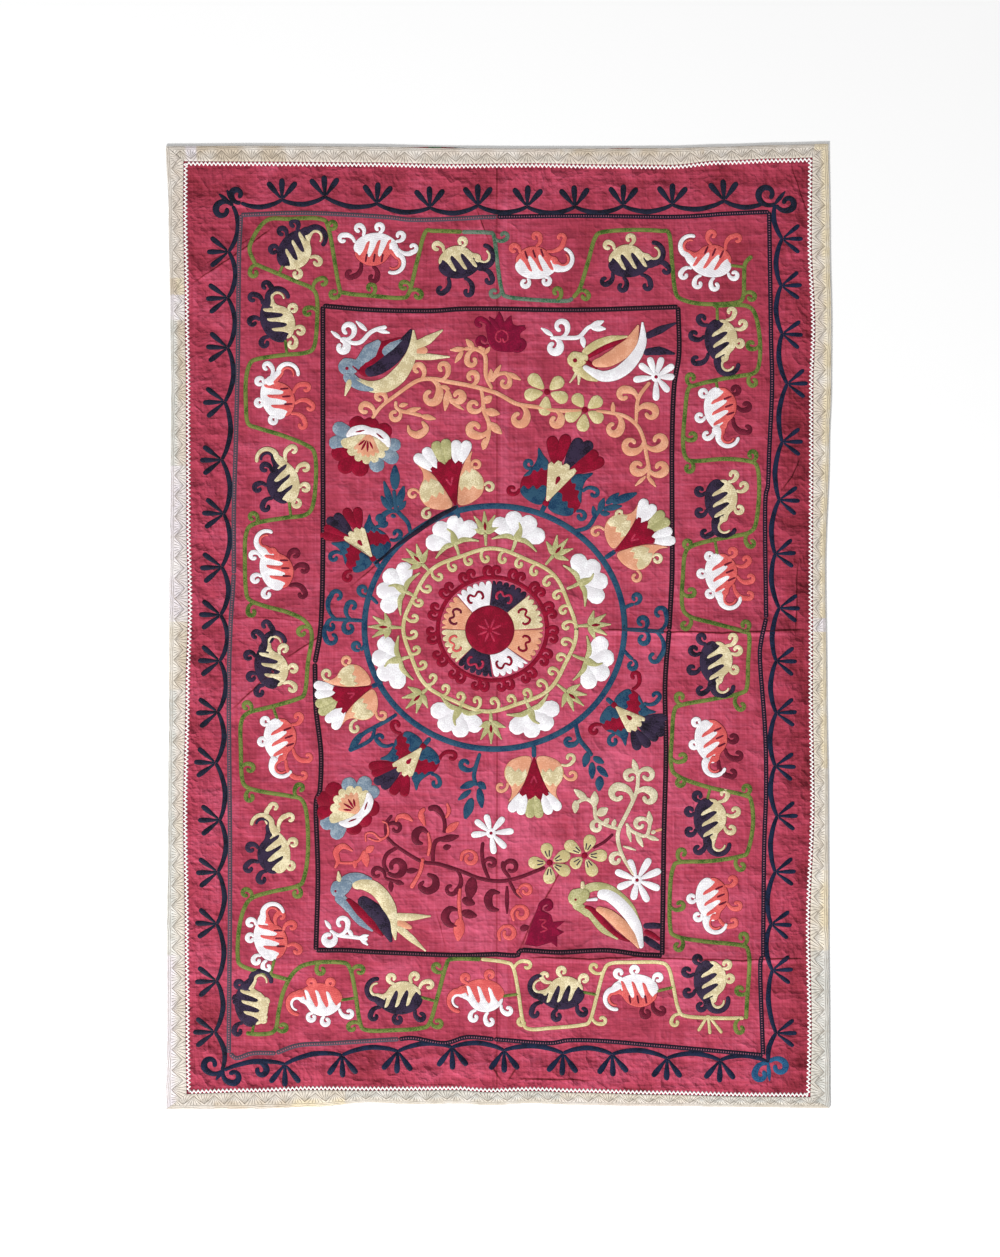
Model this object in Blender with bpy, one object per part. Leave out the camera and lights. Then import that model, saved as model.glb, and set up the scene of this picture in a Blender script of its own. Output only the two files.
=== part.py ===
"""A silk embroidered hanging, laid out flat and face up.

Two widths of red cloth are sewn side by side and edged with a quilted border of four
mitred strips. A zigzag braid covers the seam between the cloth and the border, and a
striped lining backs it all. Metres, +Z up, +Y towards the top edge. The origin is on
the floor, under the middle of the cloth.
"""

import math
from typing import NamedTuple

import bmesh
import bpy

# Driving sizes of the whole cloth, and of the parts that are sewn to make it.
WIDTH = 1.6625
LENGTH = 2.4125
BORDER_WIDTH = 0.045
CENTRE_SEAM_X = -0.004
BRAID_WIDTH = 0.010
QUILT_PITCH = 0.051
QUILT_TURNS = (0.28, 0.74)  # shares of the border's width where the zigzag turns

# How thick each layer is, and the clearance that parts neighbouring solids.
LINING_THICK = 0.0010
GROUND_THICK = 0.0015
BORDER_EDGE_THICK = 0.0018
BORDER_THICK = 0.0026
QUILT_RELIEF = 0.0010
BRAID_THICK = 0.0010
LAYER_GAP = 0.0003
SEAM_GAP = 0.0008
MITRE_GAP = 0.0006

# How the surfaces are divided.
GROUND_STEP = 0.045
FLAT_RIM = 0.014
RIM_FADE = 0.050
BRAID_STEP = 0.048
LINING_STEP = 0.060
LINING_INSET = 0.0012

LINING_TOP = LINING_THICK
CLOTH_BASE = LINING_TOP + LAYER_GAP
BRAID_BASE = CLOTH_BASE + GROUND_THICK + LAYER_GAP


class EdgeStation(NamedTuple):
    """Where one edge of the cloth runs at one place along it."""

    along: float  # along the side, from its middle
    outer: float  # from the cloth's widest line in to the border's outer edge
    seam: float  # from the cloth's widest line in to the border's inner edge


class Fold(NamedTuple):
    """A low fold of the ground, raised along a straight line."""

    x0: float
    y0: float
    x1: float
    y1: float
    height: float
    reach: float  # from the crest to where the cloth is flat again


class Peek(NamedTuple):
    """A stretch of the top edge where the lining shows past the border."""

    middle: float
    half_length: float
    depth: float


TOP_EDGE = (
    EdgeStation(-0.831, 0.006, 0.043),
    EdgeStation(-0.620, 0.005, 0.044),
    EdgeStation(-0.320, 0.007, 0.046),
    EdgeStation(-0.120, 0.011, 0.050),
    EdgeStation(0.080, 0.012, 0.048),
    EdgeStation(0.280, 0.012, 0.051),
    EdgeStation(0.430, 0.011, 0.052),
    EdgeStation(0.560, 0.007, 0.041),
    EdgeStation(0.700, 0.003, 0.036),
    EdgeStation(0.831, 0.000, 0.033),
)
BOTTOM_EDGE = (
    EdgeStation(-0.831, 0.000, 0.037),
    EdgeStation(-0.620, 0.001, 0.042),
    EdgeStation(-0.470, 0.006, 0.047),
    EdgeStation(-0.320, 0.017, 0.046),
    EdgeStation(-0.220, 0.012, 0.046),
    EdgeStation(-0.110, 0.014, 0.047),
    EdgeStation(-0.020, 0.010, 0.042),
    EdgeStation(0.080, 0.015, 0.045),
    EdgeStation(0.200, 0.010, 0.041),
    EdgeStation(0.400, 0.008, 0.036),
    EdgeStation(0.650, 0.005, 0.031),
    EdgeStation(0.831, 0.003, 0.030),
)
LEFT_EDGE = (
    EdgeStation(-1.206, 0.000, 0.052),
    EdgeStation(-1.000, 0.002, 0.049),
    EdgeStation(-0.760, 0.003, 0.047),
    EdgeStation(-0.460, 0.006, 0.043),
    EdgeStation(-0.160, 0.008, 0.049),
    EdgeStation(0.060, 0.009, 0.055),
    EdgeStation(0.260, 0.011, 0.051),
    EdgeStation(0.590, 0.013, 0.050),
    EdgeStation(0.800, 0.011, 0.047),
    EdgeStation(1.040, 0.007, 0.043),
    EdgeStation(1.206, 0.000, 0.044),
)
RIGHT_EDGE = (
    EdgeStation(-1.206, 0.004, 0.052),
    EdgeStation(-1.000, 0.005, 0.048),
    EdgeStation(-0.740, 0.007, 0.052),
    EdgeStation(-0.430, 0.008, 0.041),
    EdgeStation(-0.160, 0.012, 0.045),
    EdgeStation(0.140, 0.015, 0.045),
    EdgeStation(0.440, 0.006, 0.044),
    EdgeStation(0.590, 0.001, 0.044),
    EdgeStation(0.740, 0.000, 0.039),
    EdgeStation(0.960, 0.004, 0.048),
    EdgeStation(1.206, 0.007, 0.046),
)

FOLDS = (
    Fold(0.270, -0.010, 0.740, -0.013, 0.0050, 0.060),  # storage fold, right half
    Fold(-0.740, 0.026, -0.430, 0.022, 0.0035, 0.060),  # storage fold, left half
    Fold(-0.450, -0.042, -0.330, -0.026, 0.0030, 0.045),
    Fold(0.060, -0.826, 0.740, -0.832, 0.0060, 0.065),  # lower storage fold, right
    Fold(-0.740, -0.840, -0.300, -0.838, 0.0030, 0.065),  # lower storage fold, left
    Fold(0.220, -0.330, 0.048, -0.815, 0.0050, 0.055),  # long slant under the ring
    Fold(-0.430, -0.020, -0.515, -0.075, 0.0045, 0.050),
    Fold(-0.515, -0.075, -0.660, -0.205, 0.0035, 0.050),
    Fold(-0.310, 0.155, -0.110, 0.300, 0.0045, 0.055),  # over the ring, upper left
    Fold(-0.070, 1.120, -0.020, 0.950, 0.0040, 0.050),
    Fold(-0.750, 0.850, -0.650, 0.940, 0.0035, 0.050),
    Fold(0.710, 0.360, 0.750, 0.450, 0.0040, 0.045),
    Fold(0.742, 0.180, 0.738, 0.000, 0.0040, 0.045),
    Fold(0.655, 0.440, 0.650, 0.280, 0.0030, 0.045),
    Fold(0.730, 1.100, 0.760, 0.980, 0.0030, 0.045),
    Fold(-0.100, -1.090, -0.020, -1.115, 0.0060, 0.055),
    Fold(-0.020, -1.115, 0.240, -1.120, 0.0055, 0.050),
    Fold(-0.460, -1.115, -0.240, -1.100, 0.0040, 0.050),
    Fold(0.350, 0.580, 0.310, 0.470, 0.0030, 0.055),
    Fold(-0.005, 0.780, -0.020, 0.420, 0.0025, 0.060),
)

LINING_PEEKS = (
    Peek(-0.150, 0.130, 0.0045),
    Peek(0.310, 0.080, 0.0028),
)

RED_CLOTH = ("red_cloth", (0.43, 0.11, 0.15), 0.75)
CREAM_CLOTH = ("cream_cloth", (0.64, 0.57, 0.47), 0.85)
WHITE_BRAID = ("white_braid", (0.86, 0.85, 0.82), 0.80)
STRIPED_LINING = ("striped_lining", (0.36, 0.07, 0.07), 0.85)


def clear_scene():
    """Removes the objects that the scene starts with."""
    for obj in list(bpy.data.objects):
        bpy.data.objects.remove(obj, do_unlink=True)


def finish(name, colour, roughness):
    """A cloth material of one colour."""
    material = bpy.data.materials.new(name)
    material.use_nodes = True
    shader = material.node_tree.nodes["Principled BSDF"]
    shader.inputs["Base Color"].default_value = (*colour, 1.0)
    shader.inputs["Roughness"].default_value = roughness
    shader.inputs["Metallic"].default_value = 0.0
    return material


def ease(t):
    """A smooth step from 0 to 1."""
    t = min(max(t, 0.0), 1.0)
    return t * t * (3.0 - 2.0 * t)


def mix(a, b, t):
    """The value that lies the share t of the way from a to b."""
    return a + (b - a) * t


def edge_at(edge, along):
    """The (outer, seam) insets of an edge, eased from station to station."""
    if along <= edge[0].along:
        return edge[0].outer, edge[0].seam
    for here, after in zip(edge, edge[1:]):
        if along <= after.along:
            t = ease((along - here.along) / (after.along - here.along))
            return mix(here.outer, after.outer, t), mix(here.seam, after.seam, t)
    return edge[-1].outer, edge[-1].seam


def warped(place, half, low, high):
    """Moves a coordinate of the even plan to the uneven cloth.

    low and high are the (outer, seam) insets of the two edges that bound it.
    """
    inner = half - BORDER_WIDTH
    if place < -inner:
        t = (place + half) / BORDER_WIDTH
        return mix(-half + low[0], -half + low[1], t)
    if place > inner:
        t = (half - place) / BORDER_WIDTH
        return mix(half - high[0], half - high[1], t)
    t = (place + inner) / (2.0 * inner)
    return mix(-half + low[1], half - high[1], t)


def on_cloth(x, y):
    """The real place of a point of the even, rectangular plan."""
    across = warped(x, WIDTH / 2, edge_at(LEFT_EDGE, y), edge_at(RIGHT_EDGE, y))
    along = warped(y, LENGTH / 2, edge_at(BOTTOM_EDGE, x), edge_at(TOP_EDGE, x))
    return across, along


class Side(NamedTuple):
    """One of the four sides of the cloth."""

    along_x: bool
    sign: float
    trim: float  # what a strip on this side leaves free at its mitres

    def half_sizes(self):
        """Half of the cloth's size along the side, and half of its size across it."""
        return (WIDTH / 2, LENGTH / 2) if self.along_x else (LENGTH / 2, WIDTH / 2)

    def on_cloth(self, run, depth):
        """The real place of a point at run along the side and depth from the middle."""
        return on_cloth(run, self.sign * depth) if self.along_x else on_cloth(self.sign * depth, run)


SIDES = {
    "top": Side(True, 1.0, MITRE_GAP),
    "bottom": Side(True, -1.0, MITRE_GAP),
    "left": Side(False, -1.0, 0.0),
    "right": Side(False, 1.0, 0.0),
}


def fold_rise(fold, x, y):
    """How far one fold lifts the ground at a point."""
    run_x, run_y = fold.x1 - fold.x0, fold.y1 - fold.y0
    share = ((x - fold.x0) * run_x + (y - fold.y0) * run_y) / (run_x**2 + run_y**2)
    share = min(max(share, 0.0), 1.0)
    away = math.hypot(x - fold.x0 - share * run_x, y - fold.y0 - share * run_y)
    return fold.height * (1.0 - ease(away / fold.reach))


def ground_rise(x, y):
    """How far the ground stands above the lining, over what it does where flat."""
    rise = max(fold_rise(fold, x, y) for fold in FOLDS)
    to_rim = min(
        WIDTH / 2 - BORDER_WIDTH - abs(x),
        LENGTH / 2 - BORDER_WIDTH - abs(y),
    )
    return rise * ease((to_rim - FLAT_RIM) / RIM_FADE)


def even(first, last, step):
    """Evenly set places from first to last, about a step apart."""
    count = max(1, round((last - first) / step))
    return [mix(first, last, i / count) for i in range(count + 1)]


def grid_surface(columns, rows, place):
    """A bmesh grid whose vertex of column i and row j lies at place(i, j)."""
    surface = bmesh.new()
    bmesh.ops.create_grid(
        surface, x_segments=len(columns) - 1, y_segments=len(rows) - 1, size=1.0
    )
    for vertex in surface.verts:
        i = round((vertex.co.x + 1.0) / 2.0 * (len(columns) - 1))
        j = round((vertex.co.y + 1.0) / 2.0 * (len(rows) - 1))
        vertex.co = place(i, j)
    return surface


def as_object(name, surface, material):
    """Turns a bmesh into an object of the scene, with its faces pointing out."""
    bmesh.ops.recalc_face_normals(surface, faces=surface.faces[:])
    mesh = bpy.data.meshes.new(name)
    surface.to_mesh(mesh)
    surface.free()
    mesh.materials.append(material)
    obj = bpy.data.objects.new(name, mesh)
    bpy.context.scene.collection.objects.link(obj)
    return obj


def close_down_to(surface, base):
    """Makes a top surface a closed slab that is flat underneath, at the height base."""
    extruded = bmesh.ops.extrude_face_region(surface, geom=surface.faces[:])
    for item in extruded["geom"]:
        if isinstance(item, bmesh.types.BMVert):
            item.co.z = base


def lining_inset(x, y):
    """How far the lining stops short of the border's edge; less than 0 where it shows."""
    if y < LENGTH / 2:
        return LINING_INSET
    shown = max(
        peek.depth * (1.0 - ease(abs(x - peek.middle) / peek.half_length))
        for peek in LINING_PEEKS
    )
    return LINING_INSET - shown


def make_lining(material):
    """The backing cloth: flat on the floor, and seen a little past the top edge."""
    half_w, half_l = WIDTH / 2, LENGTH / 2
    xs = even(-half_w, half_w, LINING_STEP)
    ys = even(-half_l, half_l, LINING_STEP)
    rim = [(x, -half_l) for x in xs]
    rim += [(half_w, y) for y in ys[1:]]
    rim += [(x, half_l) for x in reversed(xs[:-1])]
    rim += [(-half_w, y) for y in reversed(ys[1:-1])]

    surface = bmesh.new()
    corners = []
    for x, y in rim:
        cloth_x, cloth_y = on_cloth(x, y)
        if abs(x) == half_w:
            cloth_x -= math.copysign(LINING_INSET, x)
        if abs(y) == half_l:
            cloth_y -= math.copysign(lining_inset(x, y), y)
        corners.append(surface.verts.new((cloth_x, cloth_y, LINING_TOP)))
    surface.faces.new(corners)
    close_down_to(surface, 0.0)
    return as_object("lining", surface, material)


def make_ground(name, columns, material):
    """One width of the red cloth, lying on the lining in its folds."""
    end = LENGTH / 2 - BORDER_WIDTH - SEAM_GAP
    rows = [-end, *even(-end + FLAT_RIM, end - FLAT_RIM, GROUND_STEP), end]

    def place(i, j):
        x, y = columns[i], rows[j]
        return (*on_cloth(x, y), CLOTH_BASE + ground_rise(x, y))

    surface = grid_surface(columns, rows, place)
    obj = as_object(name, surface, material)
    obj.data.shade_smooth()
    thickness = obj.modifiers.new("cloth_thickness", "SOLIDIFY")
    thickness.thickness = GROUND_THICK
    thickness.offset = 1.0
    return obj


def make_border(name, side, material):
    """One quilted strip of the border, mitred at both ends.

    Its middle row of points runs to and fro, which raises the zigzag of the quilting.
    """
    half_run, half_across = side.half_sizes()
    steps = 2 * round((half_run - BORDER_WIDTH) * 2.0 / QUILT_PITCH)
    heights = (BORDER_EDGE_THICK, BORDER_THICK + QUILT_RELIEF, BORDER_THICK)

    def share_in(i, row):
        if row == 1:
            return 0.5 if i in (0, steps) else QUILT_TURNS[i % 2]
        return row / 2.0

    def place(i, row):
        inset = share_in(i, row) * BORDER_WIDTH
        end = half_run - inset - side.trim
        run = mix(-end, end, i / steps)
        return (*side.on_cloth(run, half_across - inset), CLOTH_BASE + heights[row])

    surface = grid_surface(range(steps + 1), range(len(heights)), place)
    close_down_to(surface, CLOTH_BASE)
    return as_object(name, surface, material)


def make_braid(name, side, material):
    """One length of the white braid, on the ground beside the border's inner edge."""
    half_run, half_across = side.half_sizes()
    steps = round((half_run - BORDER_WIDTH) * 2.0 / BRAID_STEP)

    def place(i, row):
        inset = BORDER_WIDTH + SEAM_GAP + row * BRAID_WIDTH
        end = half_run - inset - side.trim
        run = mix(-end, end, i / steps)
        return (*side.on_cloth(run, half_across - inset), BRAID_BASE + BRAID_THICK)

    surface = grid_surface(range(steps + 1), range(2), place)
    close_down_to(surface, BRAID_BASE)
    return as_object(name, surface, material)


def main():
    """Builds every piece of the hanging."""
    clear_scene()
    red = finish(*RED_CLOTH)
    cream = finish(*CREAM_CLOTH)
    white = finish(*WHITE_BRAID)
    striped = finish(*STRIPED_LINING)

    make_lining(striped)
    side_seam = WIDTH / 2 - BORDER_WIDTH - SEAM_GAP
    left_edge = CENTRE_SEAM_X - LAYER_GAP / 2
    right_edge = CENTRE_SEAM_X + LAYER_GAP / 2
    left_columns = even(-side_seam + FLAT_RIM, left_edge, GROUND_STEP)
    right_columns = even(right_edge, side_seam - FLAT_RIM, GROUND_STEP)
    make_ground("ground_left", [-side_seam, *left_columns], red)
    make_ground("ground_right", [*right_columns, side_seam], red)
    for side_name, side in SIDES.items():
        make_border(f"border_{side_name}", side, cream)
        make_braid(f"braid_{side_name}", side, white)


main()
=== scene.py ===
"""A silk embroidered hanging of red cotton, spread out flat and seen from above.

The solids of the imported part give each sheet's size and place. This script lays the
finished cloth, the quilted border, the zigzag braid and all the embroidery over them.
Sizes are in metres, and the embroidery is laid out on a chart of small squares, as a
maker draws it on the cloth before sewing.
"""

import logging
import math
from dataclasses import dataclass, field
from enum import Enum
from typing import NamedTuple, Optional, Sequence, Union

import bmesh
import bpy
import numpy as np
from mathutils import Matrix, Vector


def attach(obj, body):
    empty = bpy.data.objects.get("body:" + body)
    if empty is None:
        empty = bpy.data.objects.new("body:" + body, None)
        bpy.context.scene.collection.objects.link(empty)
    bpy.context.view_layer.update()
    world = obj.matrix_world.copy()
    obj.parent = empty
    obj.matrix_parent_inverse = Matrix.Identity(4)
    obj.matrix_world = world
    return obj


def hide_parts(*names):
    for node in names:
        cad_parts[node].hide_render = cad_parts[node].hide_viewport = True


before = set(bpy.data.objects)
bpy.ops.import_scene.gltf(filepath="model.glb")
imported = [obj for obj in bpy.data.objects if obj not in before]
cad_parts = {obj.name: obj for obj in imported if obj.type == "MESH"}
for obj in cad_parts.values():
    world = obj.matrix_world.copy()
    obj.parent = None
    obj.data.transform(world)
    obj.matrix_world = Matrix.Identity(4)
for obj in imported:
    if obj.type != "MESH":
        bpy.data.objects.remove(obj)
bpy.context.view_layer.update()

LOG = logging.getLogger("hanging")
BODY = "root"

# The chart: squares of cloth, counted to the right and down from the sheet's top left.
CHART_SQUARE = 0.0025
CHART_MIDDLE = (498.5, 626.5)

# The whole cloth, as its solids have it.
WIDTH = 1.6625
LENGTH = 2.4125
BORDER_WIDTH = 0.045
CENTRE_SEAM_X = -0.004
LINING_THICK = 0.0010
LAYER_GAP = 0.0003
GROUND_THICK = 0.0015
SEAM_GAP = 0.0008
FLAT_RIM = 0.014
RIM_FADE = 0.050
CLOTH_BASE = LINING_THICK + LAYER_GAP

# The sewing: how high silk stands, how deep its edge sinks, and how it is divided.
SILK_LIFT = 0.0009
SILK_LAYER = 0.00035
SILK_SINK = 0.00015
SILK_RIM = 0.0026
SILK_MARGIN = 0.0012
STITCH_STEP = 0.0065
FILL_CELL = 0.0105
Point = tuple[float, float]
Value = Union[float, bpy.types.NodeSocket]
Colour = Union[tuple[float, float, float, float], bpy.types.NodeSocket]


class EdgeStation(NamedTuple):
    """Where one edge of the cloth runs at one place along it, in metres."""

    along: float
    outer: float
    seam: float


class Fold(NamedTuple):
    """A low fold or crease of the ground along a straight line, in metres."""

    x0: float
    y0: float
    x1: float
    y1: float
    height: float
    reach: float


TOP_EDGE = (
    EdgeStation(-0.831, 0.006, 0.043),
    EdgeStation(-0.620, 0.005, 0.044),
    EdgeStation(-0.320, 0.007, 0.046),
    EdgeStation(-0.120, 0.011, 0.050),
    EdgeStation(0.080, 0.012, 0.048),
    EdgeStation(0.280, 0.012, 0.051),
    EdgeStation(0.430, 0.011, 0.052),
    EdgeStation(0.560, 0.007, 0.041),
    EdgeStation(0.700, 0.003, 0.036),
    EdgeStation(0.831, 0.000, 0.033),
)
BOTTOM_EDGE = (
    EdgeStation(-0.831, 0.000, 0.037),
    EdgeStation(-0.620, 0.001, 0.042),
    EdgeStation(-0.470, 0.006, 0.047),
    EdgeStation(-0.320, 0.017, 0.046),
    EdgeStation(-0.220, 0.012, 0.046),
    EdgeStation(-0.110, 0.014, 0.047),
    EdgeStation(-0.020, 0.010, 0.042),
    EdgeStation(0.080, 0.015, 0.045),
    EdgeStation(0.200, 0.010, 0.041),
    EdgeStation(0.400, 0.008, 0.036),
    EdgeStation(0.650, 0.005, 0.031),
    EdgeStation(0.831, 0.003, 0.030),
)
LEFT_EDGE = (
    EdgeStation(-1.206, 0.000, 0.052),
    EdgeStation(-1.000, 0.002, 0.049),
    EdgeStation(-0.760, 0.003, 0.047),
    EdgeStation(-0.460, 0.006, 0.043),
    EdgeStation(-0.160, 0.008, 0.049),
    EdgeStation(0.060, 0.009, 0.055),
    EdgeStation(0.260, 0.011, 0.051),
    EdgeStation(0.590, 0.013, 0.050),
    EdgeStation(0.800, 0.011, 0.047),
    EdgeStation(1.040, 0.007, 0.043),
    EdgeStation(1.206, 0.000, 0.044),
)
RIGHT_EDGE = (
    EdgeStation(-1.206, 0.004, 0.052),
    EdgeStation(-1.000, 0.005, 0.048),
    EdgeStation(-0.740, 0.007, 0.052),
    EdgeStation(-0.430, 0.008, 0.041),
    EdgeStation(-0.160, 0.012, 0.045),
    EdgeStation(0.140, 0.015, 0.045),
    EdgeStation(0.440, 0.006, 0.044),
    EdgeStation(0.590, 0.001, 0.044),
    EdgeStation(0.740, 0.000, 0.039),
    EdgeStation(0.960, 0.004, 0.048),
    EdgeStation(1.206, 0.007, 0.046),
)

FOLDS = (
    Fold(0.270, -0.010, 0.740, -0.013, 0.0050, 0.060),
    Fold(-0.740, 0.026, -0.430, 0.022, 0.0035, 0.060),
    Fold(-0.450, -0.042, -0.330, -0.026, 0.0030, 0.045),
    Fold(0.060, -0.826, 0.740, -0.832, 0.0060, 0.065),
    Fold(-0.740, -0.840, -0.300, -0.838, 0.0030, 0.065),
    Fold(0.220, -0.330, 0.048, -0.815, 0.0050, 0.055),
    Fold(-0.430, -0.020, -0.515, -0.075, 0.0045, 0.050),
    Fold(-0.515, -0.075, -0.660, -0.205, 0.0035, 0.050),
    Fold(-0.310, 0.155, -0.110, 0.300, 0.0045, 0.055),
    Fold(-0.070, 1.120, -0.020, 0.950, 0.0040, 0.050),
    Fold(-0.750, 0.850, -0.650, 0.940, 0.0035, 0.050),
    Fold(0.710, 0.360, 0.750, 0.450, 0.0040, 0.045),
    Fold(0.742, 0.180, 0.738, 0.000, 0.0040, 0.045),
    Fold(0.655, 0.440, 0.650, 0.280, 0.0030, 0.045),
    Fold(0.730, 1.100, 0.760, 0.980, 0.0030, 0.045),
    Fold(-0.100, -1.090, -0.020, -1.115, 0.0060, 0.055),
    Fold(-0.020, -1.115, 0.240, -1.120, 0.0055, 0.050),
    Fold(-0.460, -1.115, -0.240, -1.100, 0.0040, 0.050),
    Fold(0.350, 0.580, 0.310, 0.470, 0.0030, 0.055),
    Fold(-0.005, 0.780, -0.020, 0.420, 0.0025, 0.060),
)
CREASES = (
    Fold(0.250, -0.012, 0.765, -0.014, 0.0016, 0.014),
    Fold(-0.770, 0.016, -0.420, 0.024, 0.0009, 0.016),
    Fold(0.070, -0.829, 0.770, -0.832, 0.0017, 0.014),
    Fold(-0.770, -0.836, -0.200, -0.840, 0.0008, 0.016),
    Fold(0.190, -0.535, 0.048, -0.812, 0.0012, 0.013),
    Fold(-0.665, -0.205, -0.530, -0.082, 0.0014, 0.013),
    Fold(-0.530, -0.082, -0.420, 0.002, 0.0014, 0.013),
    Fold(-0.370, 0.100, -0.255, 0.205, 0.0010, 0.013),
    Fold(-0.255, 0.205, -0.100, 0.303, 0.0014, 0.013),
    Fold(-0.765, 0.855, -0.560, 1.000, 0.0011, 0.013),
    Fold(-0.750, 0.905, -0.640, 0.975, 0.0008, 0.013),
    Fold(-0.054, 1.048, -0.024, 0.958, 0.0011, 0.013),
    Fold(0.756, 0.426, 0.704, 0.339, 0.0011, 0.013),
    Fold(0.776, 1.010, 0.740, 1.060, 0.0008, 0.013),
    Fold(0.480, 0.815, 0.760, 0.822, 0.0006, 0.018),
    Fold(-0.440, 0.330, -0.220, 0.405, 0.0007, 0.016),
    Fold(-0.130, -1.100, -0.060, -1.148, 0.0016, 0.014),
    Fold(0.020, -1.098, -0.045, -1.148, 0.0016, 0.014),
    Fold(0.045, -1.133, 0.245, -1.136, 0.0014, 0.014),
    Fold(-0.010, -0.330, -0.005, -0.610, 0.0006, 0.014),
    Fold(0.755, 0.230, 0.750, -0.020, 0.0009, 0.013),
    Fold(-0.300, -0.010, -0.130, -0.055, 0.0006, 0.013),
)


def linear(red: int, green: int, blue: int) -> tuple[float, float, float, float]:
    """A display colour, each part from 0 to 255, as the renderer's linear colour.

    Args:
        red: the red part.
        green: the green part.
        blue: the blue part.

    Returns:
        Red, green, blue and a full alpha, from 0 to 1.
    """
    parts = (red / 255.0, green / 255.0, blue / 255.0)
    made = [p / 12.92 if p <= 0.04045 else ((p + 0.055) / 1.055) ** 2.4 for p in parts]
    return (*made, 1.0)


def ease(t: np.ndarray) -> np.ndarray:
    """A smooth step from 0 to 1."""
    t = np.clip(t, 0.0, 1.0)
    return t * t * (3.0 - 2.0 * t)


def curve_through(points: Sequence[Point], step: float, closed: bool = False) -> np.ndarray:
    """Evenly spaced points on a smooth curve through the given ones.

    Args:
        points: the points to pass through; one that is given twice is a corner.
        step: about how far apart the new points are.
        closed: whether the curve comes back to its start.

    Returns:
        An array of points, without the first one again at the end of a closed curve.
    """
    p = np.asarray(points, float)
    if closed:
        ring = np.vstack([p[-1:], p, p[:2]])
    else:
        ring = np.vstack([2 * p[0] - p[1], p, 2 * p[-1] - p[-2]])
    a, b, c, d = (ring[i : len(ring) - 3 + i, None, :] for i in range(4))
    t = np.linspace(0.0, 1.0, 10, endpoint=False)[None, :, None]
    bend = (2 * a - 5 * b + 4 * c - d) * t**2 + (3 * b - a - 3 * c + d) * t**3
    fine = (0.5 * (2 * b + (c - a) * t + bend)).reshape(-1, 2)
    fine = np.vstack([fine, p[:1] if closed else p[-1:]])
    length = np.concatenate([[0.0], np.cumsum(np.hypot(*np.diff(fine, axis=0).T))])
    count = max(4, int(round(length[-1] / step)))
    at = np.linspace(0.0, length[-1], count + 1)
    if closed:
        at = at[:-1]
    return np.column_stack([np.interp(at, length, fine[:, k]) for k in (0, 1)])


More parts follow.
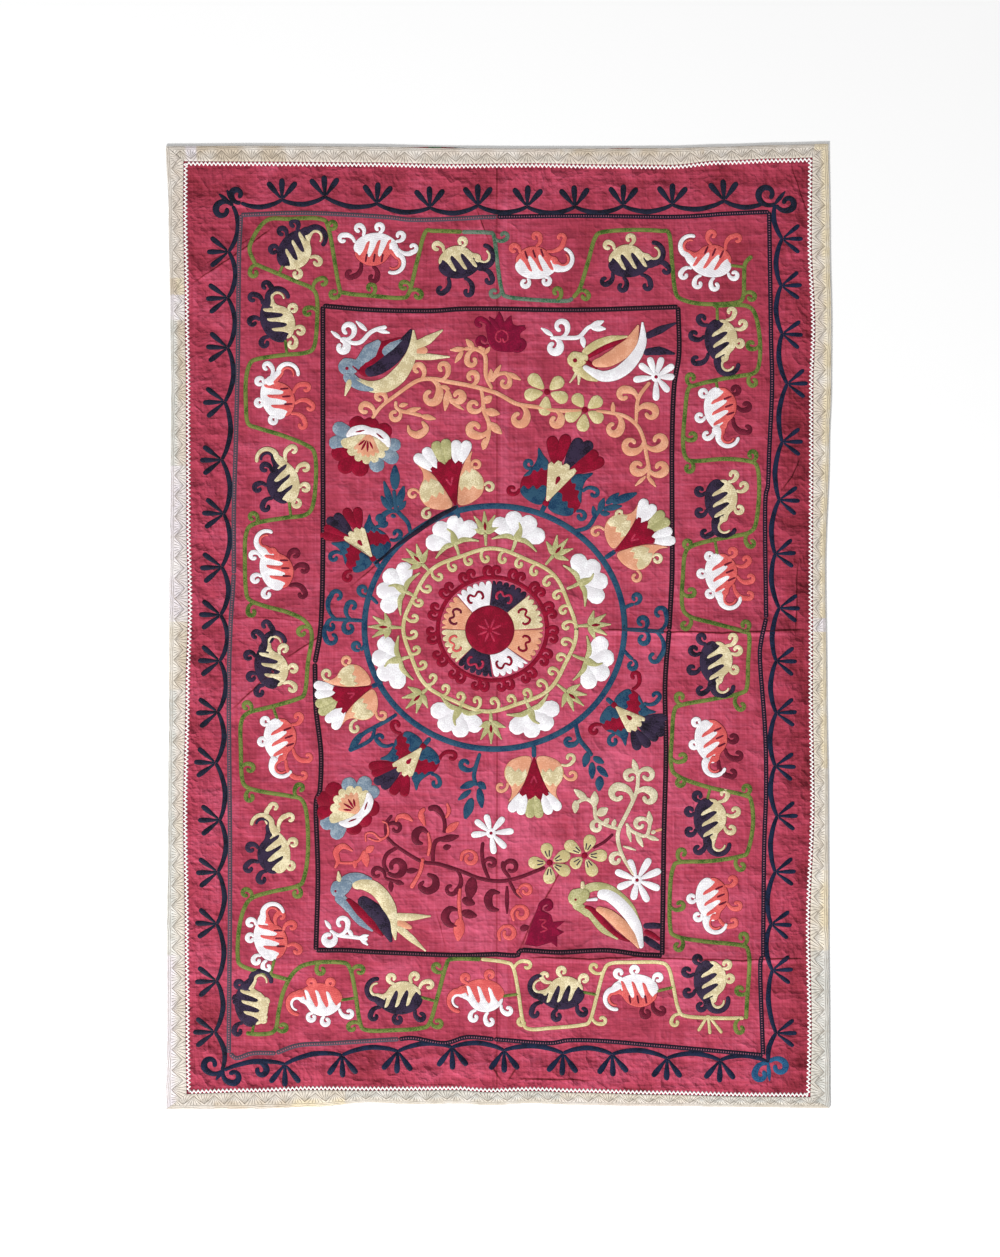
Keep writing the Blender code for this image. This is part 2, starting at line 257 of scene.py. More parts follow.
@dataclass(frozen=True)
class Cloth:
    """The shape of the whole cloth as it lies: its uneven outline and its folds."""

    ripple_seed: int = 7
    ripple_height: float = 0.00022

    RIPPLES = 26
    RIPPLE_LENGTHS = (0.035, 0.16)
    RIPPLE_SUM = 0.3

    def insets(self, edge: Sequence[EdgeStation], along: np.ndarray) -> tuple[np.ndarray, np.ndarray]:
        """How far in from the widest line an edge runs.

        Args:
            edge: the stations of the edge.
            along: places along the edge.

        Returns:
            The insets of the border's outer edge and of its inner seam.
        """
        table = np.array(edge)
        place = np.clip(along, table[0, 0], table[-1, 0])
        k = np.clip(np.searchsorted(table[:, 0], place) - 1, 0, len(table) - 2)
        t = ease((place - table[k, 0]) / (table[k + 1, 0] - table[k, 0]))
        return tuple(table[k, c] + (table[k + 1, c] - table[k, c]) * t for c in (1, 2))

    def warped(self, place: np.ndarray, half: float, low: tuple, high: tuple) -> np.ndarray:
        """Moves a coordinate of the even plan to the uneven cloth.

        Args:
            place: the coordinate on the even plan.
            half: half of the cloth's size along that coordinate.
            low: the insets of the edge at the low end.
            high: the insets of the edge at the high end.

        Returns:
            The coordinate on the cloth.
        """
        inner = half - BORDER_WIDTH
        below = -half + low[0] + (low[1] - low[0]) * (place + half) / BORDER_WIDTH
        above = half - high[0] - (high[1] - high[0]) * (half - place) / BORDER_WIDTH
        t = (place + inner) / (2.0 * inner)
        between = (-half + low[1]) * (1.0 - t) + (half - high[1]) * t
        return np.where(place < -inner, below, np.where(place > inner, above, between))

    def on_cloth(self, x: np.ndarray, y: np.ndarray) -> tuple[np.ndarray, np.ndarray]:
        """The real place of points of the even plan.

        Args:
            x: metres to the right on the even plan.
            y: metres up on the even plan.

        Returns:
            The same points on the uneven cloth, across and up.
        """
        across = self.warped(x, WIDTH / 2, self.insets(LEFT_EDGE, y), self.insets(RIGHT_EDGE, y))
        along = self.warped(y, LENGTH / 2, self.insets(BOTTOM_EDGE, x), self.insets(TOP_EDGE, x))
        return across, along

    def to_rim(self, x: np.ndarray, y: np.ndarray) -> np.ndarray:
        """How far points of the ground are from its nearest edge.

        Args:
            x: metres to the right on the even plan.
            y: metres up on the even plan.

        Returns:
            Distances in metres.
        """
        left = x + WIDTH / 2 - self.insets(LEFT_EDGE, y)[1]
        right = WIDTH / 2 - self.insets(RIGHT_EDGE, y)[1] - x
        bottom = y + LENGTH / 2 - self.insets(BOTTOM_EDGE, x)[1]
        top = LENGTH / 2 - self.insets(TOP_EDGE, x)[1] - y
        return np.minimum(np.minimum(left, right), np.minimum(bottom, top))

    def fold_rise(self, fold: Fold, x: np.ndarray, y: np.ndarray) -> np.ndarray:
        """How far one fold lifts the ground.

        Args:
            fold: the fold.
            x: metres to the right on the even plan.
            y: metres up on the even plan.

        Returns:
            Heights in metres.
        """
        run_x, run_y = fold.x1 - fold.x0, fold.y1 - fold.y0
        share = ((x - fold.x0) * run_x + (y - fold.y0) * run_y) / (run_x**2 + run_y**2)
        share = np.clip(share, 0.0, 1.0)
        away = np.hypot(x - fold.x0 - share * run_x, y - fold.y0 - share * run_y)
        return fold.height * (1.0 - ease(away / fold.reach))

    def ripples(self, x: np.ndarray, y: np.ndarray) -> np.ndarray:
        """The small unevenness of cloth that has been washed and stored.

        Args:
            x: metres to the right on the even plan.
            y: metres up on the even plan.

        Returns:
            Heights in metres.
        """
        dice = np.random.default_rng(self.ripple_seed)
        total = np.zeros_like(x)
        for _ in range(self.RIPPLES):
            angle = dice.uniform(0, math.tau)
            length = dice.uniform(*self.RIPPLE_LENGTHS)
            shift = dice.uniform(0, math.tau)
            total += np.sin(
                math.tau * (x * math.cos(angle) + y * math.sin(angle)) / length + shift
            ) * length
        return self.ripple_height * np.abs(total) / self.RIPPLE_SUM

    def top(self, x: np.ndarray, y: np.ndarray) -> np.ndarray:
        """The height of the ground's upper face.

        Args:
            x: metres to the right on the even plan.
            y: metres up on the even plan.

        Returns:
            Heights in metres.
        """
        rise = np.max([self.fold_rise(fold, x, y) for fold in FOLDS], axis=0)
        for crease in CREASES:
            rise = rise + self.fold_rise(crease, x, y)
        rise = (rise + self.ripples(x, y)) * ease((self.to_rim(x, y) - FLAT_RIM) / RIM_FADE)
        return CLOTH_BASE + GROUND_THICK + rise


CLOTH = Cloth()


class Silk(Enum):
    """Silks of the embroidery: the main colour, and the colour of its flecks."""

    WHITE = ((241, 241, 243), (222, 218, 222))
    CREAM = ((230, 218, 182), (196, 180, 140))
    IVORY = ((226, 216, 190), (194, 182, 152))
    NAVY = ((20, 12, 28), (50, 38, 62))
    MIDNIGHT = ((8, 10, 24), (28, 32, 52))
    DEEP_BLUE = ((6, 11, 34), (22, 34, 62))
    BRIGHT_BLUE = ((20, 60, 100), (40, 90, 128))
    TEAL = ((14, 50, 82), (42, 78, 102))
    SKY = ((144, 158, 170), (108, 126, 144))
    GREEN = ((56, 86, 26), (114, 124, 60))
    BLUE_GREEN = ((38, 94, 62), (106, 120, 106))
    PALE_GREEN = ((196, 190, 144), (164, 160, 110))
    OLIVE_CREAM = ((216, 203, 158), (190, 175, 124))
    ORANGE = ((227, 169, 138), (210, 146, 114))
    CORAL = ((222, 104, 100), (202, 82, 82))
    CRIMSON = ((148, 4, 44), (120, 0, 32))
    MAROON = ((112, 24, 48), (88, 14, 36))
    PLUM = ((140, 6, 54), (114, 2, 44))
    ROSE = ((190, 56, 84), (152, 32, 62))


class CreaseShadeLine(NamedTuple):
    """A sharp crease line between two places on the chart, painted in colour as a line of shade with a
    painted highlight beside it.
    """

    x0: float
    y0: float
    x1: float
    y1: float
    width: float
    strength: float


# Painted crease shade: each line darkens the colour of the ground and the silk along it, with a painted
# highlight beside it; it gives no relief.
CREASE_SHADE_LINES = (
    CreaseShadeLine(596, 630.5, 806, 632, 0.0034, 1.0),
    CreaseShadeLine(186, 616, 334, 620, 0.0026, 0.45),
    CreaseShadeLine(524, 957.5, 806, 959, 0.0032, 0.95),
    CreaseShadeLine(577, 836, 517, 952, 0.0028, 0.75),
    CreaseShadeLine(231, 710, 288, 659, 0.0032, 0.85),
    CreaseShadeLine(284, 661, 332, 624, 0.0030, 0.80),
    CreaseShadeLine(349, 588, 398, 545, 0.0026, 0.65),
    CreaseShadeLine(396, 547, 460, 504, 0.0032, 0.95),
    CreaseShadeLine(190, 286, 276, 225, 0.0028, 0.75),
    CreaseShadeLine(198, 268, 262, 232, 0.0022, 0.45),
    CreaseShadeLine(476, 205, 490, 245, 0.0024, 0.85),
    CreaseShadeLine(802, 455, 779, 492, 0.0026, 0.80),
    CreaseShadeLine(788, 162, 808, 220, 0.0024, 0.60),
    CreaseShadeLine(514, 1080, 600, 1081, 0.0032, 0.85),
    CreaseShadeLine(488, 1058, 506, 1086, 0.0034, 0.95),
    CreaseShadeLine(522, 1060, 506, 1086, 0.0034, 0.85),
    CreaseShadeLine(404, 1082, 470, 1086, 0.0028, 0.50),
    CreaseShadeLine(798, 560, 794, 640, 0.0026, 0.55),
    CreaseShadeLine(344, 920, 352, 948, 0.0018, 0.55),
    CreaseShadeLine(434, 905, 446, 948, 0.0018, 0.55),
)


class Chain(Enum):
    """The two tone chains that frame the panels: their thread and the dots in it."""

    GREY_BLUE = ((74, 66, 78), (170, 84, 100))
    NAVY_DOTTED = ((18, 14, 34), (146, 84, 104))
    BROWN_DOTTED = ((24, 8, 22), (122, 68, 84))


# Dark red of the painted shadow at the edge of the pale silks.
EDGE_SHADOW_COLOUR = (112, 26, 40)
PALE_SILKS = (
    Silk.WHITE, Silk.CREAM, Silk.IVORY, Silk.ORANGE, Silk.PALE_GREEN, Silk.OLIVE_CREAM, Silk.SKY,
    Silk.CORAL,
)


@dataclass(frozen=True)
class Frame:
    """A motif's own directions on the chart: forward along its heading, and to its left."""

    x: float
    y: float
    heading: float = 0.0
    scale: float = 1.0
    side: float = 1.0

    def at(self, forward: float, left: float) -> Point:
        """The chart place of a point of the motif.

        Args:
            forward: squares along the heading, before scaling.
            left: squares to the left of the heading, before scaling.

        Returns:
            The place in squares, across and down.
        """
        angle = math.radians(self.heading)
        a, b = forward * self.scale, left * self.scale * self.side
        return (
            self.x + a * math.cos(angle) - b * math.sin(angle),
            self.y - a * math.sin(angle) - b * math.cos(angle),
        )

    def path(self, *points: Point) -> list[Point]:
        """The chart places of several points of the motif."""
        return [self.at(*point) for point in points]


@dataclass
class Graph:
    """Builds the nodes of a material or of a node group."""

    tree: bpy.types.NodeTree

    def node(self, kind: str, inputs: Optional[dict] = None, **settings) -> bpy.types.Node:
        """Adds a node.

        Args:
            kind: the node's type, without the words ShaderNode.
            inputs: values or sockets for its inputs, by name or number.
            settings: its other settings.

        Returns:
            The new node.
        """
        made = self.tree.nodes.new(kind if kind.startswith("Node") else "ShaderNode" + kind)
        for name, value in settings.items():
            setattr(made, name, value)
        for name, value in (inputs or {}).items():
            if isinstance(value, bpy.types.NodeSocket):
                self.tree.links.new(value, made.inputs[name])
            else:
                made.inputs[name].default_value = value
        return made

    def math(self, operation: str, *values: Value) -> bpy.types.NodeSocket:
        """The result of a sum on numbers or sockets."""
        made = self.node("Math", dict(enumerate(values)), operation=operation)
        return made.outputs[0]

    def noise(
        self, vector: Value, scale: Value, detail: float = 2.0, stretch: Optional[tuple] = None
    ) -> bpy.types.NodeSocket:
        """Noise from 0 to 1, stretched along the axes if asked.

        Args:
            vector: what the noise is laid over.
            scale: how many blobs there are to a unit.
            detail: how much finer noise is added.
            stretch: what each axis is multiplied by first, or nothing.

        Returns:
            The noise's value.
        """
        if stretch is not None:
            scaled = self.node("VectorMath", {0: vector, 1: stretch}, operation="MULTIPLY")
            vector = scaled.outputs[0]
        made = self.node("TexNoise", {"Vector": vector, "Scale": scale, "Detail": detail})
        return made.outputs["Fac"]

    def bend(
        self, vector: Value, over: Value, scale: float, detail: float, reach: float
    ) -> bpy.types.NodeSocket:
        """Coordinates moved a little by noise.

        Args:
            vector: the coordinates.
            over: what the noise is laid over.
            scale: how many blobs there are to a unit.
            detail: how much finer noise is added.
            reach: how far it moves them, at most.

        Returns:
            The moved coordinates.
        """
        made = self.node("TexNoise", {"Vector": over, "Scale": scale, "Detail": detail})
        moved = self.node(
            "VectorMath", {0: made.outputs["Color"], 1: (reach, reach, 0.0)}, operation="MULTIPLY"
        )
        return self.node("VectorMath", {0: vector, 1: moved.outputs[0]}, operation="ADD").outputs[0]

    def parts(self, vector: Value) -> bpy.types.NodeOutputs:
        """The three parts of a vector."""
        return self.node("SeparateXYZ", {0: vector}).outputs

    def spread(
        self, value: Value, low: float, high: float, start: float = 0.0, end: float = 1.0
    ) -> bpy.types.NodeSocket:
        """A value moved from one range to another, and held at its ends."""
        return self.node("MapRange", {0: value, 1: low, 2: high, 3: start, 4: end}).outputs[0]

    def clamp(self, value: Value) -> bpy.types.NodeSocket:
        """A value held from 0 to 1."""
        return self.node("Clamp", {0: value, 1: 0.0, 2: 1.0}).outputs[0]

    def over(self, value: Value, level: float, gain: Value) -> bpy.types.NodeSocket:
        """How far a value is over a level, times a gain."""
        return self.math("MULTIPLY", self.math("SUBTRACT", value, level), gain)

    def total(self, *values: Value) -> Value:
        """The sum of several values, added in their order.

        Args:
            values: the values.

        Returns:
            Their sum.
        """
        found, *others = values
        for value in others:
            found = self.math("ADD", found, value)
        return found

    def ramp(
        self, value: Value, stops: Sequence[tuple[float, tuple]], steps: bool = False
    ) -> bpy.types.NodeSocket:
        """Colours along a value, smooth or in steps.

        Args:
            value: what the colours run along, from 0 to 1.
            stops: places from 0 to 1, each with its colour.
            steps: whether each colour holds as far as the next stop.

        Returns:
            The colour.
        """
        made = self.node("ValToRGB", {"Fac": value})
        band = made.color_ramp
        band.interpolation = "CONSTANT" if steps else "LINEAR"
        while len(band.elements) < len(stops):
            band.elements.new(1.0)
        for element, (place, colour) in zip(band.elements, stops):
            element.position = place
            element.color = colour
        return made.outputs["Color"]

    def mix(
        self, share: Value, first: Colour, second: Colour, blend: str = "MIX"
    ) -> bpy.types.NodeSocket:
        """One colour mixed with another.

        Args:
            share: how much of the second colour is used, from 0 to 1.
            first: the colour below.
            second: the colour above.
            blend: how the second colour is laid on the first.

        Returns:
            The mixed colour.
        """
        made = self.node("Mix", data_type="RGBA", blend_type=blend)
        for socket, value in zip(
            (made.inputs[0], made.inputs[6], made.inputs[7]), (share, first, second)
        ):
            if isinstance(value, bpy.types.NodeSocket):
                self.tree.links.new(value, socket)
            else:
                socket.default_value = value
        return made.outputs[2]


def effect_group(name: str, inputs: Sequence[str], outputs: Sequence[str]) -> tuple[Graph, dict, dict]:
    """Starts a node group that several materials share.

    Args:
        name: the group's name.
        inputs: its inputs; those that end in Vector are vectors, the rest numbers.
        outputs: its outputs, all numbers.

    Returns:
        Its graph, the sockets of its inputs and those of its outputs, by name.
    """
    tree = bpy.data.node_groups.new(name, "ShaderNodeTree")
    for label in inputs:
        kind = "NodeSocketVector" if label.endswith("Vector") else "NodeSocketFloat"
        tree.interface.new_socket(name=label, in_out="INPUT", socket_type=kind)
    for label in outputs:
        tree.interface.new_socket(name=label, in_out="OUTPUT", socket_type="NodeSocketFloat")
    graph = Graph(tree)
    entry, leave = graph.node("NodeGroupInput"), graph.node("NodeGroupOutput")
    return (
        graph,
        {label: entry.outputs[label] for label in inputs},
        {label: leave.inputs[label] for label in outputs},
    )


@dataclass
class Effects:
    """The node groups that the finishes share."""

    stitches: bpy.types.NodeTree = field(init=False)
    weave: bpy.types.NodeTree = field(init=False)
    crumple: bpy.types.NodeTree = field(init=False)
    crease_shade_line: bpy.types.NodeTree = field(init=False)
    crease_shade: bpy.types.NodeTree = field(init=False)
    sharp_crease_shade: bpy.types.NodeTree = field(init=False)

    BRICK_SHIFT = 0.37
    STITCH_ROUND = 0.6
    END_FADE = 0.045
    LIT_REACH = 2.4
    WEFT = (8.0, 190.0, 1.0)
    WARP = (190.0, 7.0, 1.0)
    WEFT_SHARE = 0.6
    BENDS = ((6.0, 0.022), (34.0, 0.0045))
    CRUMPLE_BEND = 0.05
    RIDGE_STEEP = 6.0

    def __post_init__(self) -> None:
        """Makes every group once."""
        # The crease groups paint shade and highlights into colour only; they give no relief.
        self.crease_shade_line = self.make_crease_shade_line()
        self.crease_shade = self.make_crease_shade("crease_shade", 0.0)
        self.sharp_crease_shade = self.make_crease_shade("sharp_crease_shade", 0.8)
        self.stitches = self.make_stitches()
        self.weave = self.make_weave()
        self.crumple = self.make_crumple()

    def make_stitches(self) -> bpy.types.NodeTree:
        """Rows of small chain stitches: a mask for painted shade between them, and how high they are.

        Returns:
            The node group.
        """
        graph, given, made = effect_group(
            "stitch_rows", ("Stitch Vector", "Row Pitch", "Stitch Length"), ("Gap", "Height")
        )
        parts = graph.node("SeparateXYZ", {0: given["Stitch Vector"]})
        row = graph.math("DIVIDE", parts.outputs[1], given["Row Pitch"])
        across = graph.math("PINGPONG", row, 0.5)
        shift = graph.math("MULTIPLY", graph.math("FLOOR", row), self.BRICK_SHIFT)
        step = graph.math("DIVIDE", parts.outputs[0], given["Stitch Length"])
        along = graph.math("PINGPONG", graph.math("ADD", step, shift), 0.5)
        round_across = graph.math("MULTIPLY", across, 2.0)
        round_along = graph.math("POWER", graph.math("MULTIPLY", along, 2.0), self.STITCH_ROUND)
        height = graph.math("MULTIPLY", round_across, round_along)
        graph.tree.links.new(height, made["Height"])
        graph.tree.links.new(graph.math("SUBTRACT", 1.0, height), made["Gap"])
        return graph.tree

    def make_crease_shade_line(self) -> bpy.types.NodeTree:
        """One straight crease line painted in colour: its painted shade, and the painted highlight on
        the cloth beside it.

        Returns:
            The node group.
        """
        graph, given, made = effect_group(
            "crease_shade_line", ("Place Vector", "Start Vector", "Run Vector", "Length", "Width"),
            ("Dark", "Light")
        )
        away = graph.node(
            "VectorMath", {0: given["Place Vector"], 1: given["Start Vector"]}, operation="SUBTRACT"
        )
        across = graph.node(
            "VectorMath", {0: given["Run Vector"], 1: (0.0, 0.0, 1.0)}, operation="CROSS_PRODUCT"
        )
        run = graph.node(
            "VectorMath", {0: away.outputs[0], 1: given["Run Vector"]}, operation="DOT_PRODUCT"
        ).outputs[1]
        side = graph.node(
            "VectorMath", {0: away.outputs[0], 1: across.outputs[0]}, operation="DOT_PRODUCT"
        ).outputs[1]
        left = graph.math("MINIMUM", run, graph.math("SUBTRACT", given["Length"], run))
        ends = graph.spread(left, 0.0, self.END_FADE)
        near = graph.math(
            "SUBTRACT", 1.0, graph.math("DIVIDE", graph.math("ABSOLUTE", side), given["Width"])
        )
        dark = graph.math("MULTIPLY", graph.math("MAXIMUM", near, 0.0), ends)
        shifted = graph.math("DIVIDE", side, graph.math("MULTIPLY", given["Width"], self.LIT_REACH))
        beside = graph.math(
            "SUBTRACT", 1.0, graph.math("ABSOLUTE", graph.math("SUBTRACT", shifted, 1.0))
        )
        light = graph.math("MULTIPLY", graph.math("MAXIMUM", beside, 0.0), ends)
        graph.tree.links.new(dark, made["Dark"])
        graph.tree.links.new(light, made["Light"])
        return graph.tree

    def make_crease_shade(self, name: str, least: float) -> bpy.types.NodeTree:
        """The painted shade and painted highlights of the crease lines together.

        Args:
            name: the group's name.
            least: how strong a crease is at least.

        Returns:
            The node group.
        """
        graph, given, made = effect_group(name, ("Place Vector",), ("Dark", "Light"))
        place = given["Place Vector"]
        for scale, reach in self.BENDS:
            noise = graph.node("TexNoise", {"Vector": place, "Scale": scale, "Detail": 1.0})
            level = graph.node(
                "VectorMath", {0: noise.outputs["Color"], 1: (0.5, 0.5, 0.5)}, operation="SUBTRACT"
            )
            moved = graph.node(
                "VectorMath", {0: level.outputs[0], 1: (reach, reach, 0.0)}, operation="MULTIPLY"
            )
            place = graph.node(
                "VectorMath", {0: place, 1: moved.outputs[0]}, operation="ADD"
            ).outputs[0]
        dark, light = 0.0, 0.0
        for crease in (line for line in CREASE_SHADE_LINES if line.strength >= least):
            ends = [(x * CHART_SQUARE, y * CHART_SQUARE) for x, y in (
                (crease.x0 - CHART_MIDDLE[0], CHART_MIDDLE[1] - crease.y0),
                (crease.x1 - CHART_MIDDLE[0], CHART_MIDDLE[1] - crease.y1),
            )]
            run = np.subtract(ends[1], ends[0])
            length = math.hypot(*run)
            line = graph.node("Group", node_tree=self.crease_shade_line)
            graph.tree.links.new(place, line.inputs["Place Vector"])
            line.inputs["Start Vector"].default_value = (*ends[0], 0.0)
            line.inputs["Run Vector"].default_value = (*(run / length), 0.0)
            line.inputs["Length"].default_value = length
            line.inputs["Width"].default_value = crease.width
            dark = graph.math(
                "MAXIMUM", dark, graph.math("MULTIPLY", line.outputs["Dark"], crease.strength)
            )
            light = graph.math(
                "MAXIMUM", light, graph.math("MULTIPLY", line.outputs["Light"], crease.strength)
            )
        graph.tree.links.new(dark, made["Dark"])
        graph.tree.links.new(light, made["Light"])
        return graph.tree

    def make_weave(self) -> bpy.types.NodeTree:
        """Plain weave with uneven threads: its tone, and its height.

        Returns:
            The node group.
        """
        graph, given, made = effect_group("plain_weave", ("Place Vector",), ("Tone", "Height"))
        weft = graph.noise(given["Place Vector"], 1.0, 3.0, self.WEFT)
        warp = graph.noise(given["Place Vector"], 1.0, 3.0, self.WARP)
        threads = graph.total(
            graph.math("MULTIPLY", weft, self.WEFT_SHARE),
            graph.math("MULTIPLY", warp, 1.0 - self.WEFT_SHARE)
        )
        graph.tree.links.new(threads, made["Tone"])
        graph.tree.links.new(threads, made["Height"])
        return graph.tree

    def make_crumple(self) -> bpy.types.NodeTree:
        """Soft ridges that branch, as in washed cotton.

        Returns:
            The node group.
        """
        graph, given, made = effect_group("crumple", ("Place Vector", "Size"), ("Height",))
        place = graph.bend(given["Place Vector"], given["Place Vector"], 5.0, 2.0, self.CRUMPLE_BEND)
        noise = graph.noise(place, given["Size"], 3.0)
        ridge = graph.math("ABSOLUTE", graph.math("SUBTRACT", noise, 0.5))
        height = graph.math("SUBTRACT", 1.0, graph.math("MULTIPLY", ridge, self.RIDGE_STEEP))
        graph.tree.links.new(graph.math("MAXIMUM", height, 0.0), made["Height"])
        return graph.tree


@dataclass
class Finish:
    """A cloth or thread finish: makes its material once and gives it out again."""

    name: str
    roughness: float = 0.7
    sheen: float = 0.01

    SPECULAR = 0.14

    def start(self) -> tuple[Graph, bpy.types.Node]:
        """A new material's graph, and its shader with the constant settings.

        Returns:
            The graph and the shader.
        """
        self.material = bpy.data.materials.new(self.name)
        self.material.use_nodes = True
        graph = Graph(self.material.node_tree)
        shader = graph.tree.nodes["Principled BSDF"]
        shader.inputs["Roughness"].default_value = self.roughness
        shader.inputs["Sheen Weight"].default_value = self.sheen
        shader.inputs["Specular IOR Level"].default_value = self.SPECULAR
        return graph, shader

    def dress(
        self, graph: Graph, shader: bpy.types.Node, colour: Colour, height: Value, depth: float
    ) -> None:
        """Gives the shader its colour, and relief of a depth in metres.

        Args:
            graph: the material's graph.
            shader: its shader.
            colour: what colours it.
            height: what raises it, from 0 to 1.
            depth: how far it is raised, in metres.
        """
        graph.tree.links.new(colour, shader.inputs["Base Color"])
        bump = graph.node("Bump", {"Height": height, "Strength": 1.0, "Distance": depth})
        graph.tree.links.new(bump.outputs[0], shader.inputs["Normal"])


@dataclass
class SilkFinish(Finish):
    """Silk thread in one colour, in stitched rows, with painted shade between the rows, a painted
    shadow at the edge of a motif and painted shade along the sharper crease lines.
    """

    silk: Silk = Silk.WHITE

    ROW_PITCH = 0.0030
    SPECK_SCALE = 270.0
    CLOUD_SCALE = 38.0
    WEAR_LEVEL = 0.87
    WEAR_GAIN = 4.0
    ROW_SHADE_SHARE = 0.34
    EDGE_SHADE_DARKER = 0.55
    EDGE_SHADE_START = 0.34
    EDGE_SHADE_END = 0.50
    EDGE_SHADE_SHARE = 0.94
    SPECK_RELIEF = 0.8
    CREASE_SHADE_SHARE = 0.55
    CREASE_SHADE_COLOUR = (52, 12, 24)
    RELIEF = 0.00035

    def make(self, effects: Effects) -> bpy.types.Material:
        """Builds the material.

        Args:
            effects: the shared node groups.

        Returns:
            The finished material.
        """
        graph, shader = self.start()
        main, fleck = (linear(*colour) for colour in self.silk.value)
        place = graph.node("TexCoord").outputs["Object"]
        stitch = graph.node("Attribute", attribute_name="stitch").outputs["Vector"]
        rows = graph.node(
            "Group",
            {"Stitch Vector": stitch, "Row Pitch": self.ROW_PITCH, "Stitch Length": STITCH_STEP},
            node_tree=effects.stitches,
        )
        speck = graph.noise(place, self.SPECK_SCALE)
        cloud = graph.noise(place, self.CLOUD_SCALE)
        worn = graph.over(graph.math("ADD", speck, cloud), self.WEAR_LEVEL, self.WEAR_GAIN)
        # Painted crevice shade between the stitch rows, blended towards the fleck colour.
        row_shade = graph.math("MULTIPLY", rows.outputs["Gap"], self.ROW_SHADE_SHARE)
        body = graph.mix(graph.clamp(graph.math("ADD", worn, row_shade)), main, fleck)
        # Painted edge shadow: the rim of each motif is darkened, to a darker fleck colour, or to dark
        # red for the pale silks.
        edge = (*(self.EDGE_SHADE_DARKER * part for part in fleck[:3]), 1.0)
        if self.silk in PALE_SILKS:
            edge = linear(*EDGE_SHADOW_COLOUR)
        rim = graph.spread(graph.parts(stitch)[2], self.EDGE_SHADE_START, self.EDGE_SHADE_END, 0.0, self.EDGE_SHADE_SHARE)
        # Painted shade along the sharper crease lines.
        crease_shade = graph.node("Group", {"Place Vector": place}, node_tree=effects.sharp_crease_shade)
        shaded = graph.math("MULTIPLY", crease_shade.outputs["Dark"], self.CREASE_SHADE_SHARE)
        colour = graph.mix(shaded, graph.mix(rim, body, edge), linear(*self.CREASE_SHADE_COLOUR))
        height = graph.math(
            "ADD", rows.outputs["Height"], graph.math("MULTIPLY", speck, self.SPECK_RELIEF)
        )
        self.dress(graph, shader, colour, height, self.RELIEF)
        return self.material


@dataclass
class ChainFinish(Finish):
    """A narrow line of two threads, whose pale thread shows as a row of dots."""

    chain: Chain = Chain.GREY_BLUE

    LINK = 0.0062
    DOT_START = 0.13
    DOT_END = 0.27
    THREAD_START = 0.0012
    THREAD_END = 0.0023
    SPECK_SCALE = 120.0
    SPECK_GAIN = 1.9
    RELIEF = 0.0004

    def make(self) -> bpy.types.Material:
        """Builds the material.

        Returns:
            The finished material.
        """
        graph, shader = self.start()
        main, dot = (linear(*colour) for colour in self.chain.value)
        parts = graph.parts(graph.node("Attribute", attribute_name="stitch").outputs["Vector"])
        beat = graph.math("PINGPONG", graph.math("DIVIDE", parts[0], self.LINK), 0.5)
        open_link = graph.spread(beat, self.DOT_START, self.DOT_END, 1.0, 0.0)
        middle = graph.math("ABSOLUTE", parts[1])
        inner = graph.spread(middle, self.THREAD_START, self.THREAD_END, 1.0, 0.0)
        shown = graph.clamp(graph.math("MULTIPLY", inner, open_link))
        speck = graph.noise(graph.node("TexCoord").outputs["Object"], self.SPECK_SCALE)
        share = graph.math("MULTIPLY", shown, graph.math("MULTIPLY", speck, self.SPECK_GAIN))
        self.dress(graph, shader, graph.mix(graph.clamp(share), main, dot), shown, self.RELIEF)
        return self.material


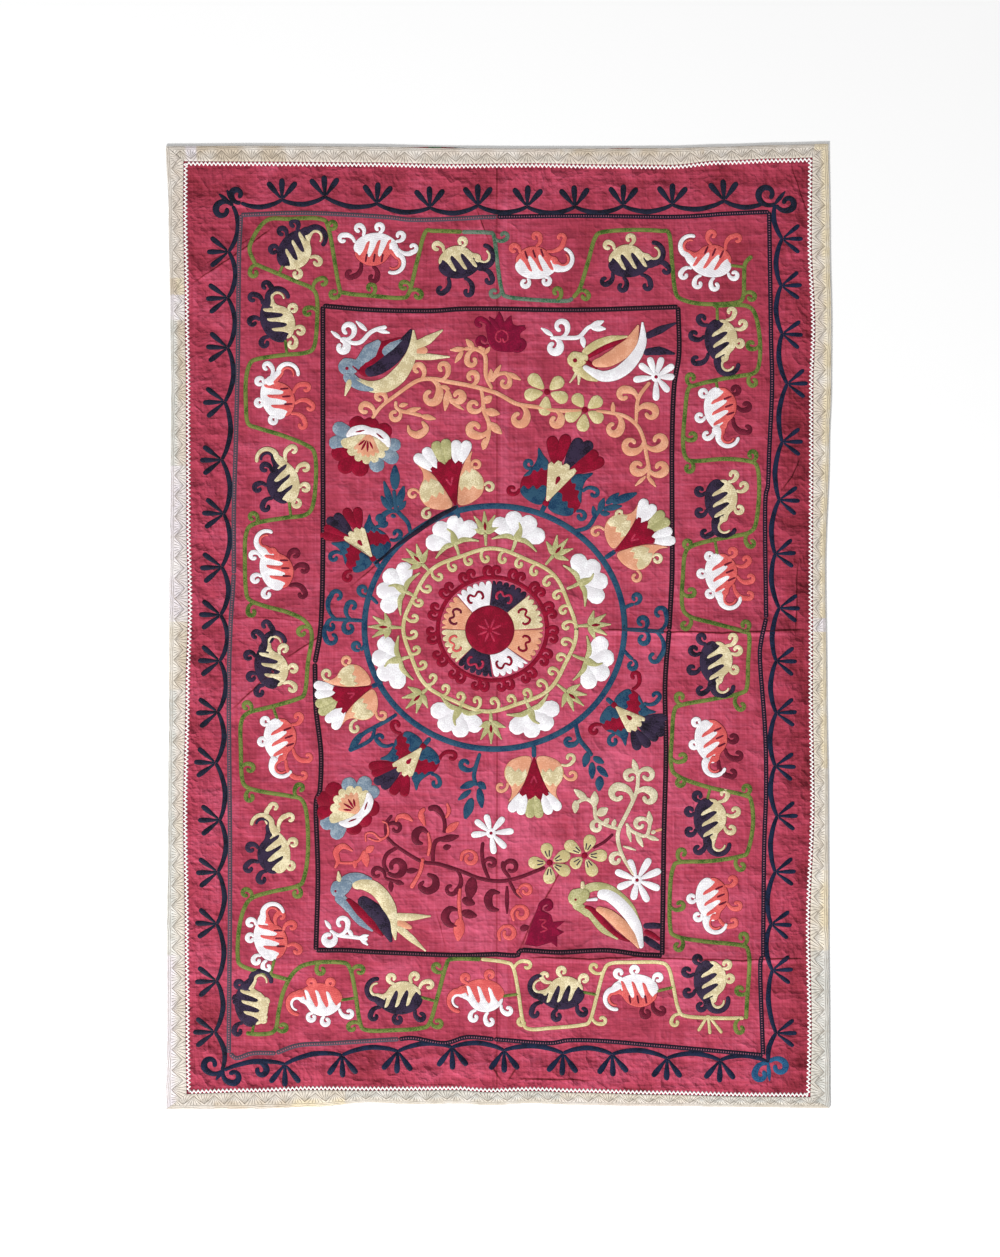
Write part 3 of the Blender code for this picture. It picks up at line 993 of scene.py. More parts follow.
@dataclass
class GroundFinish(Finish):
    """The red cotton: paler in the middle and darker near the edges, partly paled dye and partly
    painted light and shade, with slubs, painted highlights on its crumples, and painted shade with a
    highlight beside each crease line.
    """

    CRUMPLE_SIZE = 11.0
    FINE_SIZE = 31.0
    CLOUD_SCALE = 7.5
    CLOUD_SHARE = 0.75
    STREAK_STRETCH = (2.2, 60.0, 1.0)
    STREAK_SHARE = 0.34
    WEAVE_SHARE = 0.95
    LIT_LEVEL = 0.35
    LIT_SHARE = 0.20
    CREASE_SHADE = 0.85
    CREASE_HIGHLIGHT = 0.20
    SELVEDGE_X = 0.014
    SELVEDGE_START = 0.007
    SELVEDGE_END = 0.011
    SELVEDGE_TONE = 0.11
    SEAM_START = 0.0006
    SEAM_END = 0.0026
    SEAM_TONE = 0.30
    FINE_RELIEF = 0.35
    WEAVE_RELIEF = 0.10
    RELIEF = 0.0085
    TONES = ((0.0, (78, 12, 22)), (0.30, (132, 38, 53)), (0.62, (166, 58, 80)), (1.0, (199, 88, 116)))

    def make(self, effects: Effects) -> bpy.types.Material:
        """Builds the material.

        Args:
            effects: the shared node groups.

        Returns:
            The finished material.
        """
        graph, shader = self.start()
        place = graph.node("TexCoord").outputs["Object"]
        fade_and_shade_tone, soft, _ = graph.parts(graph.node("Attribute", attribute_name="lay").outputs["Vector"])
        weave = graph.node("Group", {"Place Vector": place}, node_tree=effects.weave)
        crumple, fine = (
            graph.node(
                "Group", {"Place Vector": place, "Size": size}, node_tree=effects.crumple
            ).outputs["Height"]
            for size in (self.CRUMPLE_SIZE, self.FINE_SIZE)
        )
        crease_shade = graph.node("Group", {"Place Vector": place}, node_tree=effects.crease_shade)
        across = graph.parts(place)[0]
        from_seam = graph.math("ABSOLUTE", graph.math("SUBTRACT", across, self.SELVEDGE_X))
        at_seam = graph.math("ABSOLUTE", graph.math("SUBTRACT", across, CENTRE_SEAM_X))
        # The tone adds the paleness of paled dye with painted light and shade, random clouds, streaks
        # and weave, painted highlights on crumple ridges, painted crease shade and highlights, the pale
        # selvedge and the dark seam.
        tone = graph.total(
            fade_and_shade_tone,
            graph.over(graph.noise(place, self.CLOUD_SCALE, 5.0), 0.5, self.CLOUD_SHARE),
            graph.over(graph.noise(place, 1.0, 2.0, self.STREAK_STRETCH), 0.5, self.STREAK_SHARE),
            graph.over(weave.outputs["Tone"], 0.5, self.WEAVE_SHARE),
            graph.math("MULTIPLY", graph.over(crumple, self.LIT_LEVEL, soft), self.LIT_SHARE),
            # Painted shade along the crease lines, and a painted highlight beside each.
            graph.math("MULTIPLY", crease_shade.outputs["Dark"], -self.CREASE_SHADE),
            graph.math("MULTIPLY", crease_shade.outputs["Light"], self.CREASE_HIGHLIGHT),
            graph.spread(from_seam, self.SELVEDGE_START, self.SELVEDGE_END, self.SELVEDGE_TONE, 0.0),
            graph.spread(at_seam, self.SEAM_START, self.SEAM_END, -self.SEAM_TONE, 0.0),
        )
        colour = graph.ramp(tone, [(share, linear(*parts)) for share, parts in self.TONES])
        height = graph.total(
            graph.math("MULTIPLY", crumple, soft),
            graph.math("MULTIPLY", fine, graph.math("MULTIPLY", soft, self.FINE_RELIEF)),
            graph.math("MULTIPLY", weave.outputs["Height"], self.WEAVE_RELIEF),
        )
        self.dress(graph, shader, colour, height, self.RELIEF)
        return self.material


@dataclass
class BorderFinish(Finish):
    """Pieced cotton, quilted in a zigzag with fans of stitches in its angles, with painted shade in its
    quilted furrows and along its seam.
    """

    pitch: float = 0.051
    outer_turn: float = 0.0135
    inner_turn: float = 0.0370
    fan_step: float = 0.30

    WOBBLE_SCALE = 28.0
    WOBBLE_REACH = 0.0065
    WOBBLE_MIDDLE = 0.0033
    SEAM_START = 0.0006
    SEAM_END = 0.0022
    FURROW_START = 0.02
    FURROW_END = 0.20
    ROW_PITCH = 0.0046
    ROW_START = 0.05
    ROW_END = 0.25
    ROW_STOP = 0.0015
    SPECK_SCALE = 120.0
    CLOUD_SCALE = 17.0
    TAN = (182, 168, 150)
    PALE = (244, 240, 235)
    INNER = (192, 178, 158)
    SHADOW = (134, 114, 98)
    TAN_SHARE = 0.30
    PALE_SHARE = 0.55
    INNER_SHARE = 0.26
    FURROW_SHADE_SHARE = 0.30
    SEAM_SHADE_SHARE = 0.46
    SEAM_RELIEF = 1.2
    CLOUD_RELIEF = 0.8
    RELIEF = 0.0012

    def quilt(self, graph: Graph, run: Value, across: Value) -> tuple[Value, Value, Value]:
        """The quilting of a strip.

        Args:
            graph: the material's graph.
            run: metres along the strip.
            across: metres in from its outer edge.

        Returns:
            How far a place is in the zigzag seam, in a furrow of the fans or rows, and whether it is
            on the inner side of the zigzag.
        """
        half = self.pitch / 2
        wave = graph.math("PINGPONG", run, half)
        slope = (self.inner_turn - self.outer_turn) / half
        zigzag = graph.math("ADD", graph.math("MULTIPLY", wave, slope), self.outer_turn)
        away = graph.math("ABSOLUTE", graph.math("SUBTRACT", across, zigzag))
        seam = graph.spread(away, self.SEAM_START, self.SEAM_END, 1.0, 0.0)
        from_outer = graph.math("SUBTRACT", across, self.outer_turn)
        from_inner = graph.math("SUBTRACT", self.inner_turn, across)
        under = graph.math("ARCTAN2", wave, from_outer)
        over = graph.math("ARCTAN2", graph.math("SUBTRACT", half, wave), from_inner)
        inside = graph.math("GREATER_THAN", across, zigzag)
        outside = graph.math("SUBTRACT", 1.0, inside)
        fan = graph.math(
            "ADD", graph.math("MULTIPLY", under, inside), graph.math("MULTIPLY", over, outside)
        )
        rays = graph.math("PINGPONG", graph.math("DIVIDE", fan, self.fan_step), 0.5)
        furrow = graph.spread(rays, self.FURROW_START, self.FURROW_END, 1.0, 0.0)
        rows = graph.math("PINGPONG", graph.math("DIVIDE", across, self.ROW_PITCH), 0.5)
        long_row = graph.spread(rows, self.ROW_START, self.ROW_END, 1.0, 0.0)
        at_edge = graph.math("LESS_THAN", across, self.outer_turn - self.ROW_STOP)
        furrow = graph.math("MULTIPLY", furrow, graph.math("SUBTRACT", 1.0, at_edge))
        furrow = graph.math("ADD", furrow, graph.math("MULTIPLY", long_row, at_edge))
        return seam, furrow, inside

    def make(self) -> bpy.types.Material:
        """Builds the material.

        Returns:
            The finished material.
        """
        graph, shader = self.start()
        place = graph.node("TexCoord").outputs["Object"]
        lay = graph.node("Attribute", attribute_name="lay").outputs["Vector"]
        bent = graph.bend(lay, place, self.WOBBLE_SCALE, 1.0, self.WOBBLE_REACH)
        run, across, _ = graph.parts(bent)
        across = graph.math("SUBTRACT", across, self.WOBBLE_MIDDLE)
        seam, furrow, inside = self.quilt(graph, run, across)
        speck = graph.noise(place, self.SPECK_SCALE, 3.0)
        cloud = graph.noise(place, self.CLOUD_SCALE, 3.0)
        base = graph.node("Attribute", attribute_name="cotton").outputs["Vector"]
        tan = graph.math("MULTIPLY", graph.spread(speck, 0.44, 0.66), self.TAN_SHARE)
        pale = graph.math("MULTIPLY", graph.spread(cloud, 0.45, 0.70), self.PALE_SHARE)
        inner = graph.math("MULTIPLY", inside, self.INNER_SHARE)
        # Painted shade in the quilted furrows and along the zigzag seam.
        furrow_shade = graph.math("MULTIPLY", furrow, self.FURROW_SHADE_SHARE)
        dark = graph.math("ADD", furrow_shade, graph.math("MULTIPLY", seam, self.SEAM_SHADE_SHARE))
        for share, colour in (
            (tan, self.TAN), (pale, self.PALE), (inner, self.INNER), (dark, self.SHADOW)
        ):
            base = graph.mix(share, base, linear(*colour))
        sunk = graph.math("MAXIMUM", furrow, graph.math("MULTIPLY", seam, self.SEAM_RELIEF))
        puffed = graph.math("MULTIPLY", cloud, self.CLOUD_RELIEF)
        height = graph.math("ADD", graph.math("MULTIPLY", sunk, -1.0), puffed)
        self.dress(graph, shader, base, height, self.RELIEF)
        return self.material


@dataclass
class BraidFinish(Finish):
    """White cotton braid, with fine slanting cords and painted shade in the grooves between them."""

    CORD = 0.0013
    GROOVE_SHADE = (236, 230, 226)
    CREST = (252, 250, 250)
    RELIEF = 0.0002

    def make(self) -> bpy.types.Material:
        """Builds the material.

        Returns:
            The finished material.
        """
        graph, shader = self.start()
        across = graph.parts(graph.node("Attribute", attribute_name="stitch").outputs["Vector"])[1]
        cords = graph.math("PINGPONG", graph.math("DIVIDE", across, self.CORD), 1.0)
        # Painted shade: the grooves between the cords are darker than their crests.
        colour = graph.mix(cords, linear(*self.GROOVE_SHADE), linear(*self.CREST))
        self.dress(graph, shader, colour, cords, self.RELIEF)
        return self.material


@dataclass
class LiningFinish(Finish):
    """Striped lining: bands of several colours across a dark red."""

    stripes: Sequence[tuple[float, tuple[int, int, int]]] = ()

    WEAVE_SCALE = 900.0
    RELIEF = 0.0002

    def make(self) -> bpy.types.Material:
        """Builds the material.

        Returns:
            The finished material.
        """
        graph, shader = self.start()
        place = graph.node("TexCoord").outputs["Object"]
        share = graph.spread(graph.parts(place)[0], -WIDTH / 2, WIDTH / 2)
        stops = [(x / WIDTH + 0.5, linear(*colour)) for x, colour in self.stripes]
        colour = graph.ramp(share, stops, steps=True)
        self.dress(graph, shader, colour, graph.noise(place, self.WEAVE_SCALE), self.RELIEF)
        return self.material


def publish(
    name: str, mesh: bpy.types.Mesh, material: bpy.types.Material
) -> bpy.types.Object:
    """Links a finished mesh into the scene as a piece of the hanging.

    Args:
        name: the piece's name.
        mesh: the shape.
        material: what the piece is made of.

    Returns:
        The piece.
    """
    mesh.materials.append(material)
    obj = bpy.data.objects.new(name, mesh)
    bpy.context.scene.collection.objects.link(obj)
    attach(obj, BODY)
    LOG.info("%s: %d faces", name, len(mesh.polygons))
    return obj


def places_of(mesh: bpy.types.Mesh) -> np.ndarray:
    """The coordinates of a mesh's vertices.

    Args:
        mesh: the shape.

    Returns:
        One row a vertex.
    """
    flat = np.empty(len(mesh.vertices) * 3, dtype=np.float32)
    mesh.vertices.foreach_get("co", flat)
    return flat.reshape(-1, 3).astype(float)


def set_places(mesh: bpy.types.Mesh, places: np.ndarray) -> None:
    """Moves a mesh's vertices."""
    mesh.vertices.foreach_set("co", places.astype(np.float32).ravel())
    mesh.update()


def set_vectors(mesh: bpy.types.Mesh, name: str, values: np.ndarray) -> None:
    """Stores a vector on each vertex of a mesh for its material."""
    layer = mesh.attributes.new(name, "FLOAT_VECTOR", "POINT")
    layer.data.foreach_set("vector", values.astype(np.float32).ravel())


def slab(columns: int, rows: int) -> bpy.types.Mesh:
    """A grid with its edges drawn down and closed by one face, as a mesh.

    Args:
        columns: how many faces it has across.
        rows: how many faces it has along.

    Returns:
        The mesh, from -1 to 1 both ways; its upper face is at 0 and its lower at -1.
    """
    surface = bmesh.new()
    bmesh.ops.create_grid(surface, x_segments=columns, y_segments=rows, size=1.0)
    around = [edge for edge in surface.edges if edge.is_boundary]
    walls = bmesh.ops.extrude_edge_only(surface, edges=around)
    low = [item for item in walls["geom"] if isinstance(item, bmesh.types.BMVert)]
    for vertex in low:
        vertex.co.z = -1.0
    lower = set(low)
    loop = [
        item for item in walls["geom"]
        if isinstance(item, bmesh.types.BMEdge) and set(item.verts) <= lower
    ]
    bmesh.ops.contextual_create(surface, geom=loop)
    bmesh.ops.recalc_face_normals(surface, faces=surface.faces[:])
    mesh = bpy.data.meshes.new("slab")
    surface.to_mesh(mesh)
    surface.free()
    mesh.shade_smooth()
    mesh.set_sharp_from_angle(angle=math.radians(60.0))
    return mesh


@dataclass
class Pen:
    """Sews one group of motifs. All that it sews in one silk becomes one piece."""

    section: str
    work: dict = field(default_factory=dict)

    CAP_STEPS = (0.02, 0.14, 0.42, 1.0)
    CAP_CLEAR = 1.15
    FULL_HALF = 0.0022
    SHOULDER_LIFT = 0.8
    CREST_LIFT = 1.15
    ROUND_LEAF = (0.22, 0.62, 0.92, 1.0, 0.88)
    POINTED_LEAF = (0.25, 0.80, 1.0, 0.78, 0.12)
    CURL_TURNS = 1.02
    CURL_POINTS = 25
    CURL_EYE = 0.42
    CURL_SHAPE = (0.9, 0.95, 1.15, 1.3, 1.2, 1.1, 1.2)
    CURL_BULGE = (0.0, 0.3, 0.9, 1.0, 0.6, 0.1, -0.2)

    def hoop(self, silk: Enum) -> tuple[bmesh.types.BMesh, object]:
        """The mesh that a silk is sewn into, and its layer of stitch coordinates.

        Args:
            silk: the colour of silk.

        Returns:
            The mesh, and the layer that holds its stitch coordinates.
        """
        if silk not in self.work:
            self.work[silk] = bmesh.new()
            self.work[silk].verts.layers.float_vector.new("stitch")
        surface = self.work[silk]
        return surface, surface.verts.layers.float_vector["stitch"]

    def band(
        self, silk: Enum, spine: np.ndarray, widths: Sequence[float], layer: float, closed: bool
    ) -> None:
        """Sews a raised band along a spine.

        Args:
            silk: what it is sewn with.
            spine: points on the chart, close together.
            widths: widths in squares, spread evenly along the spine.
            layer: how many layers of silk lie under it.
            closed: whether the spine is a ring.
        """
        if closed:
            spine = np.vstack([spine, spine[:2]])
        run = np.concatenate([[0.0], np.cumsum(np.hypot(*np.diff(spine, axis=0).T))])
        total = run[-1]
        shares = np.linspace(0.0, 1.0, len(widths))
        at, cap = run, np.ones(len(run))
        if not closed:
            ends = [min(0.5 * max(widths[k], 0.6), 0.45 * total) for k in (0, -1)]
            inner = run[(run > ends[0] * self.CAP_CLEAR) & (run < total - ends[1] * self.CAP_CLEAR)]
            start = ends[0] * np.array(self.CAP_STEPS)
            finish = total - ends[1] * np.array(self.CAP_STEPS[::-1])
            at = np.concatenate([start, inner, finish])
            near = np.minimum(at / ends[0], (total - at) / ends[1])
            cap = np.sqrt(np.clip(1.0 - (1.0 - np.clip(near, 0.0, 1.0)) ** 2, 0.03, 1.0))
        centre = np.column_stack([np.interp(at, run, spine[:, k]) for k in (0, 1)])
        half = 0.5 * np.interp(at / total, shares, widths) * cap * CHART_SQUARE + SILK_MARGIN * cap
        middle = on_chart(centre)
        along = np.gradient(middle, axis=0)
        if closed:
            along[0] = along[-1] = middle[1] - middle[-2 if len(middle) < 3 else -3]
        along /= np.maximum(np.hypot(*along.T), 1e-9)[:, None]
        right = np.column_stack([along[:, 1], -along[:, 0]])
        shoulder = np.maximum(half - SILK_RIM, 0.4 * half)
        offsets = np.column_stack([-half, -shoulder, 0 * half, shoulder, half])
        lift = SILK_LIFT * np.minimum(1.0, half / self.FULL_HALF)
        side = self.SHOULDER_LIFT * lift
        heights = np.column_stack(
            [0 * lift - SILK_SINK, side, self.CREST_LIFT * lift, side, 0 * lift - SILK_SINK]
        )
        rims = np.tile([1.0, 0.0, 0.0, 0.0, 1.0], (len(at), 1))
        if not closed:
            heights[[0, -1]] = -SILK_SINK
            rims[[0, -1]] = 1.0
        places = middle[:, None, :] + offsets[:, :, None] * right[:, None, :]
        surface, stitch = self.hoop(silk)
        rows = len(at) - 1
        grid = bmesh.ops.create_grid(surface, x_segments=4, y_segments=rows, size=1.0)
        for vertex in grid["verts"]:
            i, j = round(2.0 * vertex.co.x + 2.0), round((vertex.co.y + 1.0) / 2.0 * rows)
            x, y = places[j, i]
            vertex.co = (x, y, heights[j, i] + layer * SILK_LAYER)
            vertex[stitch] = (at[j] * CHART_SQUARE, offsets[j, i], rims[j, i])

    def line(
        self, silk: Enum, points: Sequence[Point], *widths: float, layer: float = 0.0,
        closed: bool = False, step: float = 2.0
    ) -> np.ndarray:
        """Sews a band on a smooth line through some points, and gives back its spine.

        Args:
            silk: the colour of silk.
            points: chart places that the line runs through.
            widths: widths in squares, spread evenly from start to end.
            layer: how many layers of silk lie below.
            closed: whether the line ends where it starts.
            step: squares from one rung of the band to the next.

        Returns:
            The spine, one row a rung.
        """
        spine = curve_through(points, step, closed)
        self.band(silk, spine, widths if len(widths) > 1 else widths * 2, layer, closed)
        return spine

    def leaf(
        self, silk: Enum, base: Point, tip: Point, width: float, bend: float = 0.0, layer: float = 0.0,
        round_tip: bool = False
    ) -> None:
        """Sews a leaf or a petal.

        Args:
            silk: what it is sewn with.
            base: where it starts.
            tip: where it ends.
            width: how wide it is at its widest.
            bend: how far its middle stands to the left, as a share of its length.
            layer: how many layers of silk lie under it.
            round_tip: whether its tip is broad and round.
        """
        run = np.subtract(tip, base)
        middle = np.add(base, tip) / 2.0 + bend * np.array([run[1], -run[0]])
        shape = self.ROUND_LEAF if round_tip else self.POINTED_LEAF
        self.line(
            silk, (base, tuple(middle), tip), *(width * part for part in shape), layer=layer, step=1.7
        )

    def curl(
        self, silk: Enum, start: Point, centre: Point, radius: float, turn: float, width: float = 2.8,
        layer: float = 0.0, swell: float = 0.0
    ) -> None:
        """Sews a curl that winds in to its middle.

        Args:
            silk: what it is sewn with.
            start: where it leaves its stem.
            centre: the middle of the curl.
            radius: how far out it winds.
            turn: 1 if it winds to the left, -1 if to the right.
            width: how wide its thread is; its end is a little wider.
            layer: how many layers of silk lie under it.
            swell: how much its far side swells.
        """
        away = np.subtract(start, centre)
        distance = math.hypot(*away)
        first = math.atan2(-away[1], away[0])
        points = []
        for t in np.linspace(0.0, 1.0, self.CURL_POINTS):
            reach = self.CURL_EYE + (1.0 - self.CURL_EYE) * (1.0 - t) ** 0.8
            out = radius * reach + (distance - radius) * max(0.0, 1.0 - t * 4.0) ** 1.5
            angle = first + turn * math.tau * self.CURL_TURNS * t
            points.append((centre[0] + out * math.cos(angle), centre[1] - out * math.sin(angle)))
        shape = self.CURL_SHAPE
        if swell > 0.0:
            shape = tuple(part + swell * bulge for part, bulge in zip(shape, self.CURL_BULGE))
        self.line(silk, points, *(width * part for part in shape), layer=layer, step=1.5)

    def sprout(
        self, silk: Enum, stem: np.ndarray, x: float, y: float, radius: float, width: float = 2.8,
        layer: float = 0.0, swell: float = 0.0
    ) -> None:
        """Sews a curl that leaves the nearest point of a stem.

        Args:
            silk: the colour of silk.
            stem: the spine of the stem.
            x: the curl's place across the chart.
            y: the curl's place down the chart.
            radius: the curl's radius in squares.
            width: the width of its line in squares.
            layer: how many layers of silk lie below.
            swell: how much thicker its middle is.
        """
        away = np.hypot(*(stem - (x, y)).T)
        k = int(np.argmin(away))
        ahead = stem[min(k + 1, len(stem) - 1)] - stem[max(k - 1, 0)]
        side = ahead[0] * (stem[k][1] - y) + ahead[1] * (x - stem[k][0])
        self.curl(silk, tuple(stem[k]), (x, y), radius, 1.0 if side > 0 else -1.0, width, layer, swell)

    def patch(
        self, silk: Enum, outline: Sequence[Point], grain: float = 0.0, layer: float = 0.0
    ) -> None:
        """Sews a filled shape.

        Args:
            silk: what it is sewn with.
            outline: its edge on the chart.
            grain: the heading of its rows of stitches, in degrees.
            layer: how many layers of silk lie under it.
        """
        edge = on_chart(np.asarray(outline, float))
        turned = edge[:, 0] @ np.roll(edge[:, 1], -1) - edge[:, 1] @ np.roll(edge[:, 0], -1)
        if turned < 0:
            edge = edge[::-1]
        ahead = np.roll(edge, -1, axis=0) - np.roll(edge, 1, axis=0)
        ahead /= np.maximum(np.hypot(*ahead.T), 1e-9)[:, None]
        edge = edge + SILK_MARGIN * np.column_stack([ahead[:, 1], -ahead[:, 0]])
        piece = bmesh.new()
        stitch = piece.verts.layers.float_vector.new("stitch")
        circle = bmesh.ops.create_circle(piece, cap_ends=True, segments=len(edge), radius=1.0)
        for vertex, (x, y) in zip(circle["verts"], edge):
            vertex.co = (x, y, -SILK_SINK)
            vertex[stitch] = (0.0, 0.0, 1.0)
        piece.normal_update()
        piece.faces.ensure_lookup_table()
        if piece.faces[0].normal.z < 0:
            bmesh.ops.reverse_faces(piece, faces=piece.faces[:])
        outer = set(piece.verts)
        bmesh.ops.inset_region(piece, faces=piece.faces[:], thickness=SILK_RIM, use_boundary=True)
        for vertex in piece.verts:
            if vertex not in outer:
                vertex.co.z = self.SHOULDER_LIFT * SILK_LIFT
                vertex[stitch] = (0.0, 0.0, 0.0)
        size = edge.max(axis=0) - edge.min(axis=0)
        for axis in (0, 1):
            count = int(size[axis] / FILL_CELL)
            for k in range(count):
                cut = edge.min(axis=0)[axis] + size[axis] * (k + 0.5) / count
                inside = [face for face in piece.faces if all(v not in outer for v in face.verts)]
                geometry = set(inside)
                for face in inside:
                    geometry.update(face.edges, face.verts)
                bmesh.ops.bisect_plane(
                    piece,
                    geom=list(geometry),
                    plane_co=(cut, 0.0, 0.0) if axis == 0 else (0.0, cut, 0.0),
                    plane_no=(1.0, 0.0, 0.0) if axis == 0 else (0.0, 1.0, 0.0),
                )
        angle = math.radians(grain)
        for vertex in piece.verts:
            rim = vertex[stitch][2]
            x, y = vertex.co.x, vertex.co.y
            u = x * math.cos(angle) + y * math.sin(angle)
            v = -x * math.sin(angle) + y * math.cos(angle)
            vertex[stitch] = (u, v, rim)
            vertex.co.z += layer * SILK_LAYER
        mesh = bpy.data.meshes.new("patch")
        piece.to_mesh(mesh)
        piece.free()
        self.hoop(silk)[0].from_mesh(mesh)
        bpy.data.meshes.remove(mesh)

    def blob(self, silk: Enum, points: Sequence[Point], grain: float = 0.0, layer: float = 0.0) -> None:
        """Sews a filled shape whose edge runs smoothly through some points."""
        self.patch(silk, curve_through(points, 1.6, True), grain, layer)

    def disc(self, silk: Enum, centre: Point, radius: float, layer: float = 0.0) -> None:
        """Sews a round spot.

        Args:
            silk: the colour of silk.
            centre: its middle on the chart.
            radius: its radius in squares.
            layer: how many layers of silk lie below.
        """
        count = max(8, int(radius * 2.4))
        angles = np.linspace(0.0, math.tau, count, endpoint=False)
        self.patch(
            silk,
            np.column_stack([centre[0] + radius * np.cos(angles), centre[1] + radius * np.sin(angles)]),
            0.0, layer
        )

    def finish(self, materials: dict) -> list[bpy.types.Object]:
        """Lays all that was sewn on the cloth, and makes its pieces.

        Args:
            materials: the material of each silk.

        Returns:
            The pieces.
        """
        pieces = []
        for silk, surface in self.work.items():
            mesh = bpy.data.meshes.new(f"{self.section}_{silk.name.lower()}")
            surface.to_mesh(mesh)
            surface.free()
            places = places_of(mesh)
            places[:, 2] += CLOTH.top(places[:, 0], places[:, 1])
            set_places(mesh, places)
            mesh.shade_smooth()
            pieces.append(publish(mesh.name, mesh, materials[silk]))
        return pieces


def on_chart(points: np.ndarray) -> np.ndarray:
    """Places on the cloth, in metres, of points on the chart."""
    points = np.asarray(points, float)
    return (points - CHART_MIDDLE) * (CHART_SQUARE, -CHART_SQUARE)


class FadeAndShadeSpot(NamedTuple):
    """A part of the ground that is paler than the rest, or darker if less than 0: partly paled dye and
    partly painted light and shade.
    """

    x: float
    y: float
    reach_x: float
    reach_y: float
    amount: float


# Paler and darker parts of the ground: partly paled dye, partly painted light and shade.
FADE_AND_SHADE_SPOTS = (
    FadeAndShadeSpot(0.00, -0.55, 0.75, 0.50, 0.15),
    FadeAndShadeSpot(0.10, 0.05, 0.60, 0.90, 0.08),
    FadeAndShadeSpot(-0.50, -0.40, 0.35, 0.40, -0.08),
    FadeAndShadeSpot(-0.70, 1.05, 0.45, 0.40, -0.08),
    FadeAndShadeSpot(0.79, 0.00, 0.09, 1.60, -0.32),
    FadeAndShadeSpot(0.79, -0.50, 0.14, 0.70, -0.10),
    FadeAndShadeSpot(-0.79, 0.00, 0.06, 1.60, -0.08),
    FadeAndShadeSpot(0.00, -1.17, 1.20, 0.09, -0.10),
    FadeAndShadeSpot(0.00, 1.16, 1.20, 0.06, -0.06),
    FadeAndShadeSpot(0.55, 0.95, 0.35, 0.35, -0.08),
    FadeAndShadeSpot(-0.35, -0.95, 0.50, 0.20, -0.06),
    FadeAndShadeSpot(0.55, -0.85, 0.25, 0.30, 0.06),
)


@dataclass
class Ground:
    """The two widths of red cloth, in their folds."""

    base_fade_and_shade: float = 0.58
    cell: float = 0.0064

    CRUMPLE_LEAST = 0.34
    CRUMPLE_AT_RIM = 0.40
    CRUMPLE_REACH = 0.10

    def make(self, material: bpy.types.Material) -> list[bpy.types.Object]:
        """Args:
            material: what the piece is made of.

        Returns:
            Both widths.
        """
        seam = WIDTH / 2 - BORDER_WIDTH - SEAM_GAP
        half_gap = LAYER_GAP / 2
        spans = {
            "ground_left": (-seam, CENTRE_SEAM_X - half_gap),
            "ground_right": (CENTRE_SEAM_X + half_gap, seam),
        }
        return [self.make_width(name, *span, material) for name, span in spans.items()]

    def make_width(
        self, node: str, first: float, last: float, material: bpy.types.Material
    ) -> bpy.types.Object:
        """Builds one width.

        Args:
            node: the solid that it replaces.
            first: its left edge on the even plan.
            last: its right edge on the even plan.
            material: what it is made of.

        Returns:
            The piece.
        """
        end = LENGTH / 2 - BORDER_WIDTH - SEAM_GAP
        mesh = slab(round((last - first) / self.cell), round(2 * end / self.cell))
        unit = places_of(mesh)
        x, y = CLOTH.on_cloth(first + (last - first) * (unit[:, 0] + 1) / 2, end * unit[:, 1])
        z = np.where(unit[:, 2] > -0.5, CLOTH.top(x, y), CLOTH_BASE)
        set_places(mesh, np.column_stack([x, y, z]))
        set_vectors(mesh, "lay", np.column_stack([self.fade_and_shade(x, y), self.crumple(x, y), 0 * x]))
        mesh.name = f"{node}_cloth"
        obj = publish(mesh.name, mesh, material)
        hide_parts(node)
        return obj

    def fade_and_shade(self, x: np.ndarray, y: np.ndarray) -> np.ndarray:
        """How pale the cloth is, from 0 to 1: partly paled dye and partly painted light and shade.

        Args:
            x: metres to the right on the even plan.
            y: metres up on the even plan.

        Returns:
            The fading at each point.
        """
        total = np.full_like(x, self.base_fade_and_shade)
        for spot in FADE_AND_SHADE_SPOTS:
            away = np.hypot((x - spot.x) / spot.reach_x, (y - spot.y) / spot.reach_y)
            total += spot.amount * np.exp(-(away**2))
        return total

    def crumple(self, x: np.ndarray, y: np.ndarray) -> np.ndarray:
        """How crumpled the cloth is, from 0 to 1."""
        near = np.exp(-((CLOTH.to_rim(x, y) / self.CRUMPLE_REACH) ** 2))
        return self.CRUMPLE_LEAST + self.CRUMPLE_AT_RIM * near


class Cotton(Enum):
    """The cottons that the border is pieced from."""

    GREY = (219, 210, 199)
    BEIGE = (226, 214, 202)
    TAN = (208, 193, 173)
    LAVENDER = (228, 220, 224)
    YELLOW = (230, 215, 184)
    CREAM = (222, 213, 198)
    CHALK = (210, 209, 202)


class Piecing(NamedTuple):
    """One piece of the border: where it ends on the chart, and its two cottons."""

    end: float
    outer: Cotton
    inner: Cotton


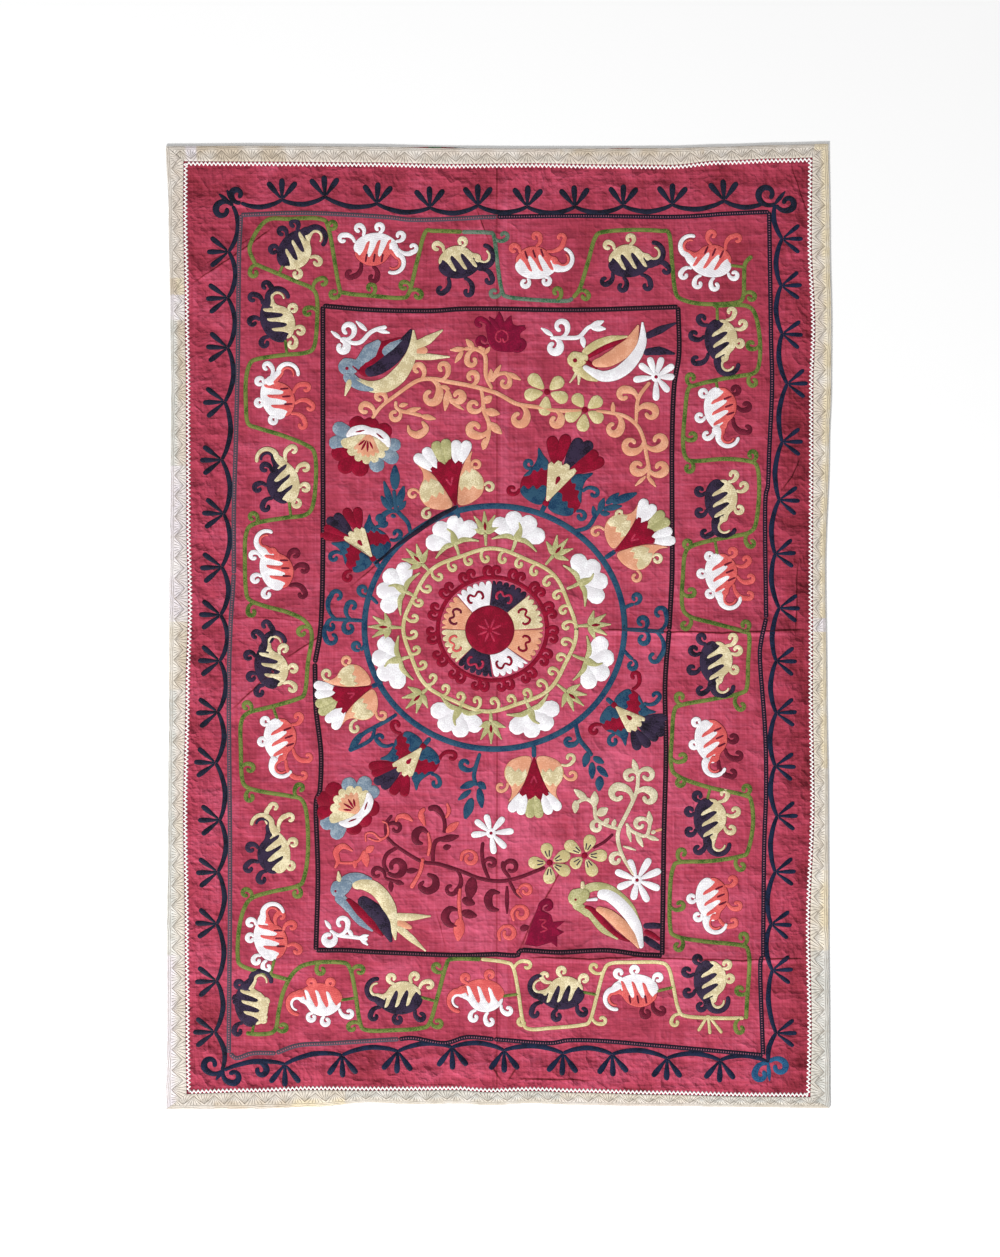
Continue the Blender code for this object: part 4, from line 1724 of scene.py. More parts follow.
PIECINGS = {
    "top": (
        Piecing(186, Cotton.GREY, Cotton.GREY),
        Piecing(197, Cotton.LAVENDER, Cotton.LAVENDER),
        Piecing(286, Cotton.TAN, Cotton.TAN),
        Piecing(420, Cotton.GREY, Cotton.BEIGE),
        Piecing(560, Cotton.BEIGE, Cotton.GREY),
        Piecing(704, Cotton.TAN, Cotton.BEIGE),
        Piecing(814, Cotton.GREY, Cotton.GREY),
        Piecing(840, Cotton.YELLOW, Cotton.GREY),
    ),
    "bottom": (
        Piecing(214, Cotton.GREY, Cotton.GREY),
        Piecing(292, Cotton.TAN, Cotton.GREY),
        Piecing(345, Cotton.YELLOW, Cotton.CREAM),
        Piecing(560, Cotton.CREAM, Cotton.CHALK),
        Piecing(700, Cotton.BEIGE, Cotton.CREAM),
        Piecing(840, Cotton.CREAM, Cotton.CHALK),
    ),
    "left": (
        Piecing(278, Cotton.GREY, Cotton.BEIGE),
        Piecing(295, Cotton.TAN, Cotton.YELLOW),
        Piecing(320, Cotton.LAVENDER, Cotton.LAVENDER),
        Piecing(400, Cotton.CHALK, Cotton.TAN),
        Piecing(466, Cotton.CHALK, Cotton.BEIGE),
        Piecing(622, Cotton.LAVENDER, Cotton.LAVENDER),
        Piecing(690, Cotton.CREAM, Cotton.TAN),
        Piecing(820, Cotton.CHALK, Cotton.BEIGE),
        Piecing(955, Cotton.CHALK, Cotton.CREAM),
        Piecing(1120, Cotton.LAVENDER, Cotton.GREY),
    ),
    "right": (
        Piecing(250, Cotton.YELLOW, Cotton.GREY),
        Piecing(520, Cotton.YELLOW, Cotton.BEIGE),
        Piecing(618, Cotton.YELLOW, Cotton.GREY),
        Piecing(632, Cotton.LAVENDER, Cotton.LAVENDER),
        Piecing(768, Cotton.YELLOW, Cotton.CREAM),
        Piecing(870, Cotton.CREAM, Cotton.GREY),
        Piecing(950, Cotton.YELLOW, Cotton.CREAM),
        Piecing(1120, Cotton.CHALK, Cotton.CHALK),
    ),
}


@dataclass
class Border:
    """The quilted border: four mitred strips."""

    cell: float = 0.0034
    columns: int = 12
    pitch: float = 0.051
    outer_turn: float = 0.0135
    inner_turn: float = 0.0370
    puff: float = 0.0009

    THICK = 0.0018
    EDGE_RISE = 0.0008
    EDGE_ROUND = 0.006
    PUFF_REACH = 0.0035
    RIM_ROUND = 0.004
    RUN_START = 2.0145
    PIECE_SEAM = 0.014
    PIECE_FADE = 0.014

    def make(self, material: bpy.types.Material) -> list[bpy.types.Object]:
        """Builds the four strips."""
        return [self.make_strip(side, material) for side in SIDES]

    def make_strip(self, side: "Side", material: bpy.types.Material) -> bpy.types.Object:
        """Builds one strip.

        Args:
            side: the side of the cloth.
            material: what the piece is made of.

        Returns:
            The strip.
        """
        half_run, half_across = side.half_sizes()
        mesh = slab(self.columns, round(2 * half_run / self.cell))
        unit = places_of(mesh)
        inset = BORDER_WIDTH * (1.0 + unit[:, 0]) / 2
        run = unit[:, 1] * (half_run - inset - side.trim)
        x, y = side.on_cloth(run, half_across - inset)
        wave = self.pitch / 2 - np.abs(np.mod(run, self.pitch) - self.pitch / 2)
        zigzag = self.outer_turn + wave * 2 * (self.inner_turn - self.outer_turn) / self.pitch
        away = np.abs(inset - zigzag)
        rise = self.EDGE_RISE * ease(inset / self.EDGE_ROUND)
        rise += self.puff * (1.0 - np.exp(-((away / self.PUFF_REACH) ** 2)))
        rise *= ease(np.minimum(inset, BORDER_WIDTH - inset) / self.RIM_ROUND) * 0.5 + 0.5
        z = np.where(unit[:, 2] > -0.5, CLOTH_BASE + self.THICK + rise, CLOTH_BASE)
        set_places(mesh, np.column_stack([x, y, z]))
        set_vectors(mesh, "lay", np.column_stack([run + self.RUN_START, inset, 0 * x]))
        set_vectors(mesh, "cotton", self.cottons(side, x, y, inset))
        mesh.name = f"border_{side.name}_quilted"
        obj = publish(mesh.name, mesh, material)
        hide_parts(f"border_{side.name}")
        return obj

    def cottons(self, side: "Side", x: np.ndarray, y: np.ndarray, inset: np.ndarray) -> np.ndarray:
        """The colour of the cotton at each point of a strip.

        Args:
            side: the side of the cloth.
            x: metres to the right on the even plan.
            y: metres up on the even plan.
            inset: how far in from the outer edge each point is, in metres.

        Returns:
            One colour a point.
        """
        squares = x / CHART_SQUARE + CHART_MIDDLE[0] if side.along_x else CHART_MIDDLE[
            1
        ] - y / CHART_SQUARE
        pieces = PIECINGS[side.name]
        which = np.searchsorted([piece.end for piece in pieces[:-1]], squares)
        outer = np.array([linear(*piece.outer.value)[:3] for piece in pieces])[which]
        inner = np.array([linear(*piece.inner.value)[:3] for piece in pieces])[which]
        share = ease((inset - self.PIECE_SEAM) / self.PIECE_FADE)[:, None]
        return outer * (1.0 - share) + inner * share


@dataclass
class Braid:
    """The white zigzag braid along the border's inner edge."""

    pitch: float = 0.0103
    sway: float = 0.0029
    half_width: float = 0.0029
    rows_per_turn: int = 8
    base: float = CLOTH_BASE + GROUND_THICK + LAYER_GAP
    thick: float = 0.0011

    SEAM_TO_MIDDLE = 0.0050
    COLUMN_PLACES = (-1.0, -0.45, 0.45, 1.0)
    COLUMN_RISE = (0.0, 1.0, 1.0, 0.0)
    SINK = 0.0002

    def make(self, material: bpy.types.Material) -> list[bpy.types.Object]:
        """Builds the four lengths."""
        return [self.make_length(side, material) for side in SIDES]

    def make_length(self, side: "Side", material: bpy.types.Material) -> bpy.types.Object:
        """Builds one length.

        Args:
            side: the side of the cloth.
            material: what the piece is made of.

        Returns:
            The length of braid.
        """
        half_run, half_across = side.half_sizes()
        centre = BORDER_WIDTH + SEAM_GAP + self.SEAM_TO_MIDDLE
        end = half_run - centre - side.trim
        turns = round(2 * end / self.pitch)
        surface = bmesh.new()
        bmesh.ops.create_grid(surface, x_segments=3, y_segments=turns * self.rows_per_turn, size=1.0)
        mesh = bpy.data.meshes.new(f"braid_{side.name}_zigzag")
        surface.to_mesh(mesh)
        surface.free()
        unit = places_of(mesh)
        run = unit[:, 1] * end
        column = np.rint((unit[:, 0] + 1.0) * 1.5).astype(int)
        offset = np.array(self.COLUMN_PLACES)[column] * self.half_width
        inset = centre + offset + self.sway * np.sin(math.pi * turns * (unit[:, 1] + 1.0))
        x, y = side.on_cloth(run, half_across - inset)
        z = self.base + np.array(self.COLUMN_RISE)[column] * self.thick - self.SINK
        set_places(mesh, np.column_stack([x, y, z]))
        set_vectors(mesh, "stitch", np.column_stack([run, offset, 0 * x]))
        mesh.shade_smooth()
        obj = publish(mesh.name, mesh, material)
        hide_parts(f"braid_{side.name}")
        return obj


class Side(NamedTuple):
    """One of the four sides of the cloth."""

    name: str
    along_x: bool
    sign: float
    trim: float

    def half_sizes(self) -> Point:
        """Half of the cloth's size along the side, and half of its size across it."""
        return (WIDTH / 2, LENGTH / 2) if self.along_x else (LENGTH / 2, WIDTH / 2)

    def on_cloth(self, run: np.ndarray, depth: np.ndarray) -> tuple[np.ndarray, np.ndarray]:
        """The real place of points at run along the side and depth from the middle.

        Args:
            run: metres along the side.
            depth: metres outward from the cloth's middle.

        Returns:
            The points, across and up.
        """
        if self.along_x:
            return CLOTH.on_cloth(run, self.sign * depth)
        return CLOTH.on_cloth(self.sign * depth, run)


MITRE_GAP = 0.0006
SIDES = (
    Side("top", True, 1.0, MITRE_GAP),
    Side("bottom", True, -1.0, MITRE_GAP),
    Side("left", False, -1.0, 0.0),
    Side("right", False, 1.0, 0.0),
)


class Peek(NamedTuple):
    """A stretch of the top edge where the lining shows past the border."""

    middle: float
    half_length: float
    depth: float


@dataclass
class Lining:
    """The striped backing, seen a little past the top edge."""

    step: float = 0.012
    inset: float = 0.0012
    peeks: tuple[Peek, ...] = (Peek(-0.150, 0.130, 0.0045), Peek(0.310, 0.080, 0.0028))

    def make(self, material: bpy.types.Material) -> bpy.types.Object:
        """Builds the lining.

        Args:
            material: what the piece is made of.

        Returns:
            The lining.
        """
        half_w, half_l = WIDTH / 2, LENGTH / 2
        xs = np.linspace(-half_w, half_w, round(WIDTH / self.step) + 1)
        ys = np.linspace(-half_l, half_l, round(LENGTH / self.step) + 1)
        rim = [(x, -half_l) for x in xs[:-1]] + [(half_w, y) for y in ys[:-1]]
        rim += [(x, half_l) for x in xs[:0:-1]] + [(-half_w, y) for y in ys[:0:-1]]
        rim = np.array(rim)
        x, y = CLOTH.on_cloth(rim[:, 0], rim[:, 1])
        x -= np.where(np.abs(rim[:, 0]) == half_w, np.sign(rim[:, 0]) * self.inset, 0.0)
        shown = np.max(
            [p.depth * (1 - ease(np.abs(rim[:, 0] - p.middle) / p.half_length)) for p in self.peeks],
            axis=0
        )
        y -= np.where(
            rim[:, 1] == half_l, self.inset - shown, np.where(rim[:, 1] == -half_l, -self.inset, 0.0)
        )
        surface = bmesh.new()
        circle = bmesh.ops.create_circle(surface, cap_ends=True, segments=len(rim), radius=1.0)
        for vertex, place in zip(circle["verts"], zip(x, y)):
            vertex.co = (*place, 0.0)
        walls = bmesh.ops.extrude_face_region(surface, geom=surface.faces[:])
        raised = [item for item in walls["geom"] if isinstance(item, bmesh.types.BMVert)]
        bmesh.ops.translate(surface, verts=raised, vec=(0.0, 0.0, LINING_THICK))
        bmesh.ops.recalc_face_normals(surface, faces=surface.faces[:])
        mesh = bpy.data.meshes.new("lining_striped")
        surface.to_mesh(mesh)
        surface.free()
        obj = publish(mesh.name, mesh, material)
        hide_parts("lining")
        return obj


LINING_STRIPES = (
    (-0.832, (20, 18, 26)),
    (-0.824, (120, 28, 34)),
    (-0.246, (214, 150, 92)),
    (-0.218, (150, 28, 36)),
    (-0.176, (70, 110, 70)),
    (-0.145, (128, 26, 34)),
    (-0.112, (22, 18, 24)),
    (-0.082, (128, 142, 120)),
    (-0.038, (150, 30, 38)),
    (0.824, (20, 18, 26)),
)


class Knot(NamedTuple):
    """A corner of the outer vine: curls (start, middle, radius, turn) and spikes."""

    silk: Silk
    curls: tuple[tuple[float, float, float, float, float, float], ...]
    spikes: tuple[tuple[float, float, float, float], ...]

    def sew(self, pen: Pen) -> None:
        """Sews the curls and the spikes.

        Args:
            pen: what the silk is sewn with.
        """
        for x0, y0, x, y, radius, turn in self.curls:
            pen.curl(self.silk, (x0, y0), (x, y), radius, turn, 3.8, swell=0.35)
        for x0, y0, x1, y1 in self.spikes:
            pen.leaf(self.silk, (x0, y0), (x1, y1), 4.0)


@dataclass
class ScallopVine:
    """The outer vine: scalloped arcs, with three club leaves at each joint."""

    sag: float = 7.2
    leaf_length: float = 20.0

    TOP = (
        (282, 200), (325, 197), (377, 204), (430, 208), (478, 206), (527, 207), (575, 207),
        (623, 206), (672, 205), (724, 201),
    )
    LEFT = (
        (229, 252), (228, 298), (228, 348), (225, 402), (222, 460), (224, 514), (222, 567),
        (221, 615), (220, 661), (218, 712), (216, 763), (220, 820), (218, 872), (217, 924),
        (217, 981), (215, 1032),
    )
    RIGHT = (
        (782, 239), (781, 286), (782, 334), (787, 384), (782, 442), (779, 500), (775, 554),
        (779, 608), (776, 661), (776, 713), (775, 766), (777, 816), (775, 872), (771, 924),
        (772, 970), (776, 1033),
    )
    BOTTOM = (
        (285, 1064), (342, 1055), (398, 1051), (452, 1047), (504, 1050), (563, 1053),
        (612, 1054), (667, 1058), (720, 1060),
    )

    KNOTS = (
        Knot(
            Silk.MIDNIGHT, ((233, 206, 222.7, 210, 8.6, 1), (241, 203, 237, 194.6, 6.6, -1)),
            ((230, 203, 219, 194), (233, 203, 227, 190))
        ),
        Knot(
            Silk.MIDNIGHT, ((775, 204, 766.7, 194.7, 10.0, -1), (776, 205, 787.7, 203.5, 7.8, 1)),
            ((774, 205, 785, 191.6),)
        ),
        Knot(
            Silk.DEEP_BLUE, ((222, 1071, 210.7, 1064.4, 8.2, -1), (223, 1070, 233.3, 1076.4, 7.8, 1)),
            ((224, 1068, 216, 1080),)
        ),
        Knot(Silk.DEEP_BLUE, ((253, 1063, 261, 1070, 6.8, -1),), ()),
        Knot(
            Silk.BRIGHT_BLUE, ((769, 1062, 779.2, 1066.6, 8.0, -1), (768, 1063, 760.6, 1074.2, 7.2, 1)),
            ((768, 1062, 769.5, 1081),)
        ),
    )

    def sew(self, pen: Pen) -> None:
        """Sews the four sides and the corner knots.

        Args:
            pen: what the silk is sewn with.
        """
        self.sew_side(pen, Silk.MIDNIGHT, self.TOP, 90.0, (241, 203), (764, 203), 1.08, 1.12, 0.88)
        self.sew_side(pen, Silk.MIDNIGHT, self.LEFT, 180.0, (233, 206), (222, 1070), 1.10)
        self.sew_side(pen, Silk.DEEP_BLUE, self.RIGHT, 0.0, (775, 205), (769, 1063), 1.04, 0.82, 0.78)
        self.sew_side(
            pen, Silk.DEEP_BLUE, self.BOTTOM, 270.0, (224, 1070), (768, 1062), 1.12, 1.10, 0.80
        )
        for knot in self.KNOTS:
            knot.sew(pen)

    def sew_side(
        self, pen: Pen, silk: Silk, joints: Sequence[Point], outward: float, first: Point, last: Point,
        reach: float = 1.0, girth: float = 1.0, dip: float = 1.0,
    ) -> None:
        """Sews the arcs and leaves of one side.

        Args:
            pen: what sews it.
            silk: its silk.
            joints: where its arcs meet.
            outward: the heading out of the cloth.
            first: where the first arc starts, at the corner knot.
            last: where the last arc ends.
            reach: how long its leaves are, against the usual length.
            girth: how wide its leaves are, against the usual width.
            dip: how deep its arcs are, against the usual depth.
        """
        out = Frame(0.0, 0.0, outward)
        inward = np.array(out.at(-1.0, 0.0))
        stops = [first, *joints, last]
        for k, (here, after) in enumerate(zip(stops, stops[1:])):
            run = np.subtract(after, here)
            sag = self.sag * dip * min(1.0, math.hypot(*run) / 46.0)
            points = [
                tuple(np.add(here, run * t) + inward * sag * depth)
                for t, depth in ((0.2, 0.62), (0.5, 1.0), (0.8, 0.62))
            ]
            pen.line(silk, (here, *points, after), 3.0, 4.2, 4.8, 4.2, 3.0)
        for k, joint in enumerate(joints):
            for turn, length in ((-38.0, 1.06), (0.0, 1.0), (38.0, 1.06)):
                lean = turn + 3.0 * math.sin(2.3 * k + turn)
                tip = Frame(*joint, outward + lean).at(self.leaf_length * length * reach, 0.0)
                base = Frame(*joint, outward + lean).at(2.0 if turn else 0.5, 0.0)
                pen.line(silk, (base, tip), *(girth * part for part in (1.5, 2.6, 4.2, 5.0, 3.8)))


@dataclass
class ChainLines:
    """The two narrow chains that frame the panels."""

    outer_width: float = 4.0
    inner_width: float = 4.5

    OUTER = (
        (Chain.GREY_BLUE, ((241, 215), (306, 213), (384, 217), (418, 220), (497, 217))),
        (Chain.NAVY_DOTTED, ((497, 217), (579, 216), (675, 217), (724, 214), (769, 212))),
        (
            Chain.NAVY_DOTTED,
            (
                (769, 212), (770, 273), (771, 342), (772, 387), (769, 454), (768, 485), (765, 507),
                (766, 618)
            )
        ),
        (
            Chain.NAVY_DOTTED,
            ((766, 618), (761, 641), (760, 663), (765, 730), (766, 790), (764, 852), (763, 957))
        ),
        (Chain.NAVY_DOTTED, ((763, 957), (760, 967), (763, 1055))),
        (
            Chain.NAVY_DOTTED,
            ((763, 1055), (697, 1049), (651, 1045), (605, 1041), (570, 1040), (547, 1043), (494, 1039))
        ),
        (Chain.NAVY_DOTTED, ((494, 1039), (467, 1037), (444, 1043), (414, 1038), (399, 1039))),
        (Chain.GREY_BLUE, ((399, 1039), (380, 1040), (334, 1043), (299, 1045), (276, 1053))),
        (Chain.GREY_BLUE, ((276, 1053), (253, 1053), (237, 1058), (230, 1053))),
        (
            Chain.GREY_BLUE,
            ((229, 1053), (229, 1035), (230, 921), (230, 829), (229, 708), (230, 641), (234, 574))
        ),
        (Chain.GREY_BLUE, ((234, 574), (234, 507), (236, 442), (238, 353), (239, 264), (241, 215))),
    )
    INNER = (
        (
            Chain.BROWN_DOTTED,
            ((323, 306), (373, 310), (429, 311), (462, 309), (500, 309), (579, 310), (678, 307))
        ),
        (
            Chain.BROWN_DOTTED,
            ((678, 307), (679, 353), (674, 387), (672, 442), (672, 507), (672, 574), (669, 630))
        ),
        (Chain.BROWN_DOTTED, ((669, 630), (665, 685), (666, 752), (664, 829), (663, 898), (662, 955))),
        (
            Chain.BROWN_DOTTED,
            ((662, 955), (639, 954), (605, 950), (559, 952), (522, 950), (517, 955), (494, 954))
        ),
        (Chain.BROWN_DOTTED, ((500, 954), (453, 955), (380, 952), (345, 950), (316, 950))),
        (
            Chain.BROWN_DOTTED,
            ((316, 950), (318, 875), (316, 806), (320, 790), (321, 752), (316, 708), (315, 663))
        ),
        (Chain.BROWN_DOTTED, ((315, 663), (321, 625), (323, 552), (323, 440), (323, 353), (323, 306))),
    )

    def sew(self, pen: Pen) -> None:
        """Sews both chains.

        Args:
            pen: what the silk is sewn with.
        """
        for lines, width in ((self.OUTER, self.outer_width), (self.INNER, self.inner_width)):
            for chain, points in lines:
                pen.line(chain, points, width, step=3.0)


@dataclass
class Meander:
    """The green vine that winds through the panel of buds, with its curls."""

    width: float = 3.7

    STUB_REACH = 17.0
    STEMS = (
        (
            Silk.GREEN,
            (
                (255, 264), (250, 246), (266, 221), (290, 219), (320, 219), (329, 230), (339, 286),
                (345, 293), (373, 296), (400, 298), (409, 293), (417, 262), (425, 233), (434, 231),
                (462, 232)
            )
        ),
        (
            Silk.BLUE_GREEN,
            (
                (462, 232), (488, 233), (494, 237), (498, 268), (502, 291), (508, 297), (535, 300),
                (566, 301), (573, 298)
            )
        ),
        (
            Silk.GREEN,
            (
                (573, 298), (580, 288), (588, 262), (595, 238), (604, 232), (633, 230), (660, 231),
                (669, 234), (672, 262), (675, 290), (681, 299), (702, 304), (735, 303), (743, 297),
                (744, 280), (745, 264), (752, 256)
            )
        ),
        (
            Silk.GREEN,
            (
                (713, 306), (735, 305), (749, 307), (756, 317), (760, 342), (759, 364), (754, 373),
                (740, 376), (722, 379), (696, 385), (688, 390), (685, 412), (683, 442), (686, 458),
                (696, 461), (724, 459), (748, 461), (757, 467), (759, 491), (756, 522), (750, 532),
                (735, 536), (713, 540), (692, 546), (685, 554), (683, 574), (682, 604), (689, 616),
                (713, 623), (742, 631), (749, 636), (748, 663), (747, 686), (741, 693), (713, 699),
                (681, 705), (674, 712), (672, 735), (671, 764), (678, 776), (708, 787), (744, 795),
                (751, 801), (753, 824), (748, 850), (741, 856), (710, 861), (680, 862), (673, 868),
                (670, 889), (670, 926), (676, 936), (703, 941), (741, 945), (748, 951), (749, 970),
                (747, 1000), (746, 1019)
            )
        ),
        (
            Silk.OLIVE_CREAM,
            (
                (744, 1018), (720, 1018), (686, 1016), (678, 1008), (673, 985), (668, 967), (658, 962),
                (630, 962), (611, 963), (604, 970), (597, 995), (590, 1020), (581, 1025), (550, 1028),
                (530, 1029), (523, 1022), (518, 990), (513, 967), (505, 962), (481, 959)
            )
        ),
        (
            Silk.GREEN,
            (
                (481, 959), (452, 959), (446, 966), (438, 995), (430, 1022), (421, 1028), (395, 1030),
                (367, 1030), (360, 1022), (355, 990), (350, 968), (341, 962), (311, 963), (295, 971),
                (284, 990), (279, 1010), (275, 1030), (262, 1034), (246, 1033)
            )
        ),
        (
            Silk.GREEN,
            (
                (290, 980), (265, 973), (243, 966), (238, 957), (239, 930), (244, 909), (252, 898),
                (270, 892), (297, 886), (304, 878), (308, 852), (307, 817), (302, 800), (290, 796),
                (265, 792), (247, 787), (242, 777), (241, 750), (241, 724), (248, 713), (270, 707),
                (297, 699), (305, 692), (308, 663), (312, 636), (306, 622), (290, 613), (265, 606),
                (250, 600), (246, 590), (245, 560), (246, 535), (254, 524), (284, 518), (305, 515),
                (313, 505), (316, 478), (315, 455), (308, 446), (284, 436), (258, 428), (248, 423),
                (246, 405), (246, 380), (250, 364), (258, 359), (284, 355), (305, 353), (314, 347),
                (317, 325), (317, 298), (311, 288), (295, 281), (255, 264)
            )
        ),
    )
    CURLS = (
        (332, 225), (254, 273), (323, 282), (308, 312), (334, 294), (371, 288), (404, 286), (418, 295),
        (557, 292), (585, 296), (751, 297), (751, 345), (691, 378), (753, 382), (692, 436), (752, 455),
        (689, 468), (688, 544), (751, 543), (691, 592), (685, 625), (745, 625), (680, 697), (741, 706),
        (682, 757), (680, 782), (746, 789), (682, 853), (741, 866), (680, 905), (678, 946), (743, 937),
        (740, 990), (740, 1029), (437, 967), (438, 1023), (352, 1027), (360, 970), (321, 970),
        (283, 1027),
        (297, 893), (246, 893), (250, 797), (300, 788), (250, 768), (253, 517), (252, 612), (302, 632),
        (247, 706),
    )
    SIDE_CURLS = (
        (Silk.BLUE_GREEN, 504, 236), (Silk.BLUE_GREEN, 494, 293), (Silk.OLIVE_CREAM, 675, 1022),
        (Silk.OLIVE_CREAM, 602, 1020), (Silk.OLIVE_CREAM, 522, 1022), (Silk.OLIVE_CREAM, 527, 965),
        (Silk.OLIVE_CREAM, 594, 967),
    )

    def sew(self, pen: Pen) -> None:
        """Sews the vine and everything that grows from it.

        Args:
            pen: what the silk is sewn with.
        """
        stems = [pen.line(silk, points, self.width) for silk, points in self.STEMS]
        self.whole = np.vstack(stems)
        for x, y in self.CURLS:
            pen.sprout(Silk.GREEN, self.whole, x, y, 4.7, 3.3)
        for silk, x, y in self.SIDE_CURLS:
            pen.sprout(silk, self.whole, x, y, 4.6, 3.2)
        for tip in ((698, 1031), (710, 1034), (722, 1033)):
            pen.line(Silk.OLIVE_CREAM, ((708, 1015), tip), 2.6, 3.0, 3.4)

    def sew_stub(self, pen: Pen, base: Point) -> None:
        """Sews a short stalk from the vine to the base of a bud, where they are close.

        Args:
            pen: what the silk is sewn with.
            base: the bud's base on the chart.
        """
        away = np.hypot(*(self.whole - base).T)
        near = int(np.argmin(away))
        if away[near] < self.STUB_REACH:
            pen.line(Silk.GREEN, (tuple(self.whole[near]), base), 2.4, 2.6)


class Bud(NamedTuple):
    """One paisley bud of the panels, in two silks that lock together like fingers."""

    x: float
    y: float
    heading: float
    outer: Silk
    inner: Silk
    side: float
    ring: Point
    outer_curls: tuple[Point, ...]
    inner_curls: tuple[Point, ...]


